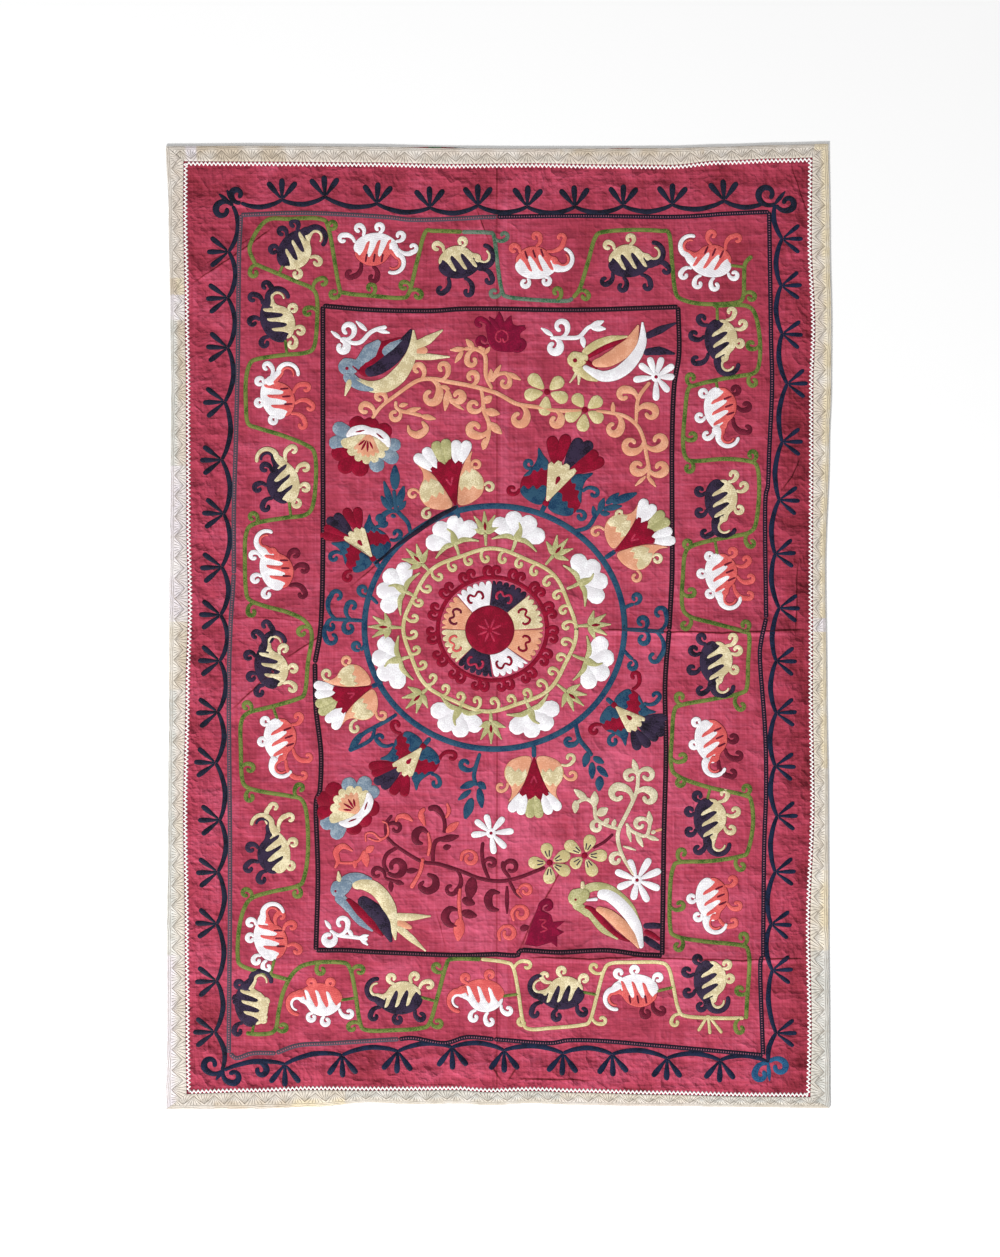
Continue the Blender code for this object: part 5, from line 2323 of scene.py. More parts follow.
@dataclass
class BudPanel:
    """The ring of paisley buds between the two chains."""

    BUDS = (
        Bud(
            297, 250, 48, Silk.NAVY, Silk.CREAM, 1, (315, 237), ((282, 232), (294, 224), (274, 250)),
            ((317, 262), (297, 274))
        ),
        Bud(
            376, 250, 0, Silk.WHITE, Silk.CORAL, 1, (394, 262),
            ((343, 239), (359, 229), (379, 228), (400, 236), (413, 248)), ((350, 274), (373, 278))
        ),
        Bud(
            460, 261, 15, Silk.NAVY, Silk.CREAM, -1, (483, 257), ((441, 290), (468, 292), (489, 280)),
            ((437, 247), (462, 242))
        ),
        Bud(
            537, 262, 8, Silk.WHITE, Silk.CORAL, -1, (562, 260), ((525, 283), (546, 281)),
            ((536, 237), (561, 238), (514, 249))
        ),
        Bud(
            630, 260, 12, Silk.NAVY, Silk.CREAM, -1, (653, 254),
            ((605, 281), (622, 287), (647, 286), (666, 270)), ((608, 246), (630, 239))
        ),
        Bud(
            710, 260, 165, Silk.WHITE, Silk.CORAL, 1, (690, 247),
            ((684, 275), (698, 284), (715, 286), (734, 275)), ((712, 235), (737, 239))
        ),
        Bud(
            278, 320, 110, Silk.NAVY, Silk.CREAM, 1, (277, 299),
            ((266, 286), (253, 298), (253, 322), (265, 343)), ((293, 309), (300, 331), (292, 344))
        ),
        Bud(
            278, 397, 105, Silk.WHITE, Silk.CORAL, 1, (287, 374),
            ((267, 367), (260, 382), (260, 403), (274, 420)), ((310, 407), (302, 425), (306, 388))
        ),
        Bud(
            282, 482, 110, Silk.CREAM, Silk.NAVY, -1, (268, 459),
            ((293, 450), (305, 468), (305, 488), (296, 503)), ((265, 468), (258, 488), (266, 507))
        ),
        Bud(
            277, 568, 100, Silk.WHITE, Silk.CORAL, 1, (266, 542), ((254, 556), (256, 579), (267, 594)),
            ((295, 554), (304, 569), (302, 594))
        ),
        Bud(
            272, 666, 100, Silk.NAVY, Silk.CREAM, 1, (274, 643),
            ((266, 625), (256, 635), (249, 656), (252, 677), (260, 692)),
            ((284, 649), (293, 669), (292, 688))
        ),
        Bud(
            281, 740, 280, Silk.WHITE, Silk.CORAL, -1, (281, 766), ((266, 721), (263, 741)),
            ((298, 717), (308, 757), (303, 775))
        ),
        Bud(
            273, 852, 105, Silk.CREAM, Silk.NAVY, -1, (263, 825),
            ((274, 807), (290, 818), (293, 843), (290, 866)), ((251, 848), (249, 868), (262, 879))
        ),
        Bud(
            271, 938, 100, Silk.WHITE, Silk.CORAL, 1, (272, 914),
            ((251, 923), (251, 938), (257, 960), (267, 967)), ((281, 916), (292, 926), (297, 950))
        ),
        Bud(
            252, 1004, 95, Silk.NAVY, Silk.CREAM, 1, (260, 981), ((239, 985), (236, 1000), (238, 1031)),
            ((266, 1003), (264, 1019))
        ),
        Bud(
            320, 1000, 180, Silk.CORAL, Silk.WHITE, -1, (298, 1003), ((312, 983), (331, 983)),
            ((312, 1017), (326, 1021), (349, 1013))
        ),
        Bud(
            400, 997, 180, Silk.NAVY, Silk.CREAM, 1, (377, 990),
            ((374, 1016), (398, 1019), (421, 1016)), ((392, 978), (415, 977), (429, 985))
        ),
        Bud(
            482, 996, 180, Silk.CORAL, Silk.WHITE, -1, (459, 1000), ((466, 978), (490, 975)),
            ((474, 1017), (490, 1021), (508, 1010))
        ),
        Bud(
            562, 992, 180, Silk.NAVY, Silk.CREAM, 1, (540, 987),
            ((535, 1013), (557, 1016), (583, 1011)), ((545, 976), (562, 971), (584, 979))
        ),
        Bud(
            636, 991, 180, Silk.WHITE, Silk.CORAL, -1, (615, 998), ((619, 973), (635, 970), (658, 978)),
            ((646, 1013), (661, 1010))
        ),
        Bud(
            722, 341, 283, Silk.NAVY, Silk.CREAM, -1, (727, 364), ((702, 319), (694, 335), (696, 360)),
            ((731, 312), (742, 324), (739, 343))
        ),
        Bud(
            721, 409, 280, Silk.WHITE, Silk.CORAL, -1, (727, 436), ((704, 393), (700, 417), (707, 435)),
            ((735, 390), (746, 406), (747, 429))
        ),
        Bud(
            722, 501, 280, Silk.NAVY, Silk.CREAM, -1, (724, 526), ((700, 491), (700, 512), (705, 533)),
            ((733, 475), (743, 486), (739, 509))
        ),
        Bud(
            722, 575, 283, Silk.WHITE, Silk.CORAL, -1, (729, 598), ((710, 556), (702, 573), (710, 593)),
            ((732, 552), (746, 560), (750, 578), (749, 595))
        ),
        Bud(
            717, 663, 280, Silk.NAVY, Silk.CREAM, -1, (722, 686),
            ((702, 638), (694, 650), (692, 669), (701, 690)), ((732, 638), (737, 650), (734, 669))
        ),
        Bud(
            712, 741, 285, Silk.WHITE, Silk.CORAL, -1, (714, 765), ((694, 744), (697, 722)),
            ((733, 738), (738, 755), (732, 773))
        ),
        Bud(
            711, 820, 280, Silk.NAVY, Silk.CREAM, -1, (718, 844),
            ((698, 796), (690, 811), (690, 831), (698, 849)), ((724, 794), (735, 811), (731, 829))
        ),
        Bud(
            713, 899, 283, Silk.WHITE, Silk.CORAL, -1, (715, 922), ((692, 898), (698, 916)),
            ((732, 880), (737, 905), (733, 922))
        ),
        Bud(
            711, 982, 280, Silk.NAVY, Silk.CREAM, -1, (717, 1001),
            ((698, 959), (687, 971), (688, 992), (701, 1006)), ((726, 964), (729, 978))
        ),
    )

    INNER_BACK = 22
    MAROON_CURLED = (1, 9, 19, 21, 25)
    OUTER_HALF = (
        (-22, 0), (-21, 7), (-15, 13), (-6, 16.5), (4, 17), (13, 14), (20, 8.5), (21, 2), (13, -4),
        (3, -8), (-6, -8), (-15, -7),
    )
    INNER_HALF = (
        (21, 3.5), (17.5, 5.5), (13, -1), (14.5, 5), (15.5, 10.5), (12, 9), (8.5, 1.5), (4, -6.5),
        (2, -4), (3.5, 3.5),
        (5, 10), (1.5, 8.5), (-2, 0.5), (-6.5, -7), (-8.5, -4), (-7, 3), (-6, 9), (-9.5, 7), (-12.5, 0),
        (-16.5, -5.5),
        (-18, -3.5), (-21, -2), (-19.5, -8), (-12, -14),
        (-4, -16), (4, -14.5), (10, -10.5), (14.5, -4.5), (20, -1.5),
    )

    def sew(self, pen: Pen, vine: Pen, meander: Meander) -> None:
        """Sews every bud, and the stalk that it hangs on.

        Args:
            pen: what sews the buds.
            vine: what sews the stalks.
            meander: the vine that they hang on.
        """
        for k, bud in enumerate(self.BUDS):
            own = Frame(bud.x, bud.y, bud.heading, 1.0, bud.side)
            meander.sew_stub(vine, own.at(-21, 0))
            self.sew_bud(pen, bud, own, k)

    def sew_bud(self, pen: Pen, bud: Bud, own: Frame, number: int) -> None:
        """Sews one bud: its halves with their fingers, its hooked tail and its curls.

        Args:
            pen: what the silk is sewn with.
            bud: the bud.
            own: the motif's own axes.
            number: the bud's number in the row.
        """
        curl_silk = Silk.MAROON if number in self.MAROON_CURLED else bud.inner
        for silk, curls, half in (
            (bud.outer, bud.outer_curls, self.OUTER_HALF[1:8]),
            (curl_silk, bud.inner_curls, self.INNER_HALF[self.INNER_BACK:]),
        ):
            edge = curve_through(own.path(*half), 1.5)
            for x, y in curls:
                pen.sprout(silk, edge, x, y, 4.5, 3.4, 0.0, 0.25)
        pen.blob(bud.outer, own.path(*self.OUTER_HALF), bud.heading + 40.0)
        pen.blob(bud.inner, own.path(*self.INNER_HALF), bud.heading - 40.0, 1.0)
        if bud.inner is Silk.CORAL:
            for forward in (-9.0, -1.0, 7.0):
                pen.line(
                    Silk.MAROON, own.path((forward, -4), (forward - 1.5, -12.5)), 1.8, 2.4, 1.6,
                    layer=2.0
                )
        for silk, start, radii, sweep, widths, layer in (
            (bud.inner, (15, 1), (5.4, 7.0), 200.0, (7.0, 4.2, 3.0, 2.4, 1.6), 0.5),
            (bud.outer, (15, 8), (8.8, 11.5), 185.0, (11.0, 6.4, 4.6, 4.0, 3.4), 1.0),
        ):
            self.sew_tail(pen, silk, bud, own.at(*start), radii, sweep, widths, layer)

    def sew_tail(
        self, pen: Pen, silk: Silk, bud: Bud, head: Point, radii: Point, sweep: float,
        widths: Sequence[float], layer: float
    ) -> None:
        """Sews one strand of the tail, hooked round its ring.

        Args:
            pen: what sews it.
            silk: its silk.
            bud: the bud that it belongs to.
            head: where it starts, in the bud.
            radii: how far from the ring's middle it starts and ends.
            sweep: how far round it goes, in degrees.
            widths: widths along it.
            layer: how many layers of silk lie under it.
        """
        away = np.subtract(head, bud.ring)
        first = math.atan2(-away[1], away[0]) - bud.side * math.radians(34.0)
        points = [head]
        for k in range(10):
            angle = first - bud.side * math.radians(sweep) * k / 9.0
            reach = radii[0] + (radii[1] - radii[0]) * k / 9.0
            points.append(
                (bud.ring[0] + reach * math.cos(angle), bud.ring[1] - reach * math.sin(angle))
            )
        pen.line(silk, points, *widths, layer=layer, step=1.5)


def on_ring(centre: Point, radius_x: float, radius_y: float, angle: float) -> Point:
    """The point of an upright ellipse at an angle, in degrees from the right."""
    turn = math.radians(angle)
    return (centre[0] + radius_x * math.cos(turn), centre[1] - radius_y * math.sin(turn))


@dataclass
class Medallion:
    """The round middle motif: a wheel, a garland of bolls and leaves, and a ring."""

    centre: Point = (492.5, 628.8)
    hub_centre: Point = (489.8, 630.0)
    hub: float = 24.0
    wheel_x: float = 51.0
    wheel_y: float = 48.2
    rim_x: float = 54.6
    rim_y: float = 51.6
    rim_curls: int = 30
    ring_centre: Point = (494.5, 627.5)
    ring_x: float = 130.0
    ring_y: float = 121.5
    garland_x: float = 85.0
    garland_y: float = 80.0

    SCALLOP = 4.2

    WEDGES = (
        (Silk.NAVY, Silk.ROSE), (Silk.CREAM, Silk.CRIMSON), (Silk.ORANGE, Silk.CRIMSON),
        (Silk.WHITE, Silk.CRIMSON), (Silk.NAVY, Silk.ROSE), (Silk.CREAM, Silk.CORAL),
        (Silk.ORANGE, Silk.MAROON), (Silk.WHITE, Silk.CRIMSON),
    )
    BOLLS = (
        (451, 534), (519, 529), (589, 578), (596, 663), (535, 719), (456, 719), (390, 663), (395, 587),
    )
    SPRIGS = (
        (485, 525), (559, 549), (597, 625), (573, 697), (491, 730), (416, 699), (382, 627), (416, 558),
    )

    # A painted fold shadow: a midnight silk line where a fold shades the teal ring at its upper left.
    FOLD_SHADOW_THREAD = ((375, 564), (397, 546), (419, 530), (438, 517), (457, 507))

    def sew(self, pen: Pen) -> None:
        """Sews the whole medallion.

        Args:
            pen: what the silk is sewn with.
        """
        self.sew_wheel(pen)
        self.sew_garland(pen)
        ring = [
            on_ring(self.ring_centre, self.ring_x, self.ring_y, angle) for angle in range(0, 360, 12)
        ]
        pen.line(Silk.TEAL, ring, 5.4, closed=True, step=3.0)
        # Painted fold shadow over the ring, sewn as a dark silk line.
        pen.line(Silk.MIDNIGHT, self.FOLD_SHADOW_THREAD, 1.5, 2.6, 4.0, 4.4, 3.0, layer=2.0)

    def sew_wheel(self, pen: Pen) -> None:
        """Sews the hub, its eight scalloped wedges and the rim of curls.

        Args:
            pen: what the silk is sewn with.
        """
        pen.disc(Silk.CRIMSON, self.hub_centre, self.hub)
        for k in range(8):
            own = Frame(*self.hub_centre, 22.5 + 45.0 * k)
            pen.leaf(Silk.ROSE, own.at(2.5, 0), own.at(12.5, 0), 2.6, 0.0, 1.0)
        for k, (silk, mark) in enumerate(self.WEDGES):
            first, last = 90.0 - 45.0 * k - 0.7, 90.0 - 45.0 * (k + 1) + 0.7
            arc = [
                on_ring(self.hub_centre, self.hub + 0.6, self.hub + 0.6, a)
                for a in np.linspace(first, last, 9)
            ]
            scallops = []
            for a in np.linspace(last, first, 34):
                swell = math.sqrt(abs(math.sin(math.pi * 5.5 * (a - last) / (first - last))))
                radii = (
                    size - self.SCALLOP + self.SCALLOP * swell for size in (self.wheel_x, self.wheel_y)
                )
                scallops.append(on_ring(self.centre, *radii, a))
            middle = 0.5 * (first + last)
            pen.patch(silk, arc + scallops, middle + 90.0)
            own = Frame(*on_ring(self.hub_centre, 37.5, 35.5, middle), middle)
            three = own.path(
                (-4, 4.6), (-3, 7.2), (1.5, 7.4), (4.0, 4.2), (1.0, 0.6), (4.0, -4.2), (1.5, -7.4),
                (-3, -7.2), (-4, -4.6)
            )
            pen.line(mark, three, 2.0, 2.6, 2.4, 1.8, 2.4, 2.6, 2.0, layer=1.5, step=1.2)
        stem = pen.line(
            Silk.CRIMSON, [self.on_rim(angle, 0.0) for angle in range(0, 360, 12)], 3.8, closed=True
        )
        for k in range(self.rim_curls):
            turn = 360.0 * k / self.rim_curls
            x, y = self.on_rim(turn + (2.0 if k % 2 else -2.0), 7.0)
            pen.sprout(Silk.CRIMSON, stem, x, y, 4.1, 3.3)
            if k % 2:
                pen.leaf(Silk.CRIMSON, self.on_rim(turn + 6.0, 0.0), self.on_rim(turn + 6.0, 9.0), 3.2)

    def on_rim(self, angle: float, out: float) -> Point:
        """A point of the wheel's crimson rim, or so far out from it."""
        return on_ring(self.centre, self.rim_x + out, self.rim_y + out, angle)

    def sew_garland(self, pen: Pen) -> None:
        """Sews the pale vine, its inner curls, its bolls and its leaf sprigs.

        Args:
            pen: what the silk is sewn with.
        """
        path = []
        for angle in range(0, 360, 9):
            swell = 1.6 * math.cos(math.radians(angle * 8.0 + 20.0))
            path.append(on_ring(self.hub_centre, self.garland_x + swell, self.garland_y + swell, angle))
        stem = pen.line(Silk.OLIVE_CREAM, path, 4.0, closed=True)
        for k in range(28):
            x, y = on_ring(
                self.hub_centre, self.garland_x - 8.4, self.garland_y - 8.4, 360.0 / 28 * k + 3.0
            )
            pen.sprout(Silk.OLIVE_CREAM, stem, x, y, 4.1, 3.0)
        for x, y in self.BOLLS:
            self.sew_boll(pen, Frame(x, y, self.outward(x, y)))
        for x, y in self.SPRIGS:
            self.sew_sprig(pen, Frame(x, y, self.outward(x, y)))

    def outward(self, x: float, y: float) -> float:
        """The heading from the medallion's middle to a point."""
        return math.degrees(math.atan2(self.hub_centre[1] - y, x - self.hub_centre[0]))

    def sew_boll(self, pen: Pen, own: Frame) -> None:
        """Sews one cotton boll with its calyx and stem.

        Args:
            pen: what the silk is sewn with.
            own: the motif's own axes.
        """
        pen.line(Silk.PALE_GREEN, own.path((-25, 1), (-18, 0), (-11, 0)), 2.8, 3.2, 4.4)
        for tip, width in (((2, 27), 17.5), ((2, -27), 17.5), ((16, 11), 18.5), ((16, -11), 18.5)):
            pen.leaf(Silk.WHITE, own.at(-9, tip[1] * 0.10), own.at(*tip), width, 0.0, 0.0, True)
        pen.disc(Silk.WHITE, own.at(1, 0), 9.0, 0.2)
        for side in (1.0, -1.0):
            sepal = own.path((-11, 0.5 * side), (-9.5, 8 * side), (-12, 15 * side), (-17, 23.5 * side))
            pen.line(Silk.PALE_GREEN, sepal, 3.0, 6.0, 5.0, 3.0, 1.3, layer=1.0)
        pen.line(
            Silk.PALE_GREEN, own.path((-13, 0), (-6, -1), (1, -1.5), (6.5, 2)), 4.0, 8.5, 6.5, 3.0, 1.4,
            layer=1.5
        )

    def sew_sprig(self, pen: Pen, own: Frame) -> None:
        """Sews one sprig of five pointed leaves round a small red eye.

        Args:
            pen: what the silk is sewn with.
            own: the motif's own axes.
        """
        pen.line(Silk.PALE_GREEN, own.path((-21, 0), (-14, 0), (-8, 0)), 2.6, 3.0, 4.6)
        for heading, reach in ((0, 19), (36, 18), (-36, 18), (80, 15), (-80, 15)):
            tip = Frame(*own.at(-5, 0), own.heading + heading).at(reach, 0)
            pen.line(Silk.PALE_GREEN, (own.at(-7.5, 0), tip), 4.5, 6.8, 5.6, 3.4, 0.8, step=1.6)
        pen.leaf(Silk.CRIMSON, own.at(-5.5, 0), own.at(3.0, 0), 3.6, 0.0, 1.5)


class Spray(NamedTuple):
    """A scrolling stem with its curls and commas (x, y, radius) and its blades (ends, width)."""

    silk: Silk
    width: float
    stem: tuple[Point, ...]
    curls: tuple[tuple[float, float, float], ...] = ()
    blades: tuple[tuple[float, float, float, float, float], ...] = ()
    commas: tuple[tuple[float, float, float], ...] = ()

    def sew(self, pen: Pen, layer: float = 0.0) -> None:
        """Sews the stem, and then its curls, commas and blades.

        Args:
            pen: what the silk is sewn with.
            layer: how many layers of silk lie below.
        """
        spine = pen.line(
            self.silk, self.stem, 0.8 * self.width, self.width, self.width, 0.9 * self.width,
            layer=layer
        )
        for x, y, radius in self.curls:
            pen.sprout(self.silk, spine, x, y, radius - 1.6, 0.85 * self.width, layer, 0.35)
        for x, y, radius in self.commas:
            pen.sprout(self.silk, spine, x, y, radius - 2.2, self.width, layer, 0.8)
        for x0, y0, x1, y1, width in self.blades:
            pen.line(
                self.silk, ((x0, y0), (x1, y1)), *(width * part for part in BLADE), layer=layer,
                step=1.6
            )


BLADE = (0.4, 0.78, 1.0, 0.95, 0.62, 0.2)


@dataclass
class Tulip:
    """A tulip on the ring: two hooked petals, a red cone and a crown."""

    x: float
    y: float
    heading: float
    curls: tuple[Point, ...]
    scale: float = 1.0

    PETAL = (
        (2, 3), (0, 13), (5, 26), (13, 32), (21, 33), (28, 30.5), (35, 25.5), (43, 25), (51, 28.5),
        (45, 21), (38, 16), (28, 10), (15, 5.5),
    )
    BAND = (
        (11, 30), (16, 32.4), (24, 32), (31, 27.6), (34, 24), (30, 21), (34, 18), (31, 14), (28, 10.6),
        (20, 7.6), (14, 9), (18, 13), (13, 17), (17, 21), (12, 25),
    )
    CONE = (
        (0, 0), (20, 7), (36, 14), (43, 17), (45, 14), (42, 10), (48, 8.5), (48, 5), (44, 1), (48, -3),
        (48, -7), (43, -9), (45, -13), (42, -16.5), (36, -13), (20, -6.5),
    )
    CROWN = (
        (Silk.WHITE, 38, 11, 60, 29), (Silk.WHITE, 40, 9, 65, 17.5), (Silk.PALE_GREEN, 42, 2, 69, 6),
        (Silk.PALE_GREEN, 42, -2, 69, -5), (Silk.WHITE, 40, -9, 65.5, -15.5),
        (Silk.WHITE, 38, -11, 62, -27),
    )

    def sew(self, pen: Pen) -> None:
        """Sews the flower.

        Args:
            pen: what the silk is sewn with.
        """
        own = Frame(self.x, self.y, self.heading, self.scale)
        pen.line(Silk.TEAL, own.path((-12, 0), (2, 0)), 4.2)
        for side in (1.0, -1.0):
            petal, band = (
                own.path(*((a, b * side) for a, b in shape)) for shape in (self.PETAL, self.BAND)
            )
            edge = curve_through(petal[1:8], 1.5)
            for k, (x, y) in enumerate(self.curls):
                if side * (own.at(0, 1)[0] - self.x) * (x - self.x) + side * (
                    own.at(0, 1)[1] - self.y
                ) * (y - self.y) > 0:
                    pen.sprout(Silk.CREAM if k % 2 else Silk.ORANGE, edge, x, y, 5.0, 3.0)
            pen.blob(Silk.ORANGE, petal, self.heading + 30.0 * side)
            pen.patch(Silk.CREAM, band, self.heading - 30.0 * side, 1.0)
        for silk, *ends in self.CROWN:
            pen.leaf(silk, own.at(*ends[:2]), own.at(*ends[2:]), 11.5 * self.scale, 0.0, 1.0, True)
        pen.patch(Silk.CRIMSON, own.path(*self.CONE), self.heading, 2.0)
        for side in (1.0, -1.0):
            pen.line(Silk.ROSE, own.path((22, 0), (30, 3.4 * side)), 1.6, 2.2, layer=3.0)


@dataclass
class Carnation:
    """A carnation on the ring: lobed sides, a pale cone and a fan of petals."""

    x: float
    y: float
    heading: float
    side: float
    scale: float
    curls: tuple[tuple[Silk, float, float], ...]
    fan: Optional[Silk] = None

    LOBE = ((3, 3), (-2, 13), (1, 26), (9, 31), (18, 31), (28, 25), (35, 18), (36, 12), (20, 7))
    FOOT = (
        (1, 3), (-3, 10), (-1.5, 22), (3, 28.5), (9, 27.5), (7.5, 22), (13, 19), (11, 14), (17, 11),
        (16, 5.5),
    )
    HORN = (
        (17, 31.5), (25, 28.5), (32, 26.5), (40, 26.5), (49, 30), (44, 22), (41, 16), (35, 12.5),
        (31, 15), (32, 19), (26.5, 20.5), (27, 25), (21, 26),
    )
    CONE = (
        (2, 0), (38, 14.5), (42, 12.5), (41, 9), (46, 7), (46, 3), (43, 1), (47, -2), (46, -6),
        (42, -7.5), (46, -11), (44, -14.5), (39, -13.5),
    )
    PETALS = (
        (Silk.CRIMSON, 40, 8, 65.5, 23), (Silk.CRIMSON, 42, 5, 73.5, 10), (Silk.NAVY, 42, -2, 75.5, -4),
        (Silk.NAVY, 42, -5, 77, -15.5), (Silk.CRIMSON, 42, -8, 70.5, -25.5),
        (Silk.CRIMSON, 40, -11, 66, -34.5),
    )

    def sew(self, pen: Pen) -> None:
        """Sews the flower.

        Args:
            pen: what the silk is sewn with.
        """
        own = Frame(self.x, self.y, self.heading, self.scale, self.side)
        pen.line(Silk.TEAL, own.path((-12, 0), (3, 0)), 4.4)
        body = curve_through(
            own.path(
                (36, 25), (18, 31), (3, 29), (-2, 12), (0, 0), (-2, -12), (3, -29), (18, -31), (36, -25)
            ),
            1.5
        )
        for silk, x, y in self.curls:
            pen.sprout(silk, body, x, y, 4.8, 3.2)
        for silk, *ends in self.PETALS:
            pen.leaf(
                self.fan or silk, own.at(*ends[:2]), own.at(*ends[2:]), 11.5 * self.scale, 0.0, 0.4,
                True
            )
        for side in (1.0, -1.0):
            for silk, shape, layer in (
                (Silk.CRIMSON, self.LOBE, 0.0), (Silk.TEAL, self.FOOT, 1.0), (Silk.TEAL, self.HORN, 1.0)
            ):
                pen.blob(
                    silk, own.path(*((a, b * side) for a, b in shape)), self.heading + 40.0 * side,
                    layer
                )
        pen.patch(Silk.CREAM, own.path(*self.CONE), self.heading, 2.0)
        pen.leaf(Silk.CRIMSON, own.at(23, -1), own.at(32, -1), 4.8, 0.0, 3.0, True)
        pen.disc(Silk.CRIMSON, own.at(2, 0), 3.0, 2.4)


class Rosette(NamedTuple):
    """An open flower, petal by petal, from its middle to each tip."""

    silk: Silk
    centre: Point
    tips: tuple[Point, ...]
    width: float
    round_tips: bool = True

    def sew(self, pen: Pen, layer: float = 0.0) -> None:
        """Sews the petals.

        Args:
            pen: what the silk is sewn with.
            layer: how many layers of silk lie below.
        """
        for tip in self.tips:
            base = np.add(
                self.centre, np.subtract(tip, self.centre) * (0.18 if self.width > 8.0 else 0.08)
            )
            pen.leaf(self.silk, tuple(base), tip, self.width, 0.0, layer, self.round_tips)
        if self.width > 8.0:
            pen.disc(Silk.CRIMSON, self.centre, 2.8, layer + 1.0)


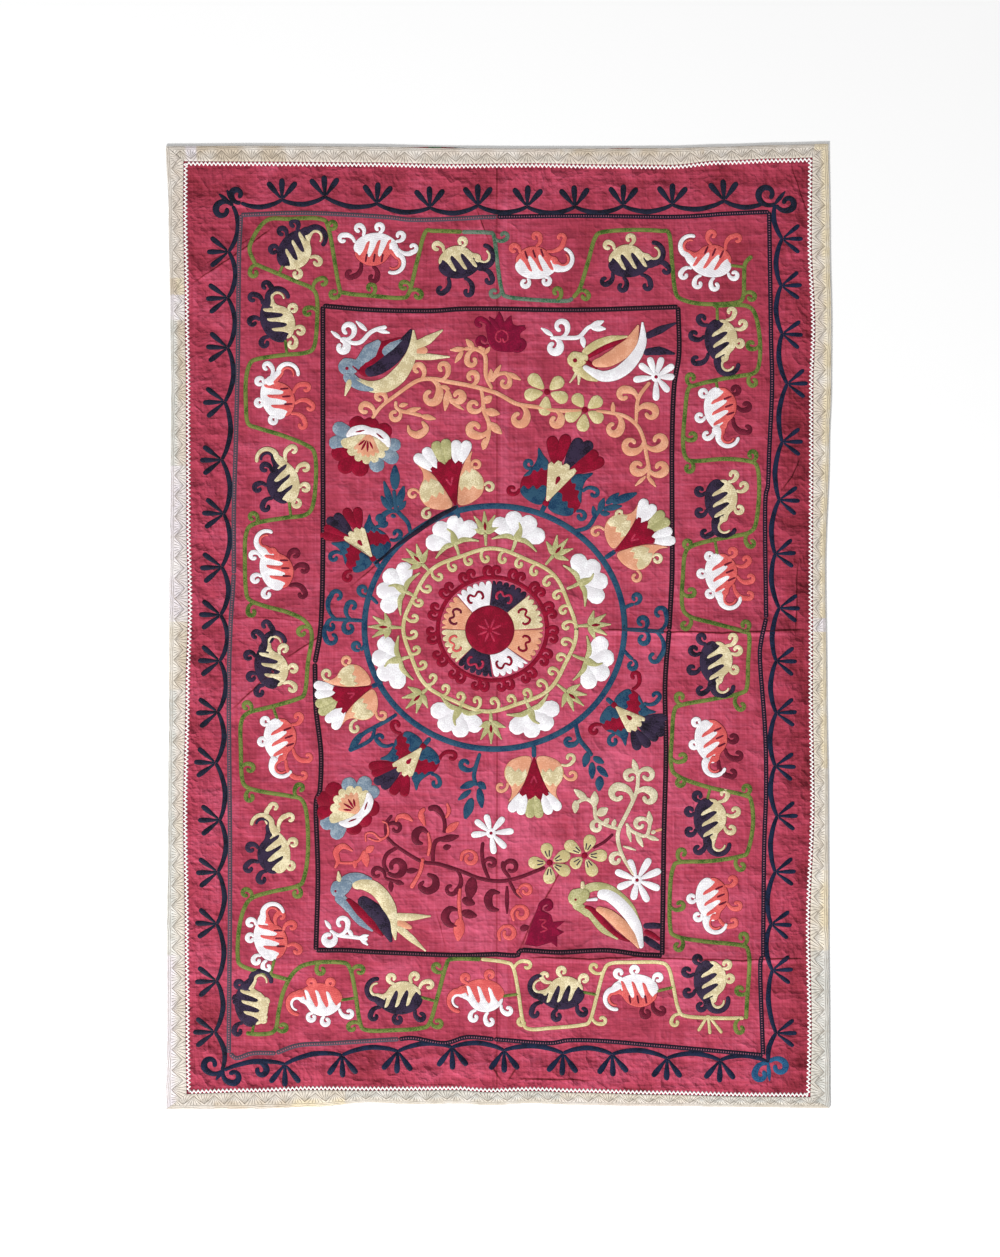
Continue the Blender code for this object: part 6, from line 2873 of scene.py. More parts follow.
@dataclass
class Field:
    """What grows round the medallion inside the inner chain."""

    TULIPS = (
        Tulip(456, 507, 103, ((413, 494), (427, 514), (476, 465), (489, 487))),
        Tulip(614, 552, 34, ((596, 532), (620, 514), (636, 577), (657, 559)), 0.93),
        Tulip(534, 756, 270, ((501, 787), (570, 758), (572, 775)), 0.9),
        Tulip(373, 686, 202, ((347, 661), (327, 674), (382, 715), (355, 728)), 0.88),
    )
    CARNATIONS = (
        Carnation(
            545, 505, 65, 1, 1.0,
            (
                (Silk.TEAL, 529, 464), (Silk.TEAL, 594, 493), (Silk.TEAL, 581, 516),
                (Silk.CRIMSON, 512, 490)
            )
        ),
        Carnation(
            374, 560, 127, -1, 0.80,
            (
                (Silk.TEAL, 380, 519), (Silk.TEAL, 397, 534), (Silk.TEAL, 334, 557),
                (Silk.CRIMSON, 348, 577)
            )
        ),
        Carnation(
            613, 704, 318, -1, 0.76,
            (
                (Silk.CRIMSON, 635, 676), (Silk.CRIMSON, 594, 730), (Silk.TEAL, 656, 696),
                (Silk.TEAL, 613, 741)
            ),
            Silk.NAVY
        ),
        Carnation(
            424, 745, 229, 1, 0.80,
            (
                (Silk.CRIMSON, 396, 725), (Silk.TEAL, 380, 738), (Silk.CRIMSON, 452, 756),
                (Silk.TEAL, 436, 783)
            )
        ),
    )
    TEAL_SPRAYS = (
        Spray(
            Silk.TEAL, 3.6, ((367, 621), (352, 620), (330, 619)),
            ((337, 596, 8), (352, 606, 7), (331, 626, 6), (349, 628, 7.5), (332, 638, 8.5))
        ),
        Spray(
            Silk.TEAL, 3.6, ((622, 629), (640, 630), (664, 632)),
            ((660, 613, 8.5), (642, 622, 7.5), (643, 639, 7.5), (654, 657, 8))
        ),
        Spray(Silk.TEAL, 3.4, ((378, 604), (372, 598), (366, 596)), ((363, 590, 6.5),)),
        Spray(Silk.TEAL, 3.4, ((366, 642), (363, 648), (360, 650)), ((357, 646, 6),)),
        Spray(Silk.TEAL, 3.4, ((622, 610), (628, 606), (634, 604)), ((636, 598, 6.5),)),
        Spray(Silk.TEAL, 3.4, ((622, 648), (627, 654), (633, 660)), ((632, 665, 6.5),)),
        Spray(
            Silk.TEAL, 4.0, ((411, 535), (408, 523), (400, 514), (396, 508), (394, 490)),
            ((384, 523, 6),),
            (
                (395, 490, 395, 465, 9.5), (392, 508, 384, 481, 6.5), (391, 510, 381, 496, 7.0),
                (398, 506, 404, 486, 7.5), (399, 510, 406, 501, 5.5), (391, 515, 396, 517, 4.0)
            )
        ),
        Spray(
            Silk.TEAL, 4.0, ((575, 531), (588, 527), (596, 515), (600, 510)), (),
            (
                (595, 518, 593, 506, 5.0), (599, 512, 604, 498, 6.5), (606, 504, 619, 493, 6.5),
                (612, 503, 637, 493, 8.0), (603, 509, 622, 506, 6.0), (600, 513, 610, 514, 5.5)
            )
        ),
        Spray(Silk.TEAL, 3.8, ((397, 714), (388, 720), (375, 727), (362, 735), (349, 751)), (), ()),
        Spray(
            Silk.TEAL, 3.6, ((375, 728), (372, 738), (364, 744), (349, 751)), (),
            ((362, 733, 349, 751, 7.0),)
        ),
        Spray(
            Silk.TEAL, 4.2, ((575, 720), (579, 738), (588, 750), (592, 756)), ((569, 741, 6),),
            (
                (588, 752, 584, 767, 7.5), (593, 757, 604, 763, 6.5), (592, 762, 592, 779, 7.0),
                (597, 766, 608, 777, 6.5), (600, 776, 599, 791, 8.5)
            )
        ),
        Spray(
            Silk.TEAL, 3.8, ((480, 753), (476, 766), (474, 777), (477, 786)), ((465, 764, 7),),
            (
                (476, 782, 460, 788, 7.0), (471, 790, 458, 800, 5.5), (478, 782, 486, 789, 7.0),
                (479, 788, 482, 808, 7.5), (472, 798, 465, 819, 9.5)
            )
        ),
    )
    ORANGE_SPRAYS = (
        Spray(
            Silk.ORANGE, 4.4,
            (
                (372, 419), (381, 407), (395, 396), (417, 381), (433, 379), (449, 382), (471, 386),
                (493, 392), (502, 396), (517, 404), (536, 407), (551, 410), (565, 411), (582, 411)
            ),
            ((365, 409, 7.5), (380, 397, 7), (418, 369, 7), (443, 368, 7.5), (472, 377, 7.5)),
            ((441, 386, 450, 389, 5.0), (448, 390, 445, 411, 7.0), (451, 402, 464, 410, 4.0)),
            ((431, 396, 11), (519, 418, 10.5), (555.5, 420.5, 8))
        ),
        Spray(Silk.ORANGE, 4.1, ((446, 388), (450, 396), (452, 404)), (), (), ((458, 396, 8),)),
        Spray(
            Silk.ORANGE, 4.4, ((481, 388), (483, 400), (484, 411), (489, 424), (488, 438), (484, 449)),
            ((474, 406, 8),),
            (
                (484, 403, 492, 396, 8.0), (484, 411, 500, 414, 8.5), (489, 423, 502, 434, 8.5),
                (486, 438, 483, 450, 7.0)
            ),
            ((475, 428.5, 9.5),)
        ),
        Spray(
            Silk.ORANGE, 4.1,
            (
                (596, 411), (611, 413), (626, 417), (638, 427), (644, 441), (646, 453), (649, 470),
                (648, 478)
            ),
            (), ((613, 414, 613, 402, 5.0), (646, 476, 635, 486, 4.0), (647, 476, 656, 487, 4.5)),
            ((613.6, 428, 10), (631, 445, 10.5), (658.5, 441, 10), (638, 467, 9), (660, 468, 9))
        ),
        Spray(
            Silk.ORANGE, 4.0, ((636, 424), (637, 405), (640, 395), (650, 382)), (), (),
            ((624, 395, 8.5), (650, 413, 9.5))
        ),
        Spray(
            Silk.ORANGE, 4.0, ((396, 401), (396, 407), (401, 411), (411, 413), (422, 416)),
            ((395, 415, 7.5),),
            ((399, 406, 408, 404, 5.0), (405, 412, 421, 408, 5.5), (421, 416, 436, 419, 6.0))
        ),
        Spray(
            Silk.ORANGE, 4.4, ((492, 389), (486, 376), (485, 356), (475, 349), (464, 349)),
            ((472, 361, 7.5),),
            (
                (474, 349, 466, 339, 6.5), (465, 349, 450, 350, 5.5), (463, 351, 455, 363, 5.5),
                (484, 352, 479, 343, 6.5), (485, 354, 490, 347, 4.5), (491, 382, 491, 369, 6.0),
                (493, 378, 501, 365, 5.0)
            )
        ),
        Spray(
            Silk.ORANGE, 4.0, ((492, 382), (495, 377), (500, 374), (508, 373)), ((505, 383, 7),),
            ((507, 373, 521, 380, 5.5),)
        ),
    )
    CRESCENTS = (
        (
            Silk.ORANGE, ((422, 421), (426, 429), (418, 435), (410, 432), (408, 425)),
            (2.5, 6.5, 8.5, 6.0, 1.5)
        ),
        (
            Silk.MAROON, ((458, 910), (450, 909), (445, 916), (449, 924), (457, 926)),
            (1.5, 6.0, 8.0, 6.0, 1.5)
        ),
        (
            Silk.MAROON, ((500, 893), (492, 892), (488, 899), (491, 908), (499, 910)),
            (1.5, 6.0, 8.0, 6.0, 1.5)
        ),
        (
            Silk.MAROON, ((427, 874), (435, 878), (435, 887), (427, 891), (420, 886), (424, 881)),
            (2.0, 5.5, 7.5, 6.5, 5.0, 1.5)
        ),
        (
            Silk.MAROON, ((428, 833), (422, 829), (416, 833), (416, 841), (423, 844)),
            (1.5, 5.5, 7.5, 6.0, 1.5)
        ),
        (
            Silk.MAROON, ((428, 809), (436, 808), (443, 816), (445, 826), (444, 833)),
            (4.0, 6.0, 3.4, 3.0, 2.6)
        ),
        (Silk.MAROON, ((593, 848), (604, 842), (613, 834)), (1.8, 2.2, 2.0)),
        (
            Silk.CORAL, ((353, 851), (343, 846), (336, 852), (338, 861), (335, 868)),
            (1.5, 5.5, 6.5, 5.0, 2.0)
        ),
        (
            Silk.CORAL,
            ((366, 842), (366, 834), (373, 833), (381, 839), (388, 834), (387, 824), (382, 821)),
            (1.5, 2.0, 2.0, 2.4, 2.4, 2.0, 1.4)
        ),
        (Silk.CORAL, ((368, 838), (378, 841), (386, 837)), (1.6, 2.0, 1.6)),
        (Silk.CORAL, ((396, 822), (398, 817), (405, 816), (413, 821)), (2.0, 4.5, 6.0, 1.6)),
        (Silk.CORAL, ((425, 808), (421, 814), (425, 826)), (3.0, 6.5, 2.0)),
        (Silk.CORAL, ((428, 832), (430, 844), (428, 856)), (2.0, 3.4, 2.4)),
        (Silk.CORAL, ((423, 858), (420, 872), (411, 888)), (4.0, 3.4, 4.4)),
        (Silk.CORAL, ((460, 888), (459, 904), (461, 921)), (3.0, 3.6, 3.0)),
        (Silk.CORAL, ((447, 803), (449, 811), (446, 818)), (2.0, 4.0, 2.0)),
    )
    MAROON_SPRAYS = (
        Spray(
            Silk.MAROON, 3.4,
            (
                (386, 836), (398, 847), (421, 861), (439, 864), (461, 871), (479, 878), (500, 881),
                (520, 877), (545, 867)
            ),
            ((451, 889, 8),),
            (
                (473, 877, 469, 900, 12.0), (462, 899, 475, 904, 8.5), (461, 912, 477, 916, 8.5),
                (406, 871, 418, 870, 5.5), (443, 848, 451, 846, 5.5), (520, 929, 529, 926, 6.5)
            ),
            ()
        ),
        Spray(
            Silk.MAROON, 3.6, ((398, 847), (387, 854), (384, 864), (388, 872)), (), (),
            ((396, 867, 11.5),)
        ),
        Spray(
            Silk.MAROON, 3.0, ((385, 878), (391, 880), (398, 882)), ((377, 873, 7.5),),
            ((394, 881, 404, 884, 5.0), (391, 881, 391, 892, 5.0))
        ),
        Spray(Silk.MAROON, 3.0, ((386, 836), (386, 824), (392, 815)), ((396, 828, 7),), ()),
        Spray(
            Silk.MAROON, 4.0, ((433, 862), (433, 850), (436, 841), (444, 838)), (),
            ((440, 840, 459, 836, 7.0),)
        ),
        Spray(
            Silk.MAROON, 3.4, ((489, 879), (484, 866), (482, 852), (483, 842)), ((491, 863, 6.5),), ()
        ),
        Spray(Silk.MAROON, 3.4, ((510, 878), (503, 868), (503, 861)), ((511, 867, 9),), ()),
        Spray(
            Silk.MAROON, 3.0, ((509, 880), (512, 886), (516, 893), (522, 898)), (),
            ((507, 886, 507, 914, 4.0),)
        ),
        Spray(
            Silk.CORAL, 3.0, ((337, 862), (347, 863), (358, 861), (365, 850)), (),
            (
                (355, 860, 355, 868, 5.0), (364, 850, 367, 867, 8.5), (366, 852, 374, 846, 7.5),
                (446, 832, 459, 822, 7.5), (460, 918, 458, 941, 11.5)
            )
        ),
        Spray(Silk.CORAL, 3.2, ((522, 898), (517, 892), (519, 889)), ((526, 890, 7.5),), ()),
        Spray(Silk.CORAL, 3.6, ((461, 861), (463, 853), (470, 850)), ((470, 858, 8.5),), ()),
        Spray(Silk.CORAL, 3.6, ((514, 921), (512, 912), (518, 905)), ((521, 913, 9),), ()),
        Spray(Silk.CORAL, 3.6, ((500, 941), (499, 932), (505, 925)), ((508, 933, 9),), ()),
    )
    CREAM_SPRAYS = (
        Spray(
            Silk.IVORY, 4.2,
            (
                (634, 875), (623, 857), (618, 841), (619, 829), (627, 813), (636, 793), (638, 777),
                (636, 768)
            ),
            ((630, 776, 7.5), (647, 775, 8.5), (616, 859, 7.5)),
            ((637, 774, 633, 759, 6.5), (623, 846, 636, 850, 3.0)), ((618, 794, 11), (648, 797, 9.5))
        ),
        Spray(
            Silk.IVORY, 4.0,
            ((619, 829), (606, 825), (596, 818), (594, 805), (586, 799), (577, 803), (575, 811)),
            ((597, 826, 7.5),),
            (
                (587, 800, 574, 789, 7.5), (594, 807, 595, 791, 8.5), (576, 800, 575, 813, 7.5),
                (597, 815, 608, 808, 9.0), (604, 824, 609, 818, 5.5), (613, 827, 615, 819, 5.0)
            )
        ),
        Spray(
            Silk.IVORY, 3.8, ((626, 823), (632, 831), (645, 836), (649, 829), (650, 818)),
            ((640, 824, 7.5),),
            (
                (650, 826, 649, 811, 6.5), (646, 836, 659, 840, 5.0), (636, 834, 643, 847, 5.5),
                (627, 826, 631, 842, 4.5), (651, 833, 656, 831, 4.5)
            )
        ),
        Spray(Silk.ORANGE, 3.0, ((655, 831), (662, 829)), (), ()),
    )
    WHITE_SPRAYS = (
        Spray(
            Silk.WHITE, 4.4,
            ((340, 340), (345, 339), (352, 343), (361, 342), (370, 333), (378, 329), (387, 327)),
            ((348, 330, 9),),
            ((341, 339, 331, 331, 4.5), (367, 331, 356, 321, 5.0), (376, 330, 390, 333, 4.5)),
            ((342, 347, 7.6),)
        ),
        Spray(
            Silk.WHITE, 4.4, ((550, 338), (556, 338), (568, 338), (579, 337), (588, 328), (596, 325)),
            ((561, 327, 9),),
            (
                (553, 336, 541, 328, 5.0), (590, 327, 604, 321, 6.5), (591, 328, 606, 329, 6.5),
                (582, 336, 584, 348, 6.0)
            ),
            ((554, 347, 9),)
        ),
        Spray(
            Silk.WHITE, 4.0, ((330, 930), (338, 935), (353, 937), (368, 939)), ((342, 923, 8.5),),
            (
                (331, 929, 325, 920, 4.5), (353, 936, 347, 928, 4.5), (360, 938, 368, 945, 4.5),
                (360, 937, 369, 935, 4.0)
            ),
            ((329, 938, 9),)
        ),
    )
    ROSETTES = (
        Rosette(
            Silk.OLIVE_CREAM, (547, 392), ((529, 375), (563, 378), (568, 400), (544, 416), (524, 396)),
            13.4
        ),
        Rosette(
            Silk.OLIVE_CREAM, (585, 410), ((574, 394), (602, 398), (603, 421), (582, 432), (565, 419)),
            13.4
        ),
        Rosette(
            Silk.OLIVE_CREAM, (549.5, 862.5),
            ((545.5, 842.5), (570, 853), (570, 873.5), (549, 884), (528, 862.5)), 12.8
        ),
        Rosette(
            Silk.OLIVE_CREAM, (584.5, 855.5),
            ((565, 842), (592, 834.5), (607.5, 855.5), (595, 876), (571, 867)), 12.8
        ),
        Rosette(
            Silk.WHITE, (656, 377),
            (
                (649, 357), (662, 357), (674, 365), (675, 377), (669, 392), (656, 401), (633, 380),
                (639, 364)
            ),
            7.0
        ),
        Rosette(
            Silk.WHITE, (491, 833),
            ((486, 814), (475, 820), (471, 835), (504, 817), (514, 831), (506, 848), (494, 854)), 6.6
        ),
        Rosette(
            Silk.WHITE, (637, 880),
            (
                (629, 859), (650, 858), (661, 870), (660, 889), (648, 902), (633, 900), (617, 888),
                (615, 871)
            ),
            7.4
        ),
    )

    def sew(self, ring: Pen, garden: Pen) -> None:
        """Sews the field.

        Args:
            ring: what sews the flowers that stand on the ring.
            garden: what sews the sprays, the rosettes, the crescents, the peonies and the red buds.
        """
        for motif in (*self.TULIPS, *self.CARNATIONS, *self.TEAL_SPRAYS):
            motif.sew(ring)
        for motif in (
            *self.ORANGE_SPRAYS, *self.MAROON_SPRAYS, *self.CREAM_SPRAYS, *self.WHITE_SPRAYS,
            *self.ROSETTES
        ):
            motif.sew(garden)
        for silk, points, widths in self.CRESCENTS:
            garden.line(silk, points, *widths, layer=0.6)
        for centre in ((656, 377), (491, 833), (637, 880)):
            garden.disc(Silk.WHITE, centre, 5.2, 0.8)
            garden.disc(Silk.CRIMSON, centre, 2.0, 2.0)
        for flower in self.ROSETTES[2:4]:
            for x, y in flower.tips:
                own = Frame(
                    *flower.centre, math.degrees(math.atan2(flower.centre[1] - y, x - flower.centre[0]))
                )
                for side in (1.0, -1.0):
                    garden.line(
                        Silk.NAVY, own.path((6, 0.8 * side), (12.5, 2.2 * side)), 1.1, 1.4, layer=1.2
                    )
        self.sew_peony(garden, Frame(367.5, 444, 76.0))
        self.sew_peony(garden, Frame(352, 806, 316.0, 0.96, -1.0))
        self.sew_red_buds(garden)

    def sew_peony(self, pen: Pen, own: Frame) -> None:
        """Sews a peony: coloured petals round a scalloped fan under a white brow.

        Args:
            pen: what the silk is sewn with.
            own: the motif's own axes.
        """
        for silk, forward, left, width in (
            (Silk.CRIMSON, 23, 20, 15), (Silk.CRIMSON, 27, 2, 15.5), (Silk.CRIMSON, 23, -18, 15),
            (Silk.CRIMSON, -20, 32, 15), (Silk.CRIMSON, -34, 20, 14), (Silk.CRIMSON, -34, 2, 15.5),
            (Silk.SKY, 10, 38, 13), (Silk.SKY, -8, 38, 13.5), (Silk.SKY, 7, -33, 12),
            (Silk.SKY, -9, -34, 13), (Silk.SKY, -24, -19, 14),
        ):
            pen.leaf(
                silk, own.at(forward * 0.2, left * 0.2), own.at(forward, left), 1.12 * width, 0.0, 0.0,
                True
            )
        fan = []
        for k, angle in enumerate(np.linspace(96.0, 282.0, 43)):
            scallop = abs(math.sin(math.pi * k / 6.0))
            reach = 19.0 + 3.4 * math.sqrt(scallop) + 6.0 * math.exp(-(((angle - 96.0) / 28.0) ** 2))
            fan.append(Frame(*own.at(2, 0), own.heading + own.side * angle).at(reach, 0))
        pen.patch(Silk.CREAM, fan + own.path((6, -18), (9, -8), (9, 8)), 90.0, 1.0)
        core = []
        for k, angle in enumerate(np.linspace(118.0, 250.0, 25)):
            reach = 12.6 + 3.0 * abs(math.sin(math.pi * k / 4.0))
            core.append(Frame(*own.at(2, 0), own.heading + own.side * angle).at(reach, 0))
        pen.patch(Silk.ORANGE, core + own.path((8, -4), (11, 0), (8, 4)), 90.0, 2.0)
        for lean, first, last in ((-36, 4, 12), (-12, 3, 14), (14, 3, 14), (40, 4, 12)):
            mark = Frame(*own.at(6, 1), own.heading + 178.0 + lean)
            pen.leaf(Silk.CRIMSON, mark.at(first, 0), mark.at(last, 0), 2.8, 0.0, 3.0)
        brow = own.path((2, -22), (8.5, -17), (12.5, -9), (13, 0), (12.5, 9), (8.5, 17), (2, 22))
        pen.line(Silk.WHITE, brow, 3.0, 9.0, 9.5, 7.5, 9.5, 9.0, 3.0, layer=2.5)
        for side in (1.0, -1.0):
            pen.leaf(Silk.CRIMSON, own.at(12.6, 6 * side), own.at(8.6, 14.5 * side), 2.8, 0.0, 3.5)

    def sew_red_buds(self, pen: Pen) -> None:
        """Sews the two dark red buds, under the top edge and over the bottom one.

        Args:
            pen: what the silk is sewn with.
        """
        crown = (
            (487, 334), (486, 326), (492, 324), (499, 314), (503, 322), (511, 319), (514, 325),
            (526, 328), (520, 334), (521, 344), (516, 351), (506, 352), (495, 350), (489, 343)
        )
        pen.patch(Silk.PLUM, curve_through(crown, 1.5, True), 90.0)
        for tip in ((489, 317), (499, 312), (511, 316), (525, 326)):
            pen.leaf(Silk.PLUM, (503, 334), tip, 6.0, 0.0, 0.4)
        for start, centre, turn in (
            ((489, 334), (480, 323), 1.0), ((489, 345), (482, 341), -1.0), ((513, 350), (520, 344), 1.0)
        ):
            pen.curl(Silk.PLUM, start, centre, 5.0, turn, 3.6, 0.4)
        for side in (1.0, -1.0):
            scroll = (
                (502, 330), (502 - 5 * side, 333), (502 - 6 * side, 339), (502 - 2 * side, 342),
                (502 - 1 * side, 338)
            )
            pen.line(Silk.ROSE, scroll, 1.6, layer=2.0, step=1.0)
        body = (
            (538, 907), (534, 917), (529, 931), (525, 944), (537, 946), (551, 942), (557, 947),
            (557, 936),
            (564, 932), (556, 928), (565, 921), (553, 922), (551, 915), (544, 911),
        )
        pen.patch(Silk.PLUM, body, 90.0)
        pen.curl(Silk.PLUM, (540, 911), (547, 905.5), 5.2, -1.0, 4.2, 0.5)
        pen.line(
            Silk.ROSE, ((539, 919), (546, 920), (542, 925), (547, 929), (540, 932)), 1.6, layer=2.0,
            step=1.0
        )


class Stroke(NamedTuple):
    """One band of a bird: its silk, its line, its widths along it and its layer."""

    silk: Silk
    points: tuple[Point, ...]
    widths: tuple[float, ...]
    layer: float = 0.0


@dataclass
class Birds:
    """The four birds in the corners of the field."""

    STROKES = (
        Stroke(Silk.ORANGE, ((411, 351), (420, 351), (428, 350)), (8, 10, 6)),
        Stroke(Silk.CREAM, ((412, 347), (426, 341), (443, 330)), (9, 9, 1.4), 0.6),
        Stroke(Silk.CREAM, ((411, 356), (428, 357), (450, 357)), (7, 6.5, 1.4), 0.6),
        Stroke(Silk.CRIMSON, ((358, 372), (372, 364), (388, 352), (404, 339)), (16, 24, 24, 6)),
        Stroke(
            Silk.CREAM,
            ((355, 379), (370, 386.5), (386, 385), (400, 374), (410, 358), (413.5, 344), (413.5, 330)),
            (4, 11, 15, 16, 13, 9, 1.6), 0.8
        ),
        Stroke(Silk.SKY, ((361, 362), (369, 353), (380.5, 341)), (9, 15, 3), 1.2),
        Stroke(Silk.SKY, ((383, 355), (392, 348), (405, 338.5)), (12, 11, 2), 1.2),
        Stroke(
            Silk.NAVY, ((365, 373), (378, 368.5), (392, 358), (403, 345), (411.5, 329.5)),
            (9, 13, 14.5, 12, 1.6), 1.6
        ),
        Stroke(Silk.SKY, ((345, 373), (352, 380), (361, 386), (374, 390)), (13, 12, 9, 4), 1.3),
        Stroke(Silk.SKY, ((352, 368), (360, 362), (368, 352), (379, 340)), (8, 10, 13, 2), 1.2),
        Stroke(Silk.SKY, ((338, 368), (346, 367), (353, 366), (361, 363)), (12, 18, 15, 6), 1.4),
        Stroke(Silk.CREAM, ((350.5, 379), (348, 387), (345, 396)), (7, 5.5, 1), 1.8),
        Stroke(Silk.CRIMSON, ((352.5, 366), (359.5, 372)), (1.4, 1.8), 3.0),
        Stroke(Silk.NAVY, ((645, 337), (660, 330), (676, 323)), (6, 7.5, 1.4)),
        Stroke(Silk.NAVY, ((643, 352.5), (660, 351), (675, 354)), (6, 8.5, 1.6)),
        Stroke(Silk.OLIVE_CREAM, ((583, 356), (594, 347), (606, 341.5), (628, 336.5)), (10, 10, 9, 2)),
        Stroke(Silk.CRIMSON, ((582, 360), (594, 353), (610, 345), (631, 337.5)), (3, 5, 5, 2), 0.9),
        Stroke(
            Silk.WHITE,
            (
                (583, 366.5), (592, 372), (604, 376.5), (619, 372.5), (633, 360), (642, 343),
                (642.5, 322)
            ),
            (5, 10, 12, 13, 11, 8, 1.6), 0.8
        ),
        Stroke(
            Silk.ORANGE, ((592, 364), (606, 361), (620, 353), (631, 342), (638.5, 325)),
            (6, 14, 16, 12, 1.6), 1.4
        ),
        Stroke(Silk.CRIMSON, ((581, 359), (588, 362.5), (597, 369.5)), (3, 4, 2), 1.2),
        Stroke(Silk.OLIVE_CREAM, ((574, 365), (580, 371), (588, 377), (598, 381)), (12, 9, 7, 2), 0.6),
        Stroke(
            Silk.OLIVE_CREAM, ((567, 361), (574, 360), (581, 359), (588, 356)), (11, 17, 14, 6), 1.6
        ),
        Stroke(Silk.CREAM, ((578, 370), (574, 377), (569.5, 383)), (3.5, 3, 1)),
        Stroke(Silk.CREAM, ((578.5, 371), (579, 378), (578.5, 385)), (3.5, 3.5, 1.2)),
        Stroke(Silk.CREAM, ((394, 917), (410, 917), (431, 916)), (9, 7.5, 1.4)),
        Stroke(Silk.CREAM, ((397, 926), (411, 938), (426, 951)), (8, 7, 1.4)),
        Stroke(Silk.ORANGE, ((395, 922), (404, 925), (412, 928)), (9, 8, 3)),
        Stroke(
            Silk.CREAM, ((352, 885), (364, 884), (377, 890), (387, 903), (392, 918), (395.5, 940)),
            (9, 13, 14, 14, 10, 1.6), 0.8
        ),
        Stroke(Silk.SKY, ((341, 886), (350, 879), (360, 876.5), (372, 879)), (14, 12, 7, 2), 1.0),
        Stroke(Silk.CRIMSON, ((346, 899), (358, 910), (370, 922), (383, 936)), (5, 9, 9, 2), 1.0),
        Stroke(Silk.SKY, ((346, 900), (353, 913), (362, 923), (373, 931)), (7, 8, 7, 2), 0.8),
        Stroke(Silk.NAVY, ((359, 898), (370, 907), (382, 920), (391.5, 942)), (9, 15, 14, 1.6), 1.6),
        Stroke(Silk.SKY, ((331, 893), (337, 890), (344, 886), (352, 882)), (11, 18, 15, 7), 1.6),
        Stroke(Silk.CREAM, ((339.5, 882), (339, 877), (338.5, 871)), (6, 4.5, 1), 1.8),
        Stroke(Silk.SKY, ((336, 895), (344, 902), (352, 912)), (12, 10, 8), 0.9),
        Stroke(Silk.NAVY, ((643, 926), (652, 925.5), (662, 926)), (5, 6, 5)),
        Stroke(Silk.NAVY, ((643, 937), (652, 943), (661, 949)), (5, 7, 5)),
        Stroke(Silk.CRIMSON, ((644, 931), (652, 934.5), (660, 940)), (5, 5, 3)),
        Stroke(
            Silk.PALE_GREEN, ((576, 896), (592, 887), (608, 888), (622, 897), (632, 907), (639, 920)),
            (9, 9, 8, 7, 5, 2)
        ),
        Stroke(
            Silk.WHITE, ((597, 894), (610, 896), (624, 908), (635, 924), (641.5, 948)),
            (10, 13, 13, 11, 5), 0.9
        ),
        Stroke(Silk.WHITE, ((586, 900), (598, 899)), (2, 4), 1.0),
        Stroke(
            Silk.CRIMSON, ((584, 907), (592, 910), (604, 923), (617, 935), (630, 941)), (3, 7, 6, 5, 2),
            0.7
        ),
        Stroke(
            Silk.ORANGE, ((596, 908), (608, 914), (621, 925), (632, 937), (639, 948)),
            (5, 11, 13, 10, 2), 1.4
        ),
        Stroke(Silk.PALE_GREEN, ((582, 906), (592, 917), (602, 929), (618, 939)), (5, 6, 6, 2), 0.5),
        Stroke(Silk.PALE_GREEN, ((568, 900), (575, 898), (582, 895), (589, 891)), (11, 18, 15, 8), 1.6),
        Stroke(Silk.CREAM, ((582.5, 881), (582.5, 889)), (4, 4), 0.8),
        Stroke(Silk.PALE_GREEN, ((573, 903), (581, 908), (590, 916)), (10, 8, 6), 0.6),
    )
    EYES = ((347, 368.5, 2.0), (575, 360.5, 2.6), (335.5, 891, 1.6), (575.5, 899.5, 1.6))

    def sew(self, pen: Pen) -> None:
        """Sews the birds.

        Args:
            pen: what the silk is sewn with.
        """
        for silk, points, widths, layer in self.STROKES:
            pen.line(silk, points, *widths, layer=layer)
        for x, y, radius in self.EYES:
            pen.disc(Silk.CRIMSON, (x, y), radius, 3.0)


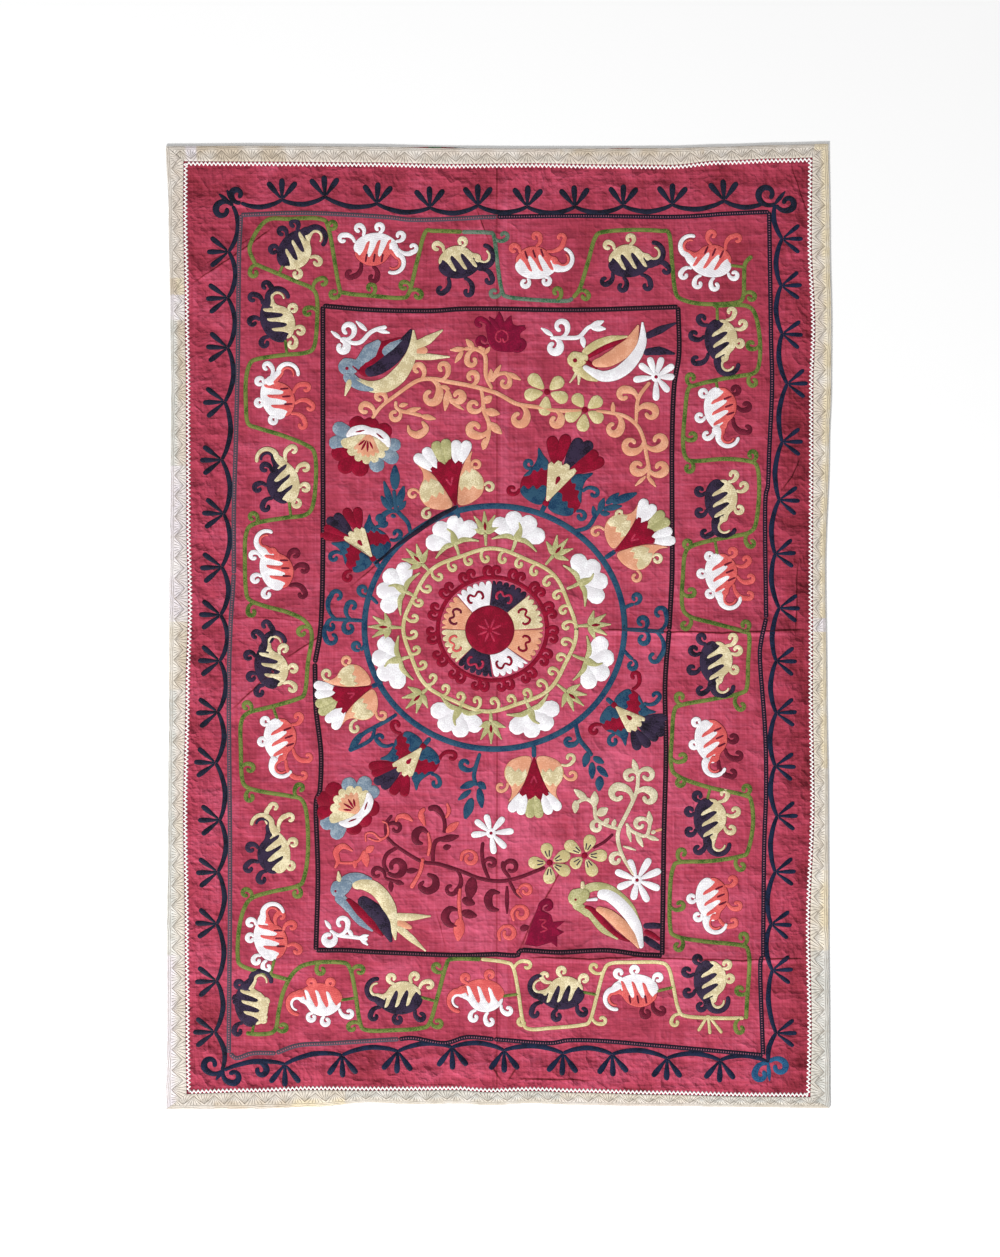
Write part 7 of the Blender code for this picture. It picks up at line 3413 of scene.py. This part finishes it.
@dataclass
class Studio:
    """The camera, the pale floor and the soft light."""

    camera_place: tuple[float, float, float] = (0.00375, -0.005, 7.42)
    lens: float = 85.0
    sky: float = 0.38

    SENSOR = 36.0
    MIDDLE = (0.0, 0.0, 0.0)
    FLOOR_SHADE = (0.95, 0.95, 0.95, 1.0)
    FLOOR_ROUGHNESS = 0.9
    FLOOR_SIZE = 12.0

    def place_camera(self) -> None:
        """Sets the camera straight over the cloth."""
        data = bpy.data.cameras.new("camera")
        data.lens = self.lens
        data.sensor_width = self.SENSOR
        camera = bpy.data.objects.new("camera", data)
        camera.location = self.camera_place
        bpy.context.scene.collection.objects.link(camera)
        bpy.context.scene.camera = camera

    def light(self, name: str, place: tuple, target: tuple, size: float, power: float) -> None:
        """Adds one soft white lamp that faces a target.

        Args:
            name: the lamp's name.
            place: where it hangs, in metres.
            target: the point that it faces, in metres.
            size: the length of its edge in metres.
            power: its power in watts.
        """
        data = bpy.data.lights.new(name, "AREA")
        data.shape = "DISK"
        data.size = size
        data.energy = power
        lamp = bpy.data.objects.new(name, data)
        lamp.location = place
        lamp.rotation_euler = (Vector(target) - Vector(place)).to_track_quat("-Z", "Y").to_euler()
        bpy.context.scene.collection.objects.link(lamp)

    def set(self) -> None:
        """Builds the floor, the lamps and the sky."""
        scene = bpy.context.scene
        scene.view_settings.view_transform = "Standard"
        world = bpy.data.worlds.new("studio")
        world.use_nodes = True
        sky = world.node_tree.nodes["Background"]
        sky.inputs["Color"].default_value = (1.0, 1.0, 1.0, 1.0)
        sky.inputs["Strength"].default_value = self.sky
        scene.world = world
        self.light("key", (-6.4, -11.4, 5.8), self.MIDDLE, 2.4, 3200.0)
        self.light("fill", (1.5, 3.0, 9.5), self.MIDDLE, 6.0, 160.0)
        material = bpy.data.materials.new("floor_paper")
        material.use_nodes = True
        shader = material.node_tree.nodes["Principled BSDF"]
        shader.inputs["Base Color"].default_value = self.FLOOR_SHADE
        shader.inputs["Roughness"].default_value = self.FLOOR_ROUGHNESS
        surface = bmesh.new()
        bmesh.ops.create_grid(surface, x_segments=1, y_segments=1, size=self.FLOOR_SIZE)
        mesh = bpy.data.meshes.new("floor")
        surface.to_mesh(mesh)
        surface.free()
        mesh.materials.append(material)
        floor = bpy.data.objects.new("floor", mesh)
        scene.collection.objects.link(floor)


def main() -> None:
    """Builds the whole hanging and its setting."""
    logging.basicConfig(level=logging.INFO, format="%(name)s: %(message)s")
    studio = Studio()
    studio.place_camera()
    effects = Effects()
    silks = {
        silk: SilkFinish(f"silk_{silk.name.lower()}", 0.55, silk=silk).make(effects) for silk in Silk
    }
    silks.update(
        {chain: ChainFinish(f"chain_{chain.name.lower()}", 0.6, chain=chain).make() for chain in Chain}
    )

    lining = Lining().make(LiningFinish("lining_stripes", 0.8, stripes=LINING_STRIPES).make())
    grounds = Ground().make(GroundFinish("red_cotton", 0.8, 0.05).make(effects))
    borders = Border().make(BorderFinish("cream_quilting", 0.85).make())
    braids = Braid().make(BraidFinish("white_cotton", 0.75).make())

    pens = [
        Pen(name)
        for name in ("vine", "chain", "meander", "buds", "medallion", "ring", "garden", "birds")
    ]
    vine, chain, meander, buds, medallion, ring, garden, birds = pens
    ScallopVine().sew(vine)
    ChainLines().sew(chain)
    winding = Meander()
    winding.sew(meander)
    BudPanel().sew(buds, meander, winding)
    Medallion().sew(medallion)
    Field().sew(ring, garden)
    Birds().sew(birds)
    sewn = [piece for pen in pens for piece in pen.finish(silks)]

    for side, border, braid in zip(SIDES, borders, braids):
        run = 2 * side.half_sizes()[0]
    studio.set()


if __name__ == "__main__":
    main()
